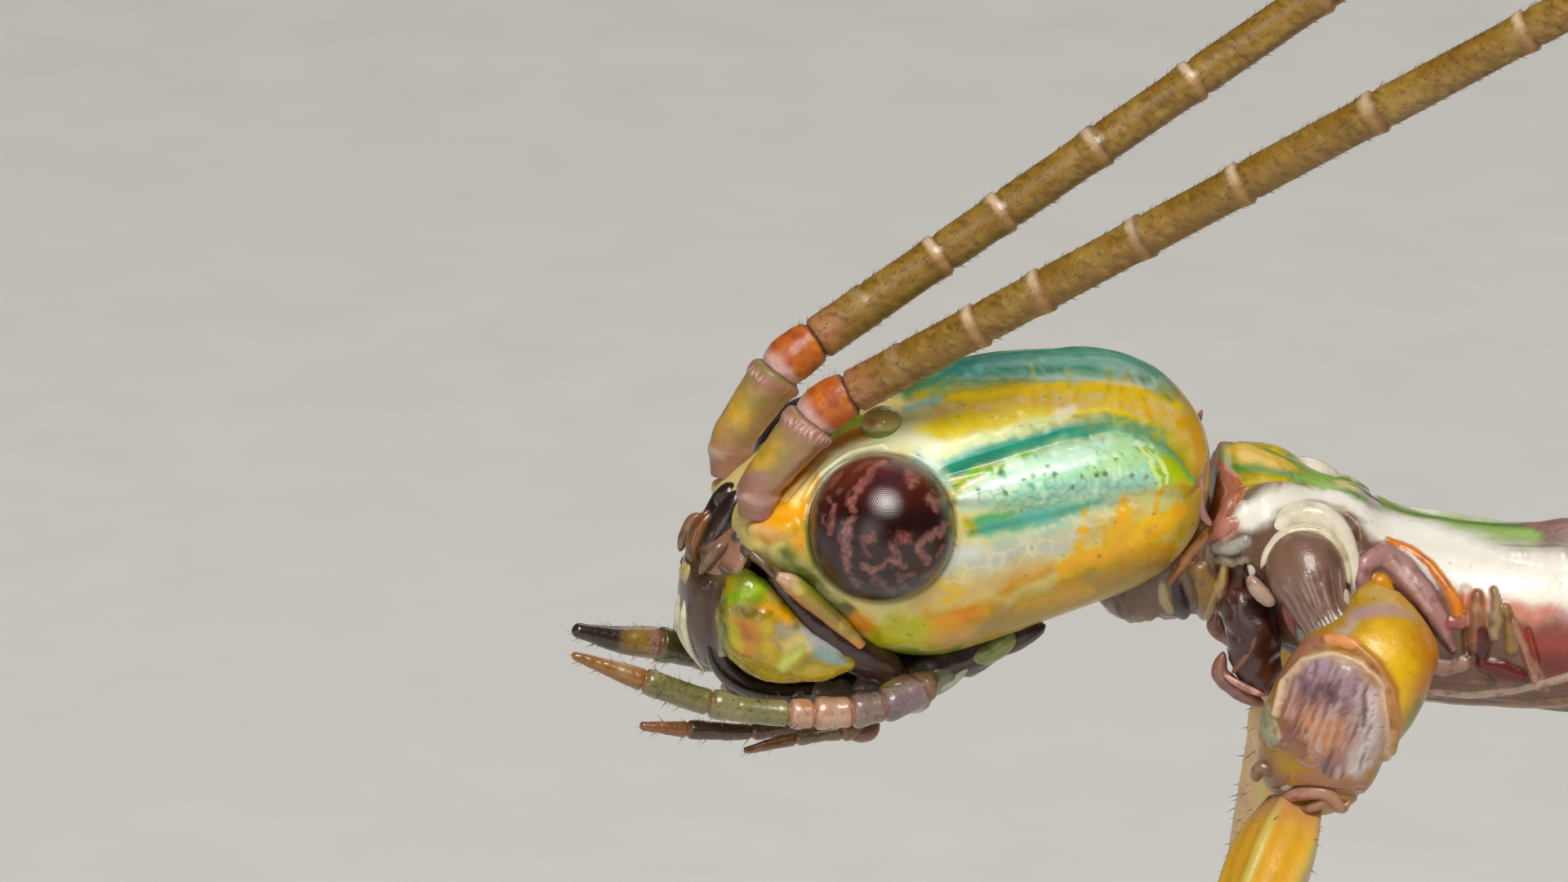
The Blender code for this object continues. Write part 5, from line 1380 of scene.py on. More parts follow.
cheekBar = {
    # back, up, radius of the slim rounded plate between the jaw and the cheek
    "knots": [
        (-5.64, 0.16, 0.05),
        (-5.52, 0.07, 0.095),
        (-5.32, -0.13, 0.115),
        (-5.10, -0.37, 0.105),
        (-4.88, -0.64, 0.085),
        (-4.66, -0.92, 0.05),
    ],
    "side": 1.13,
    "depth": 1.15,
}


def makeCheekBar(side, sign, material):
    rows, count = 90, 48
    points = smoothPath([(a, cheekBar["side"], c, r) for a, c, r in cheekBar["knots"]], rows)
    path = headToBody(points[:, :3] * (1, sign, 1))
    grid = sweptGrid(path, points[:, 3], points[:, 3] * cheekBar["depth"], count)
    flat = grid.reshape(-1, 3)
    grid = reliefOut(grid, 0.006 * layeredNoise(flat, 0.12, 2, 3))
    paint = np.tile(linearColour("#a3882c"), (len(flat), 1))
    t = np.repeat(np.linspace(0, 1, rows), count)
    turn = np.tile(np.cos(np.linspace(0, 2 * math.pi, count, endpoint=False)), rows)
    layPaint(paint, "#d8c060", smoothStep(0.0, 0.6, layeredNoise(flat, 0.15, 3, 6) + 0.2) * 0.7)
    layPaint(paint, "#c9a593", smoothStep(0.24, 0.02, t) * 0.85)
    layPaint(
        paint, "#6d7f1e",
        smoothStep(0.2, 0.8, turn) * smoothStep(0.10, 0.2, t) * smoothStep(0.75, 0.5, t) * 0.8
    )
    layPaint(paint, "#b8742e", smoothStep(-0.3, -0.8, turn) * 0.75)
    layPaint(paint, "#d08038", smoothStep(0.80, 1.0, t) * 0.8)
    bar = gridMesh(f"cheekBar{side}", grid, {"pigment": paint})
    settle(bar, "mouthparts", material)


lipLook = {
    # station, up, half width, half thickness
    "rows": [
        (-5.84, 0.66, 0.50, 0.10),
        (-5.98, 0.52, 0.66, 0.13),
        (-6.16, 0.34, 0.74, 0.14),
        (-6.30, 0.14, 0.77, 0.13),
        (-6.41, -0.12, 0.79, 0.12),
        (-6.47, -0.42, 0.78, 0.11),
        (-6.48, -0.74, 0.72, 0.10),
        (-6.43, -1.00, 0.58, 0.09),
        (-6.37, -1.16, 0.36, 0.07),
        (-6.35, -1.21, 0.14, 0.04),
    ]
}


def makeUpperLip(material):
    rows, count = 90, 130
    points = smoothPath(lipLook["rows"], rows)
    angle = np.linspace(0, 2 * math.pi, count, endpoint=False)
    c, s = np.cos(angle), np.sin(angle)
    s = np.sign(s) * np.abs(s) ** 0.85
    ahead = np.gradient(points[:, :2], axis=0)
    ahead /= np.linalg.norm(ahead, axis=1, keepdims=True)
    front = np.stack([ahead[:, 1], np.zeros(rows), -ahead[:, 0]], axis=1)
    front *= np.sign(-front[:, :1])
    grid = np.zeros((rows, count, 3))
    grid[..., 0] = points[:, 0, None]
    grid[..., 2] = points[:, 1, None]
    grid[..., 1] = points[:, 2, None] * s
    # The plate is bowed: its sides lie further back than its middle
    bow = 0.26 * np.abs(s[None, :]) ** 2.2 * (points[:, 2, None] / 0.78)
    lift = points[:, 3, None] * c[None, :] - bow
    grid += front[:, None, :] * lift[..., None]
    flat = grid.reshape(-1, 3)
    t = np.repeat(np.linspace(0, 1, rows), count)
    side = np.abs(np.tile(s, rows))
    relief = 0.010 * layeredNoise(flat * (1, 1, 0.5), 0.2, 3, 3)
    relief += 0.03 * np.exp(-((side - 0.93) / 0.06) ** 2) * smoothStep(0.25, 0.4, t)
    relief -= 0.05 * np.exp(-((t - 0.30) / 0.02) ** 2)
    grid = reliefOut(grid, relief)
    paint = np.tile(linearColour("#4c3018"), (len(flat), 1))
    layPaint(paint, "#6c6c30", smoothStep(-0.1, 0.5, layeredNoise(flat, 0.4, 2, 9)) * 0.7)
    layPaint(paint, "#a3755f", smoothStep(0.28, 0.20, t) * 0.8)
    layPaint(
        paint, "#32160e",
        smoothStep(0.86, 0.70, side) * smoothStep(0.62, 0.8, side) * smoothStep(0.3, 0.4, t) * 0.8
    )
    layPaint(paint, "#c9cba4", smoothStep(0.90, 0.97, side) * smoothStep(0.34, 0.45, t) * 0.8)
    layPaint(paint, "#cfcf96", smoothStep(0.93, 0.99, t) * 0.7)
    lip = gridMesh("upperLip", headToBody(grid), {"pigment": paint})
    settle(lip, "mouthparts", material, "upper_lip")


lowerLook = {
    # station, top, bottom, half width
    "rows": [
        (-2.20, -1.36, -1.50, 0.20),
        (-2.60, -1.34, -1.66, 0.46),
        (-3.10, -1.40, -1.86, 0.64),
        (-3.70, -1.42, -1.96, 0.74),
        (-4.30, -1.40, -1.98, 0.76),
        (-4.90, -1.40, -1.94, 0.70),
        (-5.50, -1.44, -1.92, 0.58),
        (-5.95, -1.48, -1.84, 0.42),
        (-6.12, -1.54, -1.74, 0.18),
    ]
}


def makeLowerLip(material):
    rows = np.array(lowerLook["rows"])
    stations, around = 110, 130
    station = np.linspace(rows[0, 0], rows[-1, 0], stations)
    top, bottom, width = curveTable(lowerLook["rows"], station)
    grid = ringedGrid(station, top, bottom, np.zeros(stations), width, around)
    flat = grid.reshape(-1, 3)
    side = np.abs(flat[:, 1])
    relief = 0.03 * layeredNoise(flat, 0.35, 3, 3) + 0.012 * layeredNoise(flat, 0.1, 2, 6)
    for place in (-3.25, -4.05, -4.62, -5.20):
        relief -= 0.07 * np.exp(-(((flat[:, 0] - place + 0.25 * (side - 0.4)) / 0.06) ** 2))
    grid = reliefOut(grid, relief)
    paint = np.tile(linearColour("#5f4a3a"), (len(flat), 1))
    n1 = layeredNoise(flat, 0.45, 3, 8)
    layPaint(paint, "#7f8468", smoothStep(0.0, 0.5, n1) * 0.8)
    layPaint(paint, "#8d8a2c", smoothStep(0.15, 0.55, -n1) * 0.6)
    layPaint(paint, "#84665e", smoothStep(0.1, 0.5, layeredNoise(flat, 0.3, 2, 12)) * 0.7)
    layPaint(paint, "#2a1c16", smoothStep(0.35, 0.6, layeredNoise(flat, 0.2, 2, 14)) * 0.6)
    lip = gridMesh("lowerLip", headToBody(grid), {"pigment": paint})
    settle(lip, "mouthparts", material, "lower_lip")


# Soft and hard pads of the mouth: colour, second colour, and a path of back, side, up and radius
mouthLobes = [
    # red-brown membrane between the jaw and the cheek
    ("#3a160c", "#1c0a06", [(-5.67, 0.78, 0.07, 0.125), (-5.26, 0.84, -0.44, 0.229),
        (-4.84, 0.84, -0.96, 0.271), (-4.37, 0.74, -1.35, 0.25), (-3.97, 0.6, -1.67, 0.208)]),
    # dark inner jaw round the front of the outer one
    ("#1a0c06", "#351a0c", [(-6.17, 0.4, -0.28, 0.125), (-6.3, 0.42, -0.66, 0.146),
        (-6.27, 0.45, -1.03, 0.156), (-6.05, 0.45, -1.35, 0.146), (-5.61, 0.45, -1.56, 0.135),
        (-5.11, 0.5, -1.61, 0.125), (-4.59, 0.55, -1.54, 0.156)]),
    # near-black fill of the mouth gap: painted shade
    ("#1c0d09", "#38201a", [(-6.29, 0.14, -0.3, 0.146), (-6.38, 0.14, -0.73, 0.177),
        (-6.3, 0.2, -1.17, 0.156)]),
    # pink inner edge
    ("#7c4c44", "#4a2a26", [(-6.33, 0.34, -0.32, 0.031), (-6.46, 0.32, -0.61, 0.036),
        (-6.45, 0.36, -0.91, 0.042)]),
    # pale inner edge
    ("#8a8480", "#4c4440", [(-6.3, 0.46, -0.3, 0.025), (-6.4, 0.46, -0.48, 0.031),
        (-6.4, 0.46, -0.71, 0.021)]),
    # rim of the upper lip
    ("#e0dec0", "#b9bc90", [(-6.46, 0.1, -0.17, 0.033), (-6.56, 0.12, -0.41, 0.05),
        (-6.6, 0.12, -0.64, 0.056), (-6.57, 0.12, -0.87, 0.05), (-6.49, 0.1, -1.07, 0.042),
        (-6.39, 0.08, -1.27, 0.027)]),
    # yellow root of the upper lip
    ("#b3a268", "#8a7434", [(-6.47, 0.06, -0.16, 0.073), (-6.45, 0.06, 0.02, 0.094),
        (-6.39, 0.06, 0.1, 0.073)]),
    # amber strip up the face
    ("#7c4c1c", "#43260e", [(-6.41, 0.05, 0.1, 0.073), (-6.34, 0.05, 0.38, 0.083),
        (-6.22, 0.05, 0.6, 0.083), (-6.11, 0.05, 0.72, 0.052)]),
    # dark hollow of the face: dark brown deepened with painted shade
    ("#22120a", "#3a2416", [(-6.25, 0.12, 0.09, 0.135), (-6.08, 0.16, 0.45, 0.188),
        (-5.9, 0.16, 0.7, 0.188), (-5.77, 0.16, 0.98, 0.146)]),
    # face shield
    ("#8d6450", "#5c3c30", [(-6.31, 0.3, -0.07, 0.146), (-6.15, 0.34, 0.08, 0.25),
        (-5.96, 0.4, 0.23, 0.25), (-5.83, 0.5, 0.37, 0.146)]),
    # tan ridge of the shield
    ("#86684a", "#5f4834", [(-6.43, 0.46, 0.1, 0.052), (-6.32, 0.52, 0.29, 0.073),
        (-6.18, 0.56, 0.45, 0.073), (-6.05, 0.5, 0.49, 0.052)]),
    # dark front of the shield
    ("#3c2622", "#5a3a34", [(-6.37, 0.46, 0.01, 0.104), (-6.28, 0.48, -0.09, 0.104)]),
    # grey fold by the cheek
    ("#665c58", "#463c38", [(-5.95, 0.4, 0.55, 0.115), (-5.89, 0.5, 0.38, 0.094),
        (-5.85, 0.78, 0.38, 0.062)]),
    # rolled seam down to the jaw hinge
    ("#6a4c3c", "#4c3428", [(-5.89, 0.86, 0.45, 0.042), (-5.75, 0.98, 0.28, 0.047),
        (-5.59, 1.06, 0.04, 0.042)]),
    # grey lump below it
    ("#4e4038", "#362c28", [(-5.93, 0.05, 0.9, 0.125), (-5.88, 0.08, 0.69, 0.146)]),
    # olive membrane behind the jaw
    ("#3c3e20", "#22220f", [(-4.48, 0.84, -1.15, 0.083), (-4.31, 0.8, -1.3, 0.125),
        (-4.13, 0.74, -1.39, 0.104)]),
    # root plate of the palp
    ("#7b5b40", "#8b8a30", [(-4.43, 0.86, -1.7, 0.115), (-4.2, 0.88, -1.65, 0.177),
        (-3.93, 0.8, -1.66, 0.156)]),
    # grey membrane behind the root
    ("#b9b2a8", "#7c6c62", [(-4.06, 0.66, -2.02, 0.073), (-3.92, 0.68, -1.98, 0.104),
        (-3.73, 0.64, -1.85, 0.094)]),
    # pale green fold
    ("#b4bda2", "#7c865c", [(-3.79, 0.62, -1.92, 0.062), (-3.47, 0.62, -1.77, 0.083),
        (-3.22, 0.62, -1.57, 0.083), (-2.97, 0.62, -1.4, 0.073)]),
    # olive fold
    ("#7e8640", "#4c5424", [(-3.2, 0.66, -1.52, 0.094), (-2.91, 0.68, -1.46, 0.135),
        (-2.62, 0.72, -1.28, 0.115)]),
    # dark throat skin
    ("#2e1b13", "#4c342a", [(-4.05, 0.46, -1.6, 0.229), (-3.53, 0.46, -1.59, 0.25),
        (-2.9, 0.5, -1.43, 0.229), (-2.16, 0.5, -1.32, 0.167)]),
    # root lump of the lip palp
    ("#7c5438", "#4a2e20", [(-4.79, 0.42, -2.24, 0.094), (-4.5, 0.42, -2.29, 0.135),
        (-4.36, 0.42, -2.17, 0.094)]),
    # purple plate
    ("#86727c", "#5a464a", [(-4.88, 0.98, -1.71, 0.135), (-4.63, 0.98, -1.76, 0.167),
        (-4.43, 0.92, -1.75, 0.135)]),
]


def makeMouthPads(side, sign, material):
    pads = makeLobes(f"mouthPads{side}", mouthLobes, sign, headToBody, 60)
    settle(pads, "mouthparts", material)


mouthFeelers = {
    # Rows: back, side, up, radius; joints and colours by station along the head
    "jawLeft": {
        "knots": [
            (-3.70, 0.74, -1.60, 0.10),
            (-3.90, 0.90, -1.68, 0.19),
            (-4.20, 1.02, -1.74, 0.20),
            (-4.61, 1.08, -1.76, 0.19),
            (-5.11, 1.06, -1.73, 0.19),
            (-5.64, 1.00, -1.66, 0.165),
            (-6.48, 0.90, -1.42, 0.165),
            (-7.30, 0.78, -1.01, 0.145),
            (-8.16, 0.65, -0.55, 0.05),
        ],
        "joints": (-3.95, -4.46, -4.86, -5.32, -5.62, -6.56, -7.33),
        "paints": ("#6f5a44", "#86727c", "#8c7670", "#c09880", "#bd8f78", "#7c7a4c", "#706c3c", "#8f5f24"),
        "node": "jaw_feeler",
    },
    "jawRight": {
        "knots": [
            (-3.70, 0.74, -1.60, 0.10),
            (-4.10, 1.02, -1.72, 0.20),
            (-4.61, 1.08, -1.76, 0.20),
            (-5.11, 1.06, -1.73, 0.19),
            (-5.64, 1.02, -1.65, 0.18),
            (-6.33, 0.97, -1.38, 0.185),
            (-6.80, 0.90, -1.16, 0.20),
            (-7.12, 0.86, -1.06, 0.17),
            (-7.78, 0.75, -0.76, 0.08),
        ],
        "joints": (-3.95, -4.46, -4.86, -5.32, -5.62, -6.20, -6.72),
        "paints": ("#6f5a44", "#86727c", "#8c7670", "#c09880", "#bd8f78", "#66643a", "#4c4c24", "#8a6c28"),
        "node": "jaw_feeler",
    },
    "lipLeft": {
        "knots": [
            (-4.45, 0.34, -2.04, 0.12),
            (-4.70, 0.42, -2.20, 0.14),
            (-5.10, 0.45, -2.22, 0.09),
            (-5.46, 0.44, -2.22, 0.085),
            (-6.08, 0.44, -2.26, 0.04),
        ],
        "joints": (-4.85, -5.42),
        "paints": ("#7c5438", "#6c6040", "#84522a"),
        "node": "lip_feeler",
    },
    "lipRight": {
        "knots": [
            (-4.45, 0.34, -2.04, 0.12),
            (-4.75, 0.40, -2.26, 0.14),
            (-5.65, 0.40, -2.36, 0.10),
            (-6.47, 0.42, -2.20, 0.11),
            (-7.14, 0.40, -2.02, 0.05),
        ],
        "joints": (-5.10, -5.75, -6.55),
        "paints": ("#7c5438", "#543e2c", "#4c3424", "#84522a"),
        "node": "lip_feeler",
    },
}


def makeMouthFeeler(kind, side, sign, material):
    look = mouthFeelers[kind + side]
    count, rows = 34, 300
    points = smoothPath(np.array(look["knots"]) * (1, sign, 1, 1), rows)
    joints = np.array(look["joints"])
    off = points[:, :1] - joints[None, :]
    near = np.abs(off).min(axis=1)
    before = np.where(off > 0, off, 9).min(axis=1)
    girth = points[:, 3] * (
        1 + 0.12 * np.exp(-(((before - 0.10) / 0.10) ** 2)) - 0.24 * np.exp(-((near / 0.022) ** 2))
    )
    girth[:3] *= (0.3, 0.6, 0.85)
    girth[-5:] *= (0.98, 0.93, 0.82, 0.62, 0.25)
    grid = sweptGrid(headToBody(points[:, :3]), girth, girth, count)
    flat = grid.reshape(-1, 3)
    grid = reliefOut(grid, 0.009 * layeredNoise(flat, 0.12, 3, 4))
    near, station = np.repeat(near, count), np.repeat(points[:, 0], count)
    noise = layeredNoise(flat, 0.3, 3, 9)
    paint = np.zeros((len(flat), 3))
    part = (station[:, None] < joints[None, :]).sum(axis=1)
    for k, colour in enumerate(look["paints"]):
        paint[part == k] = linearColour(colour)
    layPaint(paint, "#c8b890", smoothStep(0.1, 0.7, noise) * 0.35)
    layPaint(paint, "#4c4a20", smoothStep(0.1, 0.6, -noise) * 0.5)
    beads = smoothStep(-4.84, -4.90, station) * smoothStep(-5.64, -5.58, station) * (kind == "jaw")
    layPaint(paint, "#b0762a", beads * smoothStep(0.1, 0.5, layeredNoise(flat, 0.14, 2, 8)) * 0.7)
    layPaint(paint, "#96542a", np.exp(-((near / 0.028) ** 2)) * 0.55)
    if kind + side == "jawRight":
        layPaint(paint, "#a0746a", np.exp(-(((station + 6.80) / 0.06) ** 2)) * 0.9)
        layPaint(paint, "#1a1012", smoothStep(-7.08, -7.26, station + 0.1 * noise) * 0.95)
    layPaint(paint, "#3f3014", smoothStep(0.4, 0.75, latticeNoise(flat, 0.03, 18)) * 0.55)
    turn = np.tile(np.linspace(0, 1, count, endpoint=False), rows)
    values = {"pigment": paint, "hairy": smoothStep(-4.9, -5.3, station) + 0.0 * turn}
    feeler = gridMesh(f"{kind}Feeler{side}", grid, values)
    settle(feeler, "mouthparts", material, f"{look['node']}_{side.lower()}")
    return feeler


def makeHairTree():
    tree = bpy.data.node_groups.new("bristles", "GeometryNodeTree")
    face = tree.interface
    face.new_socket("Geometry", in_out="INPUT", socket_type="NodeSocketGeometry")
    inputs = {}
    for name, kind in (
        ("Density", "NodeSocketFloat"),
        ("Length", "NodeSocketFloat"),
        ("Width", "NodeSocketFloat"),
        ("Lean", "NodeSocketVector"),
        ("Spread", "NodeSocketFloat"),
        ("Seed", "NodeSocketInt"),
        ("Material", "NodeSocketMaterial"),
    ):
        inputs[name] = face.new_socket(name, in_out="INPUT", socket_type=kind).identifier
    face.new_socket("Geometry", in_out="OUTPUT", socket_type="NodeSocketGeometry")
    enter = tree.nodes.new("NodeGroupInput")
    leave = tree.nodes.new("NodeGroupOutput")
    hairy = addNode(tree, "GeometryNodeInputNamedAttribute", {"data_type": "FLOAT", "Name": "hairy"})
    weight = addNode(
        tree, "ShaderNodeMath", {"operation": "MULTIPLY"}, {0: (hairy, "Attribute"), 1: (enter, "Density")}
    )
    roots = addNode(
        tree, "GeometryNodeDistributePointsOnFaces", None, {
            "Mesh": (enter, "Geometry"), "Density": (weight, 0), "Seed": (enter, "Seed")
        }
    )
    wild = addNode(
        tree, "FunctionNodeRandomValue", {"data_type": "FLOAT_VECTOR", 0: (-1, -1, -1), 1: (1, 1, 1)},
        {"Seed": (enter, "Seed")}
    )
    stray = addNode(
        tree, "ShaderNodeVectorMath", {"operation": "SCALE"}, {0: (wild, 0), "Scale": (enter, "Spread")}
    )
    lean = addNode(
        tree, "ShaderNodeVectorMath", {"operation": "ADD"}, {0: (roots, "Normal"), 1: (enter, "Lean")}
    )
    aim = addNode(tree, "ShaderNodeVectorMath", {"operation": "ADD"}, {0: (lean, 0), 1: (stray, 0)})
    turn = addNode(tree, "FunctionNodeAlignRotationToVector", {"axis": "Z"}, {"Vector": (aim, 0)})
    spike = addNode(
        tree,
        "GeometryNodeMeshCone",
        {"Vertices": 3, "Side Segments": 1, "Fill Segments": 1},
        {"Radius Bottom": (enter, "Width"), "Depth": (enter, "Length")},
    )
    size = addNode(
        tree, "FunctionNodeRandomValue", {"data_type": "FLOAT", 2: 0.45, 3: 1.15}, {"Seed": (enter, "Seed")}
    )
    placed = addNode(
        tree,
        "GeometryNodeInstanceOnPoints",
        None,
        {"Points": (roots, "Points"), "Instance": (spike, "Mesh"), "Rotation": (turn, 0), "Scale": (size, 1)},
    )
    real = addNode(tree, "GeometryNodeRealizeInstances", None, {"Geometry": (placed, 0)})
    dyed = addNode(
        tree, "GeometryNodeSetMaterial", None, {"Geometry": (real, 0), "Material": (enter, "Material")}
    )
    tree.links.new(dyed.outputs[0], leave.inputs[0])
    return tree, inputs


def growHairs(name, skin, slot, material, look):
    tree, inputs = hairTree
    modifier = skin.modifiers.new("bristles", "NODES")
    modifier.node_group = tree
    modifier[inputs["Density"]] = look["density"] / mm**2
    modifier[inputs["Length"]] = look["length"] * mm
    modifier[inputs["Width"]] = look["width"] * mm
    modifier[inputs["Lean"]] = tuple(float(x) for x in look.get("lean", (0, 0, 0)))
    modifier[inputs["Spread"]] = look.get("spread", 0.35)
    modifier[inputs["Seed"]] = look.get("seed", 1)
    modifier[inputs["Material"]] = material
    graph = bpy.context.evaluated_depsgraph_get()
    mesh = bpy.data.meshes.new_from_object(skin.evaluated_get(graph))
    skin.modifiers.remove(modifier)
    mesh.name = name
    # Every bristle is a small patch at its root's place on the unwrapped skin
    roots = np.zeros(len(mesh.vertices) * 4, np.float32)
    mesh.attributes["unwrap"].data.foreach_get("color", roots)
    loops = np.zeros(len(mesh.loops), np.int32)
    mesh.loops.foreach_get("vertex_index", loops)
    patch = np.array([(0, 0), (0.003, 0), (0.0015, 0.003), (0, 0.003)])
    places = roots.reshape(-1, 4)[loops, :2] + patch[loops % 4]
    mesh.uv_layers.new(name="OFBake").data.foreach_set("uv", places.astype(np.float32).ravel())
    hairs = bpy.data.objects.new(name, mesh)
    bpy.context.scene.collection.objects.link(hairs)
    settle(hairs, slot, None)
    print(name, len(mesh.polygons), "faces")
    return hairs


def makeBristleMaterial(name, hexRoot, hexTip):
    # Bristles are clear brown chitin: amber where thin and lit, dark where they crowd
    material, tree, shader = newMaterial(name)
    coords = addNode(tree, "ShaderNodeTexCoord")
    noise = addNode(tree, "ShaderNodeTexNoise", {"Scale": 1 / (0.2 * mm)}, {"Vector": (coords, "Object")})
    ramp = addNode(tree, "ShaderNodeValToRGB", None, {"Fac": (noise, "Fac")})
    setRamp(ramp, [(0.35, hexRoot), (0.65, hexTip)])
    tree.links.new(ramp.outputs[0], shader.inputs["Base Color"])
    shader.inputs["Roughness"].default_value = 0.4
    return material


# Rows of the prothorax: x, top, bottom, half width
prothoraxShape = {
    "rows": [
        (0.06, 0.10, -1.20, 0.70),
        (0.12, 0.34, -1.40, 0.92),
        (0.34, 0.50, -1.62, 1.12),
        (0.70, 0.46, -1.82, 1.15),
        (1.40, 0.14, -2.18, 1.18),
        (1.90, -0.04, -2.36, 1.18),
        (2.20, -0.24, -2.50, 1.15),
        (3.00, -0.46, -2.64, 1.18),
        (4.05, -0.53, -2.70, 1.20),
        (4.55, -0.48, -2.74, 1.24),
        (4.75, -0.52, -2.72, 1.20),
    ],
    "stations": 215,
    "around": 260,
}

prothoraxStrokes = [
    # yellow saddle
    ("#f0c808", 0.6, 0.25, [(0.4, 0.46, 0.144), (0.7, 0.46, 0.206), (1.15, 0.32, 0.227),
        (1.6, 0.11, 0.165), (1.75, 0.02, 0.103)]),
    # olive front corner
    ("#8f9a60", 0.8, 0.3, [(0.21, 0.42, 0.103), (0.31, 0.29, 0.103)]),
    # pale rear of the saddle
    ("#eadfa4", 0.7, 0.3, [(1.65, 0.13, 0.062), (1.89, 0.03, 0.072)]),
    # grey white behind it
    ("#cfcfc0", 0.7, 0.2, [(1.95, -0.02, 0.062), (2.17, -0.13, 0.052)]),
    # green band
    ("#5a8c16", 0.6, 0.35, [(0.37, 0.28, 0.052), (0.6, 0.28, 0.062), (0.87, 0.22, 0.072),
        (1.17, 0.15, 0.093), (1.47, 0.06, 0.082), (1.77, -0.03, 0.072), (1.95, -0.11, 0.052)]),
    # bright green core
    ("#8cbb1a", 0.7, 0.4, [(1.13, 0.16, 0.041), (1.37, 0.09, 0.052), (1.61, 0.02, 0.041)]),
    # yellow green below the band
    ("#cdbb1c", 0.7, 0.3, [(0.45, 0.11, 0.093), (0.7, 0.12, 0.082), (0.97, 0.12, 0.052)]),
    # rear green field
    ("#86ac10", 0.5, 0.15, [(2.25, -0.13, 0.082), (2.67, -0.21, 0.134), (3.15, -0.34, 0.196),
        (3.65, -0.48, 0.206), (3.97, -0.57, 0.134)]),
    # darker green crest
    ("#4f7a28", 0.8, 0.3, [(2.4, -0.08, 0.062), (3.05, -0.17, 0.093), (3.75, -0.29, 0.093)]),
    # white side band
    ("#f8f5ea", 0.35, 0.1, [(0.49, -0.32, 0.186), (0.85, -0.15, 0.144), (1.25, -0.07, 0.093),
        (1.65, -0.14, 0.103), (1.97, -0.38, 0.206), (2.37, -0.53, 0.237), (2.77, -0.69, 0.299),
        (3.25, -0.97, 0.371), (3.75, -1.16, 0.371), (4.55, -1.22, 0.454)]),
    # shade under the band
    ("#b9b0a0", 0.8, 0.3, [(0.85, -0.29, 0.052), (1.25, -0.19, 0.041), (1.65, -0.27, 0.052),
        (1.77, -0.42, 0.072)]),
    # pink neck of the gland
    ("#e2b3a4", 0.8, 0.3, [(0.17, -0.58, 0.082), (0.33, -0.42, 0.082)]),
    # pink back
    ("#a3766c", 0.8, 0.3, [(4.05, -0.32, 0.093), (4.4, -0.42, 0.186), (4.85, -0.42, 0.247)]),
    # pink wash over the white
    ("#cf8e7c", 0.9, 0.4, [(3.17, -1.39, 0.093), (3.75, -1.49, 0.103), (3.97, -1.66, 0.124),
        (4.25, -1.56, 0.082)]),
    # red side
    ("#8f4238", 0.7, 0.4, [(3.87, -1.87, 0.103), (4.07, -2, 0.206), (4.4, -1.95, 0.309),
        (5.15, -2, 0.454)]),
    # deep red
    ("#6f2822", 0.9, 0.4, [(4.15, -2.23, 0.124), (4.45, -2.26, 0.144), (5.15, -2.42, 0.165)]),
    # orange behind the arch
    ("#c8713a", 0.8, 0.3, [(3.07, -1.49, 0.082), (3.15, -1.68, 0.082)]),
    # brown breast
    ("#6a4636", 0.6, 0.3, [(2.7, -2.52, 0.186), (3.25, -2.63, 0.186), (3.85, -2.63, 0.165),
        (5.15, -2.71, 0.206)]),
    # dark underside
    ("#3f261c", 0.7, 0.3, [(2.25, -2.94, 0.206), (3.25, -3, 0.165), (5.15, -3.05, 0.165)]),
    # red brown hollow round the hip
    ("#4c2016", 0.6, 0.3, [(0.35, -1.05, 0.268), (0.6, -1.68, 0.351), (0.85, -2.31, 0.351),
        (2.25, -2.1, 0.309)]),
    # dark slit behind the socket
    ("#6a4a38", 0.9, 0.5, [(1.7, -0.34, 0.041), (1.8, -0.46, 0.082), (1.83, -0.61, 0.062)]),
]

prothoraxRelief = [
    # side ridge
    (0.1, [(0.45, -0.03, 0.093), (0.85, 0.04, 0.093), (1.25, 0.02, 0.093), (1.68, -0.06, 0.103),
        (2.2, -0.21, 0.124), (2.72, -0.41, 0.144), (3.24, -0.59, 0.155), (3.76, -0.77, 0.165),
        (4.35, -0.84, 0.186)]),
    # groove above it
    (-0.05, [(0.5, 0.13, 0.082), (1.15, 0.11, 0.062), (1.75, -0.04, 0.062), (2.45, -0.29, 0.082),
        (3.25, -0.5, 0.093), (3.95, -0.67, 0.093)]),
    # cross furrow
    (-0.09, [(2.15, 0.11, 0.124), (2.11, -0.06, 0.093), (2.09, -0.19, 0.072)]),
    # bump behind it
    (0.05, [(2.33, -0.06, 0.082), (2.41, -0.13, 0.062)]),
    # hollow round the hip
    (-0.2, [(0.35, -1.05, 0.268), (0.65, -1.58, 0.412), (1.25, -1.26, 0.412), (1.65, -1.89, 0.371)]),
    # dark slit
    (-0.1, [(1.7, -0.34, 0.041), (1.8, -0.46, 0.072), (1.83, -0.61, 0.052)]),
    # furrow before the spiracle
    (-0.08, [(3.18, -1.26, 0.072), (3.15, -1.68, 0.072), (3.19, -2.1, 0.072)]),
    # fold
    (0.05, [(3.75, -1.68, 0.041), (3.87, -2, 0.052), (4.05, -2.52, 0.052)]),
    # furrow behind the spiracle
    (-0.06, [(3.93, -1.79, 0.052), (4.05, -2.21, 0.052)]),
]

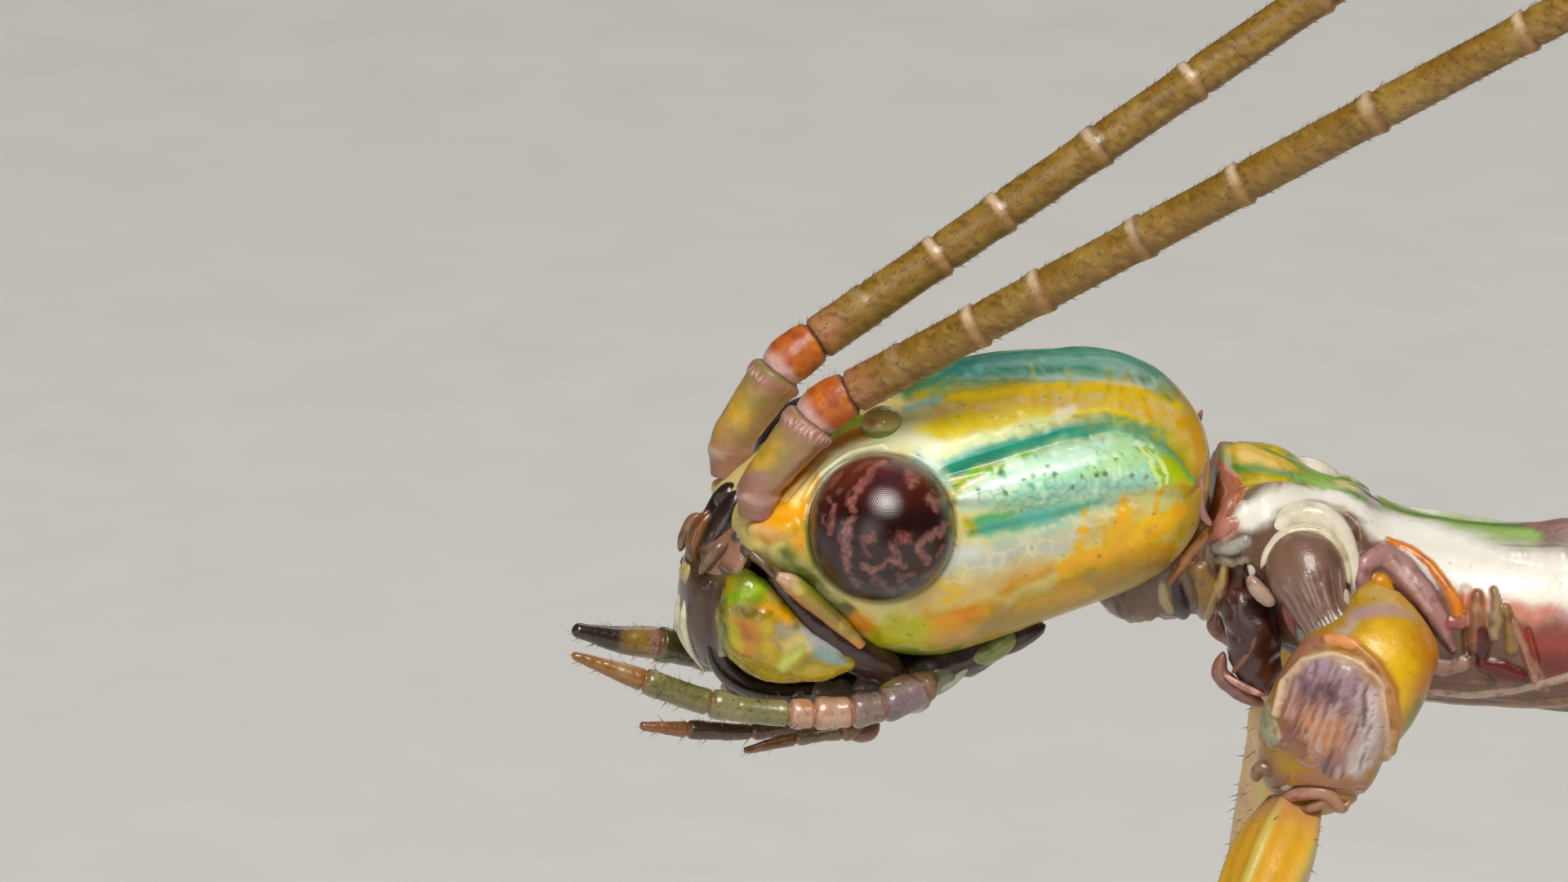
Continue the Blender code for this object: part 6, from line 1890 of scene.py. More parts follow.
# Collars and rolls that stand off the flank: colour, second colour, and a path of x, side, z and radius
flankRolls = [
    # front lip of the gland
    ("#a8766a", "#cfa598", [(0, 0.95, 0.73, 0.041), (-0.06, 0.98, 0.53, 0.052), (-0.08, 1, 0.27, 0.057),
        (-0.05, 1, 0.03, 0.062), (0.06, 1, -0.13, 0.062)]),
    # outer collar of the hip socket
    ("#ece4cf", "#cfc4a8", [(0.56, 1.11, -0.77, 0.094), (0.57, 1.04, -0.57, 0.121),
        (0.7, 0.96, -0.34, 0.147), (0.91, 0.89, -0.14, 0.161), (1.15, 0.86, -0.05, 0.174),
        (1.41, 0.87, -0.07, 0.174), (1.61, 0.92, -0.23, 0.147), (1.73, 0.99, -0.44, 0.121),
        (1.8, 1.08, -0.68, 0.107), (1.82, 1.15, -0.91, 0.094), (1.77, 1.2, -1.1, 0.08)]),
    # second collar
    ("#e6dcc0", "#b8a272", [(0.66, 1.19, -0.62, 0.062), (0.77, 1.11, -0.4, 0.082),
        (0.95, 1.06, -0.24, 0.093), (1.17, 1.04, -0.19, 0.093), (1.39, 1.05, -0.22, 0.093),
        (1.57, 1.1, -0.35, 0.082), (1.68, 1.16, -0.55, 0.072), (1.74, 1.25, -0.81, 0.062)]),
    # amber inner edge
    ("#a88a4a", "#c98432", [(0.74, 1.31, -0.58, 0.031), (0.86, 1.25, -0.41, 0.037),
        (1.05, 1.22, -0.33, 0.037), (1.27, 1.23, -0.34, 0.035), (1.47, 1.25, -0.41, 0.033),
        (1.62, 1.31, -0.57, 0.031), (1.69, 1.38, -0.79, 0.027)]),
    # mauve film
    ("#8f6f64", "#5c4038", [(0.87, 1.16, -0.7, 0.175), (1.13, 1.16, -0.74, 0.33),
        (1.45, 1.16, -0.82, 0.278), (1.59, 1.16, -0.91, 0.144)]),
    # film fold
    ("#a88e84", "#6c5248", [(0.81, 1.4, -0.76, 0.062), (1.09, 1.5, -0.69, 0.082),
        (1.41, 1.46, -0.77, 0.072)]),
    ("#a68a7e", "#6c5248", [(0.85, 1.4, -0.53, 0.052), (1.15, 1.48, -0.44, 0.062),
        (1.47, 1.44, -0.56, 0.052)]),
    # cream fold
    ("#b59a86", "#7c5c4c", [(0.51, 1.24, -0.69, 0.072), (0.63, 1.28, -0.87, 0.103),
        (0.83, 1.3, -1.05, 0.093)]),
    # red brown edge
    ("#8c3e2e", "#5e261c", [(0.95, 1.28, -0.95, 0.093), (1.04, 1.34, -1.19, 0.103),
        (1.13, 1.4, -1.42, 0.082)]),
    # grey clear neck of the hip
    ("#96948a", "#6c6a60", [(1.25, 1.36, -1.01, 0.206), (1.31, 1.44, -1.24, 0.227),
        (1.27, 1.54, -1.52, 0.206)]),
    # pale side of it
    ("#cdc0b2", "#9c8c80", [(1.67, 1.36, -0.8, 0.103), (1.61, 1.44, -1.06, 0.113),
        (1.49, 1.5, -1.3, 0.093)]),
    # throat skin
    ("#3c1a12", "#5c2c20", [(0.25, 0.84, -0.95, 0.247), (0.55, 0.9, -1.39, 0.33),
        (0.65, 0.9, -1.94, 0.309), (0.91, 0.96, -2.32, 0.227)]),
    # breast fold
    ("#8c5e4e", "#5c352b", [(0.23, 0.86, -1.8, 0.072), (0.19, 0.9, -2.06, 0.113),
        (0.37, 0.96, -2.23, 0.113), (0.73, 1.04, -2.44, 0.093)]),
    # pink edge of the fold
    ("#c49080", "#8c5c50", [(0.23, 1.06, -2.03, 0.041), (0.45, 1.1, -2.16, 0.046),
        (0.73, 1.14, -2.28, 0.041)]),
    # rib of the throat
    ("#7c4c3c", "#4c2c22", [(0.65, 1.16, -1.26, 0.052), (0.56, 1.16, -1.66, 0.062),
        (0.33, 1.1, -2, 0.052)]),
]

# Lips and lobes that grow out of the skin: colour, second colour, and a path of along, up and radius
flankFolds = [
    # granular face of the gland
    ("#a06a58", "#c99a88", [(0.04, 0.41, 0.041), (0.21, 0.28, 0.072), (0.32, 0.11, 0.103),
        (0.36, -0.03, 0.103), (0.26, -0.23, 0.093), (0.14, -0.43, 0.072)]),
    # orange edge of the gland
    ("#b5704a", "#8a4428", [(0.07, 0.42, 0.027), (0.28, 0.26, 0.029), (0.44, 0.01, 0.031),
        (0.37, -0.14, 0.027)]),
    # pit of the gland
    ("#4a1e10", "#70341a", [(0.1, 0.28, 0.052), (0.12, -0.02, 0.082), (0.1, -0.34, 0.052)]),
    # pink arm below the gland
    ("#b98072", "#96503e", [(-0.01, -0.63, 0.072), (0.13, -0.53, 0.103), (0.29, -0.43, 0.093)]),
    # amber side plate
    ("#a5703c", "#6c3a20", [(0.07, -0.5, 0.062), (-0.09, -0.67, 0.082), (-0.25, -0.9, 0.072),
        (-0.41, -1.16, 0.052)]),
    # red seam
    ("#7a3c28", "#4c2418", [(-0.09, -0.55, 0.041), (-0.29, -0.77, 0.052), (-0.51, -0.97, 0.041)]),
    # cream tip, paled further as a painted glint
    ("#a8946c", "#6c5a40", [(-0.53, -1.22, 0.052), (-0.51, -1.41, 0.062), (-0.43, -1.54, 0.052)]),
    # black hinge
    ("#1f1218", "#3c2a2c", [(-0.35, -1.24, 0.072), (-0.29, -1.47, 0.093), (-0.25, -1.65, 0.072)]),
    # clear amber lobe
    ("#8a6832", "#5c4422", [(-0.09, -1.05, 0.134), (0.03, -1.28, 0.155), (0.01, -1.56, 0.103)]),
    # its pale edge
    ("#b69a68", "#8c7040", [(0.22, -0.93, 0.041), (0.18, -1.22, 0.062), (0.03, -1.55, 0.052)]),
    # grey lobe before the socket
    ("#a8a49a", "#75726a", [(0.13, -0.74, 0.072), (0.31, -0.74, 0.093), (0.47, -0.66, 0.082)]),
    # olive fold under it
    ("#837c66", "#5a5444", [(0.15, -0.9, 0.052), (0.33, -0.95, 0.062), (0.49, -0.9, 0.052)]),
    # cream column behind the socket
    ("#b8a48e", "#806a58", [(1.77, -1.51, 0.103), (1.87, -1.3, 0.113), (1.93, -1.05, 0.082)]),
    # mauve arch
    ("#a98480", "#6f4c48", [(1.87, -1.18, 0.093), (1.95, -0.93, 0.124), (2.16, -0.8, 0.134),
        (2.39, -0.99, 0.155), (2.62, -1.3, 0.155), (2.83, -1.64, 0.124), (3.01, -2.02, 0.062)]),
    # amber hinge block
    ("#d39a44", "#b8752e", [(2.13, -1.18, 0.113), (2.16, -1.28, 0.144), (2.18, -1.43, 0.103)]),
    # orange border of the arch
    ("#cf8232", "#a8581c", [(2.23, -0.64, 0.041), (2.5, -0.75, 0.052), (2.73, -0.94, 0.057),
        (2.91, -1.2, 0.062), (3.06, -1.45, 0.072), (3.09, -1.64, 0.062)]),
    # dark fold of the arch
    ("#5a2c20", "#3a1c16", [(2.29, -1.22, 0.025), (2.55, -1.5, 0.031), (2.82, -1.85, 0.031),
        (3.01, -2.07, 0.027)]),
    # pale fold of the arch
    ("#c4a49c", "#9a7670", [(2.25, -0.95, 0.031), (2.49, -1.22, 0.041), (2.73, -1.54, 0.041)]),
    # mauve tip
    ("#9c5c58", "#6c3838", [(2.99, -1.7, 0.072), (3.13, -1.72, 0.082), (3.23, -1.58, 0.052)]),
    # spiracle lobe
    ("#8c6048", "#b48c6c", [(3.31, -1.35, 0.082), (3.31, -1.6, 0.113), (3.33, -1.98, 0.124)]),
    # pale ridge of the lobe
    ("#a08868", "#644c38", [(3.51, -1.28, 0.052), (3.56, -1.54, 0.082), (3.51, -1.87, 0.072)]),
    # dark red droplet
    ("#42140f", "#6c241a", [(3.37, -1.81, 0.072), (3.4, -1.98, 0.103), (3.37, -2.11, 0.072)]),
    # rear lobe
    ("#8f7048", "#5c3e2a", [(3.65, -1.51, 0.062), (3.73, -1.79, 0.093), (3.73, -2.04, 0.082)]),
    # dark red base
    ("#5c1416", "#34090c", [(3.39, -2.23, 0.093), (3.61, -2.32, 0.144), (3.89, -2.4, 0.093)]),
    # pale fold line
    ("#a8806c", "#74503f", [(3.75, -1.66, 0.031), (3.88, -2, 0.041), (4.07, -2.54, 0.041)]),
    ("#98705e", "#6a4638", [(3.93, -2.1, 0.031), (4.09, -2.36, 0.035), (4.19, -2.59, 0.031)]),
    # membrane in front of the breast
    ("#9c7c6c", "#5c4034", [(2.71, -2.23, 0.103), (2.91, -2.29, 0.103), (3.17, -2.23, 0.093)]),
    # breast wrinkle
    ("#b49c8c", "#6c4c3c", [(2.7, -2.59, 0.041), (3.25, -2.65, 0.052), (3.85, -2.57, 0.052),
        (4.55, -2.36, 0.052)]),
    ("#8a6a4c", "#5c4030", [(2.75, -2.75, 0.052), (3.55, -2.82, 0.062), (4.55, -2.71, 0.072)]),
    ("#7c5c48", "#4c3024", [(3.25, -2.46, 0.041), (3.75, -2.5, 0.041)]),
]


def flankSpots(points):
    # Along and up on the side of the body, as seen square to a flank that leans back
    up = points[:, 2] - 0.325 * np.abs(points[:, 1])
    # The white band lies a little lower on the far side of the narrow back
    farCrest = smoothStep(0, 0.3, points[:, 1]) * smoothStep(1.4, 2.1, points[:, 0])
    up = up + 0.34 * farCrest * smoothStep(-1.15, -0.75, points[:, 2])
    return np.stack([points[:, 0], up], axis=1)


def makeProthorax(material):
    look = prothoraxShape
    rows = np.array(look["rows"])
    grid = bodyGrid(look["rows"], np.linspace(rows[0, 0], rows[-1, 0], look["stations"]), look["around"])
    flat = grid.reshape(-1, 3)
    spots = flankSpots(flat)
    relief = np.zeros(len(flat))
    side = smoothStep(0.35, 0.7, np.abs(flat[:, 1]))
    for height, path in prothoraxRelief:
        raiseAlong(relief, spots, path, height)
    relief *= side
    under = smoothStep(-1.6, -2.4, spots[:, 1])
    wrinkle = layeredNoise(flat * (0.22, 1, 1), 0.16, 3, 3) * 1.6
    relief += 0.030 * wrinkle * under
    relief += 0.008 * layeredNoise(flat, 0.30, 3, 4) + 0.004 * layeredNoise(flat, 0.08, 2, 9)
    paint = np.tile(linearColour("#6b4f3e"), (len(flat), 1))
    paintStrokes(paint, flat, spots, prothoraxStrokes, 20)
    raised = relief.copy()
    embossFolds(flat, spots, raised, paint, flankFolds, 40)
    grid = reliefOut(grid, relief + (raised - relief) * side)
    # Painted shade in the troughs of the wrinkles underneath
    layPaint(paint, "#3f2a20", under * smoothStep(0.1, 0.9, -wrinkle) * 0.5)
    freckles = smoothStep(0.84, 0.92, latticeNoise(flat, 0.05, 71))
    layPaint(paint, "#7a5a20", freckles * 0.4)
    skin = gridMesh("prothoraxSkin", grid, {"pigment": vivid(paint, 1.2)})
    settle(skin, "thorax", material, "prothorax")


def makeFlank(side, sign, material, wet):
    lobes = makeLobes(f"flankRolls{side}", flankRolls, sign, asIs, 70, 30, 46, 0.07)
    settle(lobes, "thorax", wet)
    rolls = makeLobes(f"hipRolls{side}", coxaRolls, sign, asIs, 90, 30, 46, 0.07)
    settle(rolls, "leg", material)


neckLook = {
    # x, top, bottom, half width
    "rows": [
        (-1.30, -0.95, -1.40, 0.30),
        (-1.10, -0.80, -1.56, 0.66),
        (-0.70, -0.50, -1.60, 0.82),
        (-0.20, -0.20, -1.54, 0.86),
        (0.30, -0.10, -1.50, 0.88),
        (0.60, -0.20, -1.50, 0.80),
    ],
    "stations": 110,
    "around": 150,
}


def makeNeck(material):
    rows = neckLook["rows"]
    grid = bodyGrid(rows, np.linspace(rows[0][0], rows[-1][0], neckLook["stations"]), neckLook["around"])
    flat = grid.reshape(-1, 3)
    folds = layeredNoise(flat * (1, 0.35, 0.30), 0.17, 3, 3) * 1.6
    relief = 0.035 * folds + 0.03 * layeredNoise(flat, 0.3, 3, 7)
    paint = np.tile(linearColour("#6a5040"), (len(flat), 1))
    # Painted light and shade: fold crests lighter, troughs darker
    layPaint(paint, "#9a7a5e", smoothStep(0.3, 1.0, folds) * 0.7)
    layPaint(paint, "#2e1d16", smoothStep(0.3, 1.0, -folds) * 0.7)
    layPaint(paint, "#a08a4a", smoothStep(0.2, 0.6, layeredNoise(flat, 0.4, 2, 5)) * 0.5)
    embossFolds(flat, flankSpots(flat), relief, paint, flankFolds, 40)
    grid = reliefOut(grid, relief)
    skin = gridMesh("neckSkin", grid, {"pigment": paint})
    settle(skin, "membrane", material, "neck")


socketLook = {
    # x, side, z, radius of the folded collar from which the fore hip hangs
    "knots": [
        (1.12, 0.72, -0.40, 0.10),
        (1.13, 0.84, -0.46, 0.34),
        (1.16, 1.00, -0.56, 0.46),
        (1.20, 1.14, -0.66, 0.48),
        (1.26, 1.28, -0.78, 0.45),
        (1.32, 1.40, -0.92, 0.38),
        (1.38, 1.48, -1.06, 0.33),
        (1.46, 1.56, -1.20, 0.32),
        (1.56, 1.64, -1.34, 0.36),
        (1.66, 1.74, -1.48, 0.42),
    ]
}


def makeSocket(side, sign, material):
    rows, count = 140, 120
    points = smoothPath(np.array(socketLook["knots"]) * (1, sign, 1, 1), rows)
    grid = sweptGrid(points[:, :3], points[:, 3] * 1.02, points[:, 3], count)
    flat = grid.reshape(-1, 3)
    t = np.repeat(np.linspace(0, 1, rows), count)
    turn = np.tile(np.linspace(0, 2 * math.pi, count, endpoint=False), rows)
    inner = smoothStep(0.42, 0.5, t)
    noise = layeredNoise(flat, 0.35, 3, 3)
    fan = np.stack([4.2 * np.cos(turn), 4.2 * np.sin(turn), 1.6 * t], axis=1)
    stria = 1.8 * layeredNoise(fan, 0.30, 3, 5)
    relief = 0.012 * noise + inner * (0.014 * stria + 0.016 * layeredNoise(flat, 0.15, 2, 5))
    grid = reliefOut(grid, relief)
    paint = np.tile(linearColour("#80604f"), (len(flat), 1))
    layPaint(paint, "#5c4038", smoothStep(0.0, 0.5, noise) * 0.7)
    # Painted light and shade on the striae: ridges paler, grooves darker
    layPaint(paint, "#a8958a", inner * smoothStep(0.1, 0.9, stria) * 0.7)
    layPaint(paint, "#4c342c", inner * smoothStep(0.1, 0.9, -stria) * 0.7)
    layPaint(paint, "#96948a", smoothStep(0.74, 0.82, t) * 0.9)
    shape = gridMesh(f"hipSocket{side}", grid, {"pigment": paint})
    settle(shape, "thorax", material)


hipLook = {
    "fore": [
        (2.18, 1.20, -0.84, 0.20),
        (2.22, 1.34, -0.98, 0.40),
        (2.24, 1.60, -1.24, 0.62),
        (1.98, 1.80, -1.56, 0.80),
        (1.72, 1.92, -1.98, 0.86),
        (1.43, 2.00, -2.47, 0.79),
        (1.31, 2.01, -2.85, 0.73),
        (1.14, 1.99, -3.27, 0.50),
        (1.10, 1.98, -3.38, 0.36),
    ],
    "mid": [
        (10.20, 1.00, -2.80, 0.50),
        (10.35, 1.50, -3.20, 0.80),
        (10.50, 1.95, -3.66, 0.82),
        (10.62, 2.30, -4.00, 0.70),
        (10.70, 2.50, -4.20, 0.46),
    ],
    "hind": [
        (17.80, 1.10, -3.40, 0.56),
        (18.08, 1.65, -3.95, 0.90),
        (18.30, 2.12, -4.42, 0.90),
        (18.50, 2.48, -4.78, 0.74),
        (18.60, 2.66, -4.96, 0.48),
    ],
}

coxaStrokes = [
    # yellow outer face
    ("#cf9e14", 0.6, 0.2, [(2.15, -1.87, 0.309), (2.4, -2.31, 0.33), (2.27, -2.84, 0.268),
        (2.11, -3.28, 0.186)]),
    # brightest yellow
    ("#e2b818", 0.8, 0.3, [(2.05, -1.98, 0.165), (2.25, -2.23, 0.186), (2.25, -2.65, 0.124)]),
    # orange back edge
    ("#b9781c", 0.7, 0.3, [(2.61, -1.85, 0.134), (2.72, -2.12, 0.103), (2.61, -2.54, 0.103)]),
    # olive lower back
    ("#7c7a1c", 0.7, 0.3, [(2.63, -2.75, 0.093), (2.41, -3.11, 0.103), (2.21, -3.47, 0.093)]),
    # mauve cap
    ("#a88c88", 0.6, 0.2, [(1.8, -1.6, 0.093), (2.13, -1.5, 0.124), (2.49, -1.54, 0.103)]),
    # white mauve
    ("#b8a49a", 0.8, 0.3, [(1.75, -1.7, 0.062), (1.63, -1.84, 0.082)]),
    # film
    ("#8f6c68", 0.25, 0.08, [(1.37, -2.38, 0.227), (1.27, -2.71, 0.412), (1.51, -2.86, 0.598),
        (1.65, -3.15, 0.495), (1.55, -3.45, 0.247)]),
    # brown pink front of the film
    ("#855446", 0.9, 0.4, [(1.02, -2.59, 0.124), (0.95, -2.94, 0.134), (1.07, -3.24, 0.124)]),
    # peach of the film
    ("#b98058", 1.0, 0.5, [(1.23, -2.97, 0.134), (1.5, -3.11, 0.175), (1.35, -3.24, 0.124)]),
    # lilac top of the film
    ("#a58c98", 0.9, 0.4, [(1.35, -2.26, 0.144), (1.65, -2.31, 0.165), (1.77, -2.54, 0.144)]),
    # dark mauve flecks
    ("#6f4e5c", 0.8, 0.7, [(1.13, -2.4, 0.052), (1.23, -2.59, 0.062)]),
    ("#6a4856", 0.8, 0.7, [(1.43, -2.52, 0.082), (1.54, -2.71, 0.082)]),
    # silver side of the film
    ("#cfc2c0", 0.9, 0.4, [(1.92, -2.63, 0.082), (1.99, -3.01, 0.113), (1.89, -3.42, 0.124),
        (1.77, -3.63, 0.072)]),
    # dark line in the film
    ("#76565a", 0.6, 0.4, [(1.8, -2.4, 0.027), (1.86, -2.69, 0.027), (1.86, -3.03, 0.021)]),
    # pink edge of the film
    ("#9c5448", 0.8, 0.3, [(1.95, -2.25, 0.052), (2.12, -2.54, 0.052)]),
    # pale rim
    ("#d8bea0", 0.6, 0.3, [(0.81, -2.86, 0.031), (0.92, -2.44, 0.041), (1.15, -2.17, 0.041),
        (1.51, -2.08, 0.041), (1.85, -2.19, 0.041), (2.09, -2.52, 0.041), (2.17, -3.01, 0.041),
        (2.15, -3.43, 0.031)]),
    # peach ridge
    ("#b07a48", 0.6, 0.2, [(1.49, -1.9, 0.062), (1.75, -1.96, 0.072), (2.03, -2.22, 0.072),
        (2.21, -2.54, 0.072), (2.28, -3.03, 0.072)]),
    # grey front lobes
    ("#8c866a", 0.7, 0.3, [(0.65, -2.8, 0.082), (0.69, -3.1, 0.093)]),
    # mauve skin over the film
    ("#9a6c60", 0.8, 0.3, [(0.85, -2.31, 0.082), (1.15, -2, 0.093), (1.37, -1.91, 0.072)]),
    # tan lower front
    ("#8c6650", 0.7, 0.3, [(0.7, -3.52, 0.144), (0.85, -3.79, 0.124)]),
    # peach rolls
    ("#a07058", 0.7, 0.3, [(1.15, -3.7, 0.082), (1.65, -3.76, 0.103), (1.95, -3.81, 0.082)]),
]

coxaRelief = [
    # film sunk in
    (-0.05, [(1.37, -2.38, 0.247), (1.27, -2.71, 0.412), (1.51, -2.86, 0.577), (1.65, -3.15, 0.495),
        (1.55, -3.45, 0.268)]),
    # rim of the film
    (0.05, [(0.81, -2.86, 0.052), (0.92, -2.44, 0.062), (1.15, -2.17, 0.062), (1.51, -2.08, 0.062),
        (1.85, -2.19, 0.062), (2.09, -2.52, 0.062), (2.17, -3.01, 0.062), (2.15, -3.43, 0.052)]),
    # ridge over it
    (0.07, [(1.43, -1.9, 0.072), (1.75, -1.96, 0.082), (2.03, -2.22, 0.082), (2.21, -2.54, 0.082),
        (2.28, -3.03, 0.082), (2.21, -3.42, 0.062)]),
    # crease between
    (-0.04, [(1.25, -2, 0.041), (1.65, -2.04, 0.041), (1.97, -2.27, 0.041), (2.15, -2.59, 0.041),
        (2.22, -3.03, 0.041)]),
    # crease over the knee
    (-0.06, [(0.75, -3.87, 0.072), (1.25, -3.81, 0.062), (1.85, -3.91, 0.072)]),
]

coxaRolls = [
    # first roll
    ("#b5866a", "#845040", [(1.05, 2.3, -2.93, 0.062), (1.29, 2.4, -2.85, 0.093),
        (1.67, 2.42, -2.91, 0.103), (1.95, 2.3, -3.06, 0.082)]),
    # second roll
    ("#b08068", "#7c4a3c", [(0.87, 2.3, -3.23, 0.072), (1.15, 2.42, -3.08, 0.093),
        (1.45, 2.46, -3.07, 0.093), (1.65, 2.36, -3.29, 0.082), (1.75, 2.34, -3.19, 0.062)]),
    # third roll
    ("#a87452", "#744632", [(1.03, 2.36, -3.33, 0.052), (1.25, 2.44, -3.27, 0.062),
        (1.45, 2.48, -3.15, 0.052)]),
    # point of the roll
    ("#c49464", "#966040", [(1.13, 2.3, -3.61, 0.052), (1.25, 2.34, -3.49, 0.062),
        (1.37, 2.36, -3.38, 0.052)]),
    # front knob
    ("#8c6c50", "#54392c", [(0.57, 2.18, -3.01, 0.082), (0.65, 2.24, -2.83, 0.093),
        (0.82, 2.26, -2.9, 0.082)]),
    # grey knob, its pale grey partly a painted glint
    ("#b9a9a2", "#7c6c68", [(0.97, 2.36, -2.79, 0.062), (1, 2.36, -2.96, 0.072),
        (0.91, 2.3, -3.08, 0.052)]),
]

coxaFolds = [
    # knob at the top of the ridge
    ("#dc9a64", "#c07c48", [(1.47, -1.9, 0.072), (1.6, -1.91, 0.082), (1.75, -1.97, 0.062)]),
    # grey front lobe
    ("#8c866a", "#b0ab92", [(0.68, -2.8, 0.082), (0.73, -3.02, 0.103), (0.81, -3.22, 0.082)]),
    # amber front lobe
    ("#a88c3c", "#7c6428", [(0.59, -2.78, 0.062), (0.62, -2.99, 0.072), (0.67, -3.2, 0.062)]),
    # ring pit
    ("#a87e70", "#6c4a42", [(1.12, -3.44, 0.031), (1.17, -3.35, 0.031), (1.27, -3.33, 0.031),
        (1.34, -3.42, 0.031), (1.3, -3.51, 0.031), (1.2, -3.53, 0.031), (1.13, -3.47, 0.031)]),
    ("#a07668", "#64443c", [(0.87, -3.24, 0.027), (0.91, -3.17, 0.027), (0.99, -3.15, 0.027),
        (1.03, -3.23, 0.027), (0.97, -3.3, 0.027), (0.89, -3.28, 0.027)]),
]


def asIs(points):
    return points


def makeHip(pair, side, sign, material):
    knots = hipLook[pair]
    fine = pair == "fore"
    rows, count = (180, 190) if fine else (90, 90)
    points = smoothPath(np.array(knots) * (1, sign, 1, 1), rows)
    grid = sweptGrid(points[:, :3], points[:, 3], points[:, 3] * 0.9, count, 2.2)
    if fine:
        # Parallel sections, wider along the body than across it
        length = points[-1, :3] - points[0, :3]
        length /= np.linalg.norm(length)
        along = np.array((1.0, 0, 0)) - length * length[0]
        along /= np.linalg.norm(along)
        outward = np.cross(along, length) * sign
        turn = np.linspace(0, 2 * math.pi, count, endpoint=False)
        c, s = (np.sign(w) * np.abs(w) ** (2 / 2.2) for w in (np.cos(turn), np.sin(turn)))
        ring = along * c[:, None] + outward * s[:, None] * 0.86
        grid = points[:, None, :3] + ring[None] * points[:, 3, None, None]
    flat = grid.reshape(-1, 3)
    spots = flankSpots(flat)
    relief = 0.010 * layeredNoise(flat, 0.35, 3, 3) + 0.004 * layeredNoise(flat, 0.10, 2, 6)
    paint = np.tile(linearColour("#c2941c"), (len(flat), 1))
    if fine:
        outer = smoothStep(1.75, 2.15, np.abs(flat[:, 1]))
        bumps = np.zeros(len(flat))
        for height, path in coxaRelief:
            raiseAlong(bumps, spots, path, height)
        film = strokeMask(spots, coxaStrokes[6][3], 0.15)
        across = np.stack([spots[:, 0] - 0.33 * spots[:, 1], 0.16 * spots[:, 1], 0 * spots[:, 0]], axis=1)
        pleats = 1.9 * layeredNoise(across, 0.045, 3, 12) + 0.7 * layeredNoise(across, 0.13, 2, 13)
        front = np.tile(linearColour("#a8801f"), (len(flat), 1))
        paintStrokes(front, flat, spots, coxaStrokes, 40)
        # Painted light and shade on the pleats of the film: ridges paler, grooves darker
        layPaint(front, "#bfa8a0", film * smoothStep(0.2, 1.0, pleats) * 0.6)
        layPaint(front, "#4a2c2c", film * smoothStep(0.1, 0.9, -pleats) * 0.65)
        embossFolds(flat, spots, bumps, front, coxaFolds, 80)
        relief += outer * (bumps + film * (0.016 * pleats + 0.02 * layeredNoise(flat, 0.16, 2, 14)))
        paint += (front - paint) * smoothStep(1.5, 1.9, np.abs(flat[:, 1]))[:, None]
    noise = layeredNoise(flat, 0.5, 3, 22)
    layPaint(paint, "#8f9a2a", smoothStep(0.15, 0.7, noise) * (0.25 if fine else 0.5))
    layPaint(paint, "#6c4a1a", smoothStep(0.78, 0.88, latticeNoise(flat, 0.07, 25)) * 0.7)
    if not fine:
        layPaint(paint, "#b5623a", smoothStep(0.0, 0.5, layeredNoise(flat, 0.9, 2, 27)) * 0.5)
    grid = reliefOut(grid, relief)
    hip = gridMesh(f"hip{pair.title()}{side}", grid, {"pigment": vivid(paint)})
    settle(hip, "leg", material, f"hip_{pair}_{side.lower()}")


legLook = {
    # hip, femur direction and length, tibia heading and length, tarsus heading and length
    "foreLeft": (
        (1.13, -1.95, -3.35), (-0.35, -0.74, -0.60), 17.0, (-0.74, -0.67), 16.0, (-0.86, -0.51), 6.6
    ),
    "foreRight": ((1.25, 1.95, -3.35), (-0.04, 0.72, -0.69), 17.0, (-0.54, 0.84), 16.0, (-0.72, 0.69), 6.6),
    "midLeft": ((10.70, -2.55, -4.25), (0.16, -0.87, -0.46), 13.5, (0.25, -0.97), 14.6, (0.10, -0.99), 5.6),
    "midRight": ((10.70, 2.55, -4.25), (-0.04, 0.88, -0.47), 13.5, (0.10, 0.99), 14.6, (-0.15, 0.99), 5.6),
    "hindLeft": ((18.60, -2.70, -5.00), (0.62, -0.68, -0.39), 18.5, (0.70, -0.71), 19.0, (0.80, -0.60), 6.4),
    "hindRight": ((18.60, 2.70, -5.00), (0.70, 0.61, -0.37), 18.5, (0.62, 0.78), 19.0, (0.72, 0.69), 6.4),
}
femurGirth = {"fore": 0.50, "mid": 0.48, "hind": 0.52}
tibiaGirth = {"fore": 0.33, "mid": 0.32, "hind": 0.35}


def splitLegName(name):
    pair = name.replace("Left", "").replace("Right", "")
    return pair, name[len(pair) :]


def keeledGrid(path, girth, count, keels=5, sharp=0.16):
    # A limb whose section has blunt keels running along it
    grid = sweptGrid(path, girth, girth, count)
    middle = np.asarray(path)[:, None]
    angle = np.linspace(0, 2 * math.pi, count, endpoint=False)
    crest = np.abs(np.cos(angle * keels / 2)) ** 6
    scale = 1 - sharp * 0.5 + sharp * crest
    return middle + (grid - middle) * scale[None, :, None], np.tile(crest, len(path))


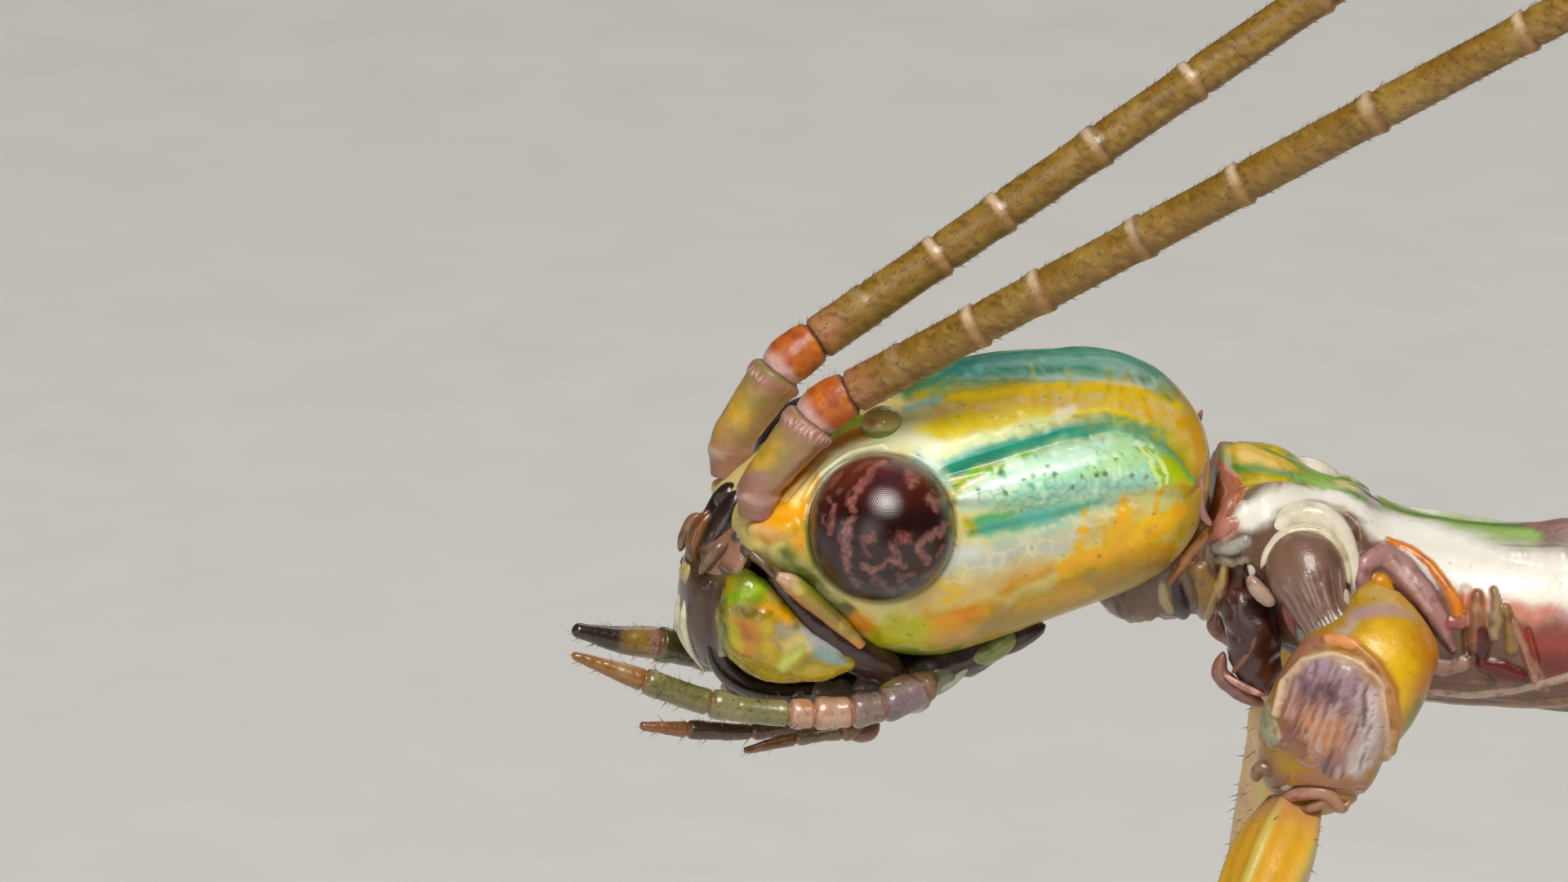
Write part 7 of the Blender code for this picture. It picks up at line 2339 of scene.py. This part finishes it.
def makeLegBone(name, start, end, girths, bow, slot, material, node, style):
    rows, count = style["rows"], style["count"]
    t = np.linspace(0, 1, rows)
    start, end = np.array(start), np.array(end)
    path = start + (end - start) * t[:, None] + np.array([0, 0, 1]) * (bow * np.sin(math.pi * t))[:, None]
    girth = curveThrough([0, 0.03, 0.10, 0.5, 0.92, 0.98, 1.0], girths, t)
    grid, crest = keeledGrid(path, girth, count)
    flat = grid.reshape(-1, 3)
    tt = np.repeat(t, count)
    noise = layeredNoise(flat * (1, 1, 1), 0.9, 3, 5)
    grid = reliefOut(grid, 0.008 * layeredNoise(flat, 0.3, 3, 3))
    paint = np.tile(linearColour(style["base"]), (len(flat), 1))
    layPaint(paint, style["second"], smoothStep(0.0, 0.6, noise) * 0.8)
    layPaint(paint, style["keel"], smoothStep(0.6, 0.95, crest) * 0.6)
    layPaint(paint, style["dark"], smoothStep(0.25, 0.7, layeredNoise(flat, 0.35, 3, 13)) * 0.45)
    layPaint(paint, style["ends"], (smoothStep(0.05, 0.0, tt) + smoothStep(0.95, 1.0, tt)) * 0.85)
    hairy = 0.3 + 0.7 * smoothStep(0.5, 0.9, crest)
    bone = gridMesh(name, grid, {"pigment": paint, "hairy": hairy})
    settle(bone, slot, material, node)
    return bone


def makeTarsus(name, ankle, shin, heading, length, material, clawMaterial, node):
    # Four short joints and a long one, each with a pale pad pressed on the floor, and two claws
    flatWay = np.array([*heading, 0.0]) / math.hypot(*heading)
    rows, count = 120, 30
    t = np.linspace(0, 1, rows)
    joints = np.array([0.36, 0.52, 0.64, 0.74, 1.0])
    fall = np.exp(-t * 7.5)
    height = 0.27 + (ankle[2] - floorLevel - 0.28 - 0.29) * fall
    path = np.zeros((rows, 3))
    path[:, :2] = ankle[:2]
    path[:, 2] = floorLevel + height
    path = path + shin * 0.22 + flatWay * (length * t)[:, None]
    ahead = np.array([min([j - x for j in joints if j >= x - 1e-9], default=0) for x in t])
    girth = 0.235 * (
        1 + 0.24 * np.exp(-(((ahead - 0.02) / 0.035) ** 2)) - 0.18 * np.exp(-((ahead / 0.010) ** 2))
    )
    girth[:4] *= (0.75, 0.88, 0.95, 0.99)
    girth[-5:] *= (0.98, 0.94, 0.86, 0.72, 0.45)
    grid = sweptGrid(path, girth * 1.05, girth, count)
    flat = grid.reshape(-1, 3)
    # Pads reach down to the floor under the end of each joint
    pad = np.exp(-(((np.repeat(ahead, count) - 0.03) / 0.045) ** 2))
    below = flat[:, 2] < np.repeat(path[:, 2], count)
    drop = (flat[:, 2] - floorLevel) * 0.92
    low = np.repeat(path[:, 2], count) - floorLevel < 0.5
    flat[:, 2] -= np.where(below & low, np.clip(pad, 0, 1) * np.clip(drop, 0, 0.14), 0)
    flat[:, 2] = np.maximum(flat[:, 2], floorLevel + 0.002)
    paint = np.tile(linearColour("#5f3c1c"), (len(flat), 1))
    noise = layeredNoise(flat, 0.3, 3, 5)
    layPaint(paint, "#8a6a2c", smoothStep(0.0, 0.6, noise) * 0.7)
    layPaint(paint, "#33200f", np.exp(-((np.repeat(ahead, count) / 0.012) ** 2)) * 0.8)
    layPaint(paint, "#d6cbb0", np.where(below & low, pad, 0) * 0.85)
    grid = flat.reshape(grid.shape)
    foot = gridMesh(name, grid, {"pigment": paint, "hairy": np.where(below, 0.2, 1.0)})
    settle(foot, "tarsus", material, node)
    tip = path[-1]
    across = np.array([-flatWay[1], flatWay[0], 0])
    for k, s in enumerate((-1, 1)):
        knots = [
            (*(tip - flatWay * 0.25 + across * s * 0.06), 0.07),
            (*(tip + flatWay * 0.05 + across * s * 0.14 + (0, 0, 0.06)), 0.055),
            (*(tip + flatWay * 0.22 + across * s * 0.22 + (0, 0, -0.02)), 0.035),
            (*(tip + flatWay * 0.28 + across * s * 0.24 + (0, 0, -0.16)), 0.008),
        ]
        points = smoothPath(knots, 16)
        points[:, 2] = np.maximum(points[:, 2], floorLevel + points[:, 3] + 0.01)
        claw = gridMesh(f"{name}Claw{k}", sweptGrid(points[:, :3], points[:, 3], points[:, 3], 10))
        settle(claw, "tarsus", clawMaterial)
    return foot


femurStyles = {
    "fore": {"base": "#d9a319", "second": "#c8791f", "keel": "#b9bd6a", "dark": "#8f5a1c", "ends": "#b98560"},
    "mid": {"base": "#b79a2c", "second": "#8f7a2c", "keel": "#9aa85a", "dark": "#6f4a1c", "ends": "#9a6a4a"},
    "hind": {"base": "#a8962f", "second": "#86742c", "keel": "#8fa053", "dark": "#63451c", "ends": "#93644a"},
}
tibiaStyle = {"base": "#7d7a34", "second": "#94713a", "keel": "#a3a862", "dark": "#4f4420", "ends": "#8a5f3c"}


def makeLegs(material, tarsusMaterial, clawMaterial):
    bones = []
    for name, (hip, direction, femur, heading, tibia, toe, foot) in legLook.items():
        pair, side = splitLegName(name)
        node = f"{pair}_{side.lower()}"
        hip = np.array(hip)
        thigh = np.array(direction) / np.linalg.norm(direction)
        knee = hip + thigh * femur
        drop = knee[2] - floorLevel - 1.25
        reach = math.sqrt(tibia**2 - drop**2)
        flatWay = np.array([*heading, 0.0]) / math.hypot(*heading)
        ankle = knee + flatWay * reach - np.array([0, 0, drop])
        shin = (ankle - knee) / np.linalg.norm(ankle - knee)
        g = femurGirth[pair]
        style = {"rows": 150 if pair == "fore" else 90, "count": 66, **femurStyles[pair]}
        girths = [g * 0.70, g * 0.96, g * 0.95, g * 0.84, g * 0.86, g * 0.90, g * 0.50]
        bones.append(
            makeLegBone(
                f"{pair}Femur{side}", hip + thigh * 0.10, knee, girths, 0.25, "leg", material,
                f"femur_{node}", style
            )
        )
        g = tibiaGirth[pair]
        style = {"rows": 90, "count": 50, **tibiaStyle}
        girths = [g * 0.45, g * 0.90, g * 0.82, g * 0.72, g * 0.88, g * 0.92, g * 0.5]
        start = knee + shin * 0.20 - np.array([0, 0, 0.10])
        bones.append(
            makeLegBone(
                f"{pair}Tibia{side}", start, ankle, girths, 0.0, "leg", material, f"tibia_{node}", style
            )
        )
        bones.append(
            makeTarsus(
                f"{pair}Tarsus{side}", ankle, shin, toe, foot, tarsusMaterial, clawMaterial,
                f"tarsus_{node}"
            )
        )
    return bones


trunkLook = {
    # x, top, bottom, half width
    "rows": [
        (4.40, -0.70, -2.56, 1.06),
        (4.60, -0.55, -2.70, 1.19),
        (4.90, -0.47, -2.76, 1.25),
        (7.00, -0.60, -2.95, 1.28),
        (9.50, -0.84, -3.35, 1.46),
        (12.00, -1.05, -3.56, 1.58),
        (15.00, -1.30, -3.90, 1.70),
        (18.00, -1.60, -4.25, 1.74),
        (20.00, -1.82, -4.32, 1.62),
        (28.00, -2.42, -4.78, 1.46),
        (36.00, -3.02, -5.26, 1.36),
        (44.00, -3.58, -5.74, 1.30),
        (52.00, -4.06, -6.16, 1.26),
        (60.00, -4.46, -6.56, 1.22),
        (66.00, -4.70, -6.82, 1.19),
        (70.00, -4.88, -6.54, 1.00),
        (72.20, -5.02, -6.24, 0.74),
        (72.90, -5.16, -6.04, 0.50),
        (73.00, -5.30, -5.90, 0.26),
    ],
    "joints": (12.0, 20.0, 27.2, 34.4, 41.6, 48.8, 56.0, 62.4, 66.6, 69.8),
    "stations": 720,
    "around": 80,
}


def makeTrunk(material):
    look = trunkLook
    stations = np.linspace(look["rows"][0][0], look["rows"][-1][0], look["stations"])
    grid = bodyGrid(look["rows"], stations, look["around"])
    flat = grid.reshape(-1, 3)
    x = flat[:, 0]
    joints = np.array(look["joints"])
    gap = np.abs(x[:, None] - joints[None, :])
    near = gap.min(axis=1)
    behind = (x[:, None] - joints[None, :])
    lap = np.where(behind < 0, -behind, 99).min(axis=1)
    side = np.abs(flat[:, 1])
    middle = np.interp(x, stations, grid[:, :, 2].mean(axis=1))
    level = (flat[:, 2] - middle) / 1.1
    relief = -0.10 * np.exp(-((near / 0.10) ** 2)) + 0.05 * np.exp(-(((lap - 0.25) / 0.25) ** 2))
    relief += 0.05 * np.exp(-((side / 0.10) ** 2)) * smoothStep(0.2, 0.8, level)
    relief += 0.07 * np.exp(-(((level + 0.05) / 0.16) ** 2)) * smoothStep(0.6, 0.9, side)
    relief += 0.02 * layeredNoise(flat, 0.8, 3, 3) + 0.006 * layeredNoise(flat, 0.2, 2, 6)
    relief *= smoothStep(4.4, 6.5, x)
    grid = reliefOut(grid, relief)
    abdomen = smoothStep(18.5, 21.0, x)
    paint = np.tile(linearColour("#a5503c"), (len(flat), 1))
    noise = layeredNoise(flat, 0.9, 3, 12)
    layPaint(paint, "#c98a72", smoothStep(0.0, 0.6, noise) * 0.6)
    layPaint(
        paint, "#7d8a2a",
        smoothStep(0.35, 0.65, level + 0.15 * noise) * (1 - abdomen) * smoothStep(6.5, 9.0, x)
    )
    layPaint(
        paint, "#ece3cf",
        np.exp(-(((level - 0.12) / 0.16) ** 2)) * (1 - abdomen) * smoothStep(7.0, 5.0, x) * 0.8
    )
    layPaint(paint, "#a8a04a", abdomen * 0.9)
    layPaint(paint, "#8a7338", abdomen * smoothStep(0.0, 0.5, noise) * 0.7)
    layPaint(paint, "#b4764a", abdomen * smoothStep(0.3, 0.75, level) * 0.8)
    layPaint(paint, "#e4d9ac", abdomen * np.exp(-(((level + 0.05) / 0.12) ** 2)) * 0.75)
    layPaint(paint, "#6f4a34", smoothStep(-0.45, -0.85, level) * 0.7)
    # The markings of the prothorax run on over the front of the next ring
    front = paint.copy()
    paintStrokes(front, flat, flankSpots(flat), prothoraxStrokes, 20)
    paint += (front - paint) * smoothStep(6.2, 4.9, x)[:, None]
    layPaint(paint, "#4c2c1c", np.exp(-((near / 0.07) ** 2)) * 0.75)
    layPaint(paint, "#cdbb86", np.exp(-(((lap - 0.35) / 0.16) ** 2)) * abdomen * 0.45)
    layPaint(paint, "#4a3418", smoothStep(0.5, 0.8, layeredNoise(flat, 0.22, 2, 21)) * 0.5)
    trunk = gridMesh("trunkSkin", grid, {"pigment": paint})
    nodes = ["mesothorax", "metathorax", "abdomen_base", "abdomen_middle", "abdomen_rear", "abdomen_tip"]
    settle(trunk, "abdomen", material, *nodes)


def trunkAt(x):
    top, bottom, width = curveTable(trunkLook["rows"], np.atleast_1d(x))
    return top, bottom, width


def overTrunk(x, degrees, clearance, sign):
    top, bottom, width = trunkAt(x)
    a = np.radians(degrees)
    c, s = np.sin(a), np.cos(a)
    half = (top - bottom) / 2 + clearance
    y = (width + clearance) * np.abs(c) ** (2 / 2.4)
    z = (top + bottom) / 2 + half * np.sign(s) * np.abs(s) ** (2 / 2.4)
    return np.stack([np.broadcast_to(x, y.shape), sign * y, z], axis=-1)


wingLook = {
    "hind": {
        "from": 14.0, "length": 39.0, "rows": 220, "columns": 72,
        "lift": 0.22, "thick": 0.10, "veins": 95,
    },
    "fore": {
        "from": 11.4, "length": 8.2, "rows": 120, "columns": 72,
        "lift": 0.36, "thick": 0.16, "veins": 26,
    },
}


def makeWing(kind, side, sign, material):
    look = wingLook[kind]
    t = np.linspace(0, 1, look["rows"])
    j = np.linspace(0, 1, look["columns"])
    x = look["from"] + look["length"] * t
    if kind == "hind":
        tip = np.sqrt(np.maximum(0, 1 - (np.maximum(0, t - 0.86) / 0.14) ** 2))
        low, middle = 92 - 16 * t, 62.0
        first = middle + (4.5 - middle) * (0.06 + 0.94 * tip)
        last = middle + (low - middle) * (0.06 + 0.94 * tip)
        lift = np.full(len(t), look["lift"])
    else:
        swell = np.sin(math.pi * (0.07 + 0.86 * t)) ** 0.6
        first, last = 54 - 44 * swell, 54 + 46 * swell
        lift = look["lift"] + 0.5 * np.clip((x - 12.4) / 1.6, 0, 1)
    grid = np.zeros((len(t), len(j), 3))
    for k, place in enumerate(j):
        grid[:, k] = overTrunk(x, first + (last - first) * place, lift, sign)
    # Long veins fork along the wing, with cross veins between them
    u, v = np.meshgrid(t, j, indexing="ij")
    fan = 9 if kind == "hind" else 11
    bend = v * fan + 0.8 * np.sin(u * 3.0 + v * 2.0)
    longVein = np.exp(-((np.abs(bend - np.round(bend)) / 0.10) ** 2))
    crossPlace = u * look["veins"] + 0.45 * np.sin(np.floor(bend) * 2.4) + 0.2 * np.sin(v * 50)
    crossVein = np.exp(-((np.abs(crossPlace - np.round(crossPlace)) / 0.09) ** 2)) * 0.6
    vein = np.maximum(longVein, crossVein)
    normals = gridNormals(grid, closed=False)
    outward = np.sign((normals * (grid - grid.mean(axis=1, keepdims=True) * (1, 0, 1))).sum())
    normals = normals * (outward if outward else 1)
    hump = 0.0
    if kind == "fore":
        hump = 0.55 * np.exp(-(((u - 0.22) / 0.10) ** 2)) * np.exp(-(((v - 0.45) / 0.18) ** 2))
    outer = grid + normals * (0.03 * vein + hump)[..., None]
    inner = grid - normals * look["thick"] * np.ones_like(u)[..., None]
    shellGrid = np.concatenate([outer, inner[:, ::-1]], axis=1)
    value = np.concatenate([vein, vein[:, ::-1]], axis=1)
    edge = np.concatenate([v, v[:, ::-1]], axis=1).ravel()
    flat = shellGrid.reshape(-1, 3)
    if kind == "fore":
        base, second, veinColour = "#7f8a34", "#a58a4a", "#4c5a1c"
    else:
        base, second, veinColour = "#8d8b46", "#b48f5a", "#59601f"
    paint = np.tile(linearColour(base), (len(flat), 1))
    noise = layeredNoise(flat, 1.2, 3, 5)
    layPaint(paint, second, smoothStep(0.0, 0.6, noise) * 0.7)
    layPaint(paint, "#c8c07a", smoothStep(0.75, 0.98, edge) * 0.6)
    layPaint(paint, veinColour, value.ravel() * 0.75)
    wing = gridMesh(f"{kind}Wing{side}", shellGrid, {"pigment": paint})
    settle(wing, "wing", material, f"{kind}_wing_{side.lower()}")


tailFeelerLook = {
    # x, side, z, radius
    "knots": [
        (72.50, 0.30, -5.60, 0.16),
        (73.15, 0.42, -5.52, 0.24),
        (73.90, 0.50, -5.62, 0.24),
        (74.70, 0.58, -5.90, 0.19),
        (75.25, 0.64, -6.22, 0.06),
    ],
    "rows": 70,
    "around": 40,
}


def makeTailFeeler(side, sign, material):
    look = tailFeelerLook
    points = smoothPath(np.array(look["knots"]) * (1, sign, 1, 1), look["rows"])
    grid = sweptGrid(points[:, :3], points[:, 3], points[:, 3], look["around"])
    flat = grid.reshape(-1, 3)
    paint = np.tile(linearColour("#8f6f3a"), (len(flat), 1))
    layPaint(paint, "#b59a5c", smoothStep(0.0, 0.5, layeredNoise(flat, 0.3, 3, 4)) * 0.7)
    cercus = gridMesh(f"tailFeeler{side}", grid, {"pigment": paint, "hairy": np.ones(len(flat))})
    settle(cercus, "abdomen", material, f"tail_feeler_{side.lower()}")
    return cercus


makeFloor()
makeLights()
makeCamera()
print("stage done")
makeHead()
eyeMaterial = makeEyeMaterial()
feelerCuticle = cuticleMaterial(
    "hairy feeler cuticle", {
        "mottle": 0.12, "depth": 0.22, "grain": 0.03, "rough": 0.42, "bump": 0.5, "coat": 0.15
    }
)
mouthCuticle = cuticleMaterial(
    "wet mouthpart cuticle",
    {
        "mottle": 0.20, "depth": 0.15, "grain": 0.05, "rough": 0.28, "bump": 0.4, "coat": 0.6,
        "coatRough": 0.10
    },
)
plateCuticle = cuticleMaterial(
    "satin body plate",
    {
        "mottle": 0.30, "depth": 0.12, "grain": 0.05, "rough": 0.36, "bump": 0.35, "coat": 0.35,
        "coatRough": 0.2
    },
)
softMembrane = cuticleMaterial(
    "folded joint membrane",
    {
        "mottle": 0.15, "depth": 0.20, "grain": 0.04, "rough": 0.40, "bump": 0.6, "coat": 0.4,
        "coatRough": 0.2, "glow": 0.25
    },
)
wetMembrane = cuticleMaterial(
    "wet striated membrane",
    {
        "mottle": 0.12, "depth": 0.20, "grain": 0.035, "rough": 0.30, "bump": 0.7, "coat": 0.5,
        "coatRough": 0.12, "glow": 0.2
    },
)
legCuticle = cuticleMaterial(
    "keeled leg cuticle", {
        "mottle": 0.25, "depth": 0.15, "grain": 0.05, "rough": 0.36, "bump": 0.4, "coat": 0.3
    }
)
wingCuticle = cuticleMaterial(
    "leathery wing", {"mottle": 0.5, "depth": 0.15, "grain": 0.08, "rough": 0.45, "bump": 0.4, "coat": 0.15}
)
clawHorn = makeBristleMaterial("dark claw chitin", "#1c0f08", "#4a2a14")
bristleBrown = makeBristleMaterial("brown bristle chitin", "#4a3212", "#8a6a30")
facetTree = makeFacetTree()
hairTree = makeHairTree()
hairGrown = []
for side, sign in (("Left", -1), ("Right", 1)):
    makeEye(side, sign, eyeMaterial)
    hairGrown.append(("fringe", makeFeelerRoot(side, sign, feelerCuticle), "antenna"))
    hairGrown.append(("feeler", makeFeeler(side, sign, feelerCuticle), "antenna"))
    makeJaw(side, sign, mouthCuticle)
    makeCheekBar(side, sign, mouthCuticle)
    makeMouthPads(side, sign, mouthCuticle)
    for kind in ("jaw", "lip"):
        hairGrown.append(("mouth", makeMouthFeeler(kind, side, sign, mouthCuticle), "mouthparts"))
makeSimpleEyes()
makeUpperLip(mouthCuticle)
makeLowerLip(mouthCuticle)
print("head, feelers and mouthparts done")
makeNeck(softMembrane)
makeProthorax(plateCuticle)
for side, sign in (("Left", -1), ("Right", 1)):
    makeSocket(side, sign, wetMembrane)
    makeFlank(side, sign, wetMembrane, wetMembrane)
    for pair in ("fore", "mid", "hind"):
        makeHip(pair, side, sign, legCuticle)
    for kind in ("hind", "fore"):
        makeWing(kind, side, sign, wingCuticle)
    hairGrown.append(("tail", makeTailFeeler(side, sign, legCuticle), "abdomen"))
makeTrunk(plateCuticle)
hairGrown += [("leg", bone, "leg") for bone in makeLegs(legCuticle, feelerCuticle, clawHorn)]
print("body and legs done")

hairLook = {
    "feeler": {
        "density": 120, "length": 0.085, "width": 0.0045, "lean": (1.1, 0, 0.75), "spread": 0.35, "seed": 3
    },
    "fringe": {
        "density": 220, "length": 0.10, "width": 0.0045, "lean": (0.7, 0, 0.6), "spread": 0.25, "seed": 4
    },
    "mouth": {"density": 45, "length": 0.13, "width": 0.006, "lean": (-0.7, 0, 0), "spread": 0.5, "seed": 5},
    "leg": {"density": 14, "length": 0.13, "width": 0.008, "lean": (0, 0, -0.5), "spread": 0.4, "seed": 7},
    "tail": {"density": 40, "length": 0.15, "width": 0.008, "lean": (0.6, 0, 0), "spread": 0.4, "seed": 9},
}
for kind, skin, slot in hairGrown:
    growHairs(f"{skin.name}Hairs", skin, slot, bristleBrown, hairLook[kind])
print("hairs done")
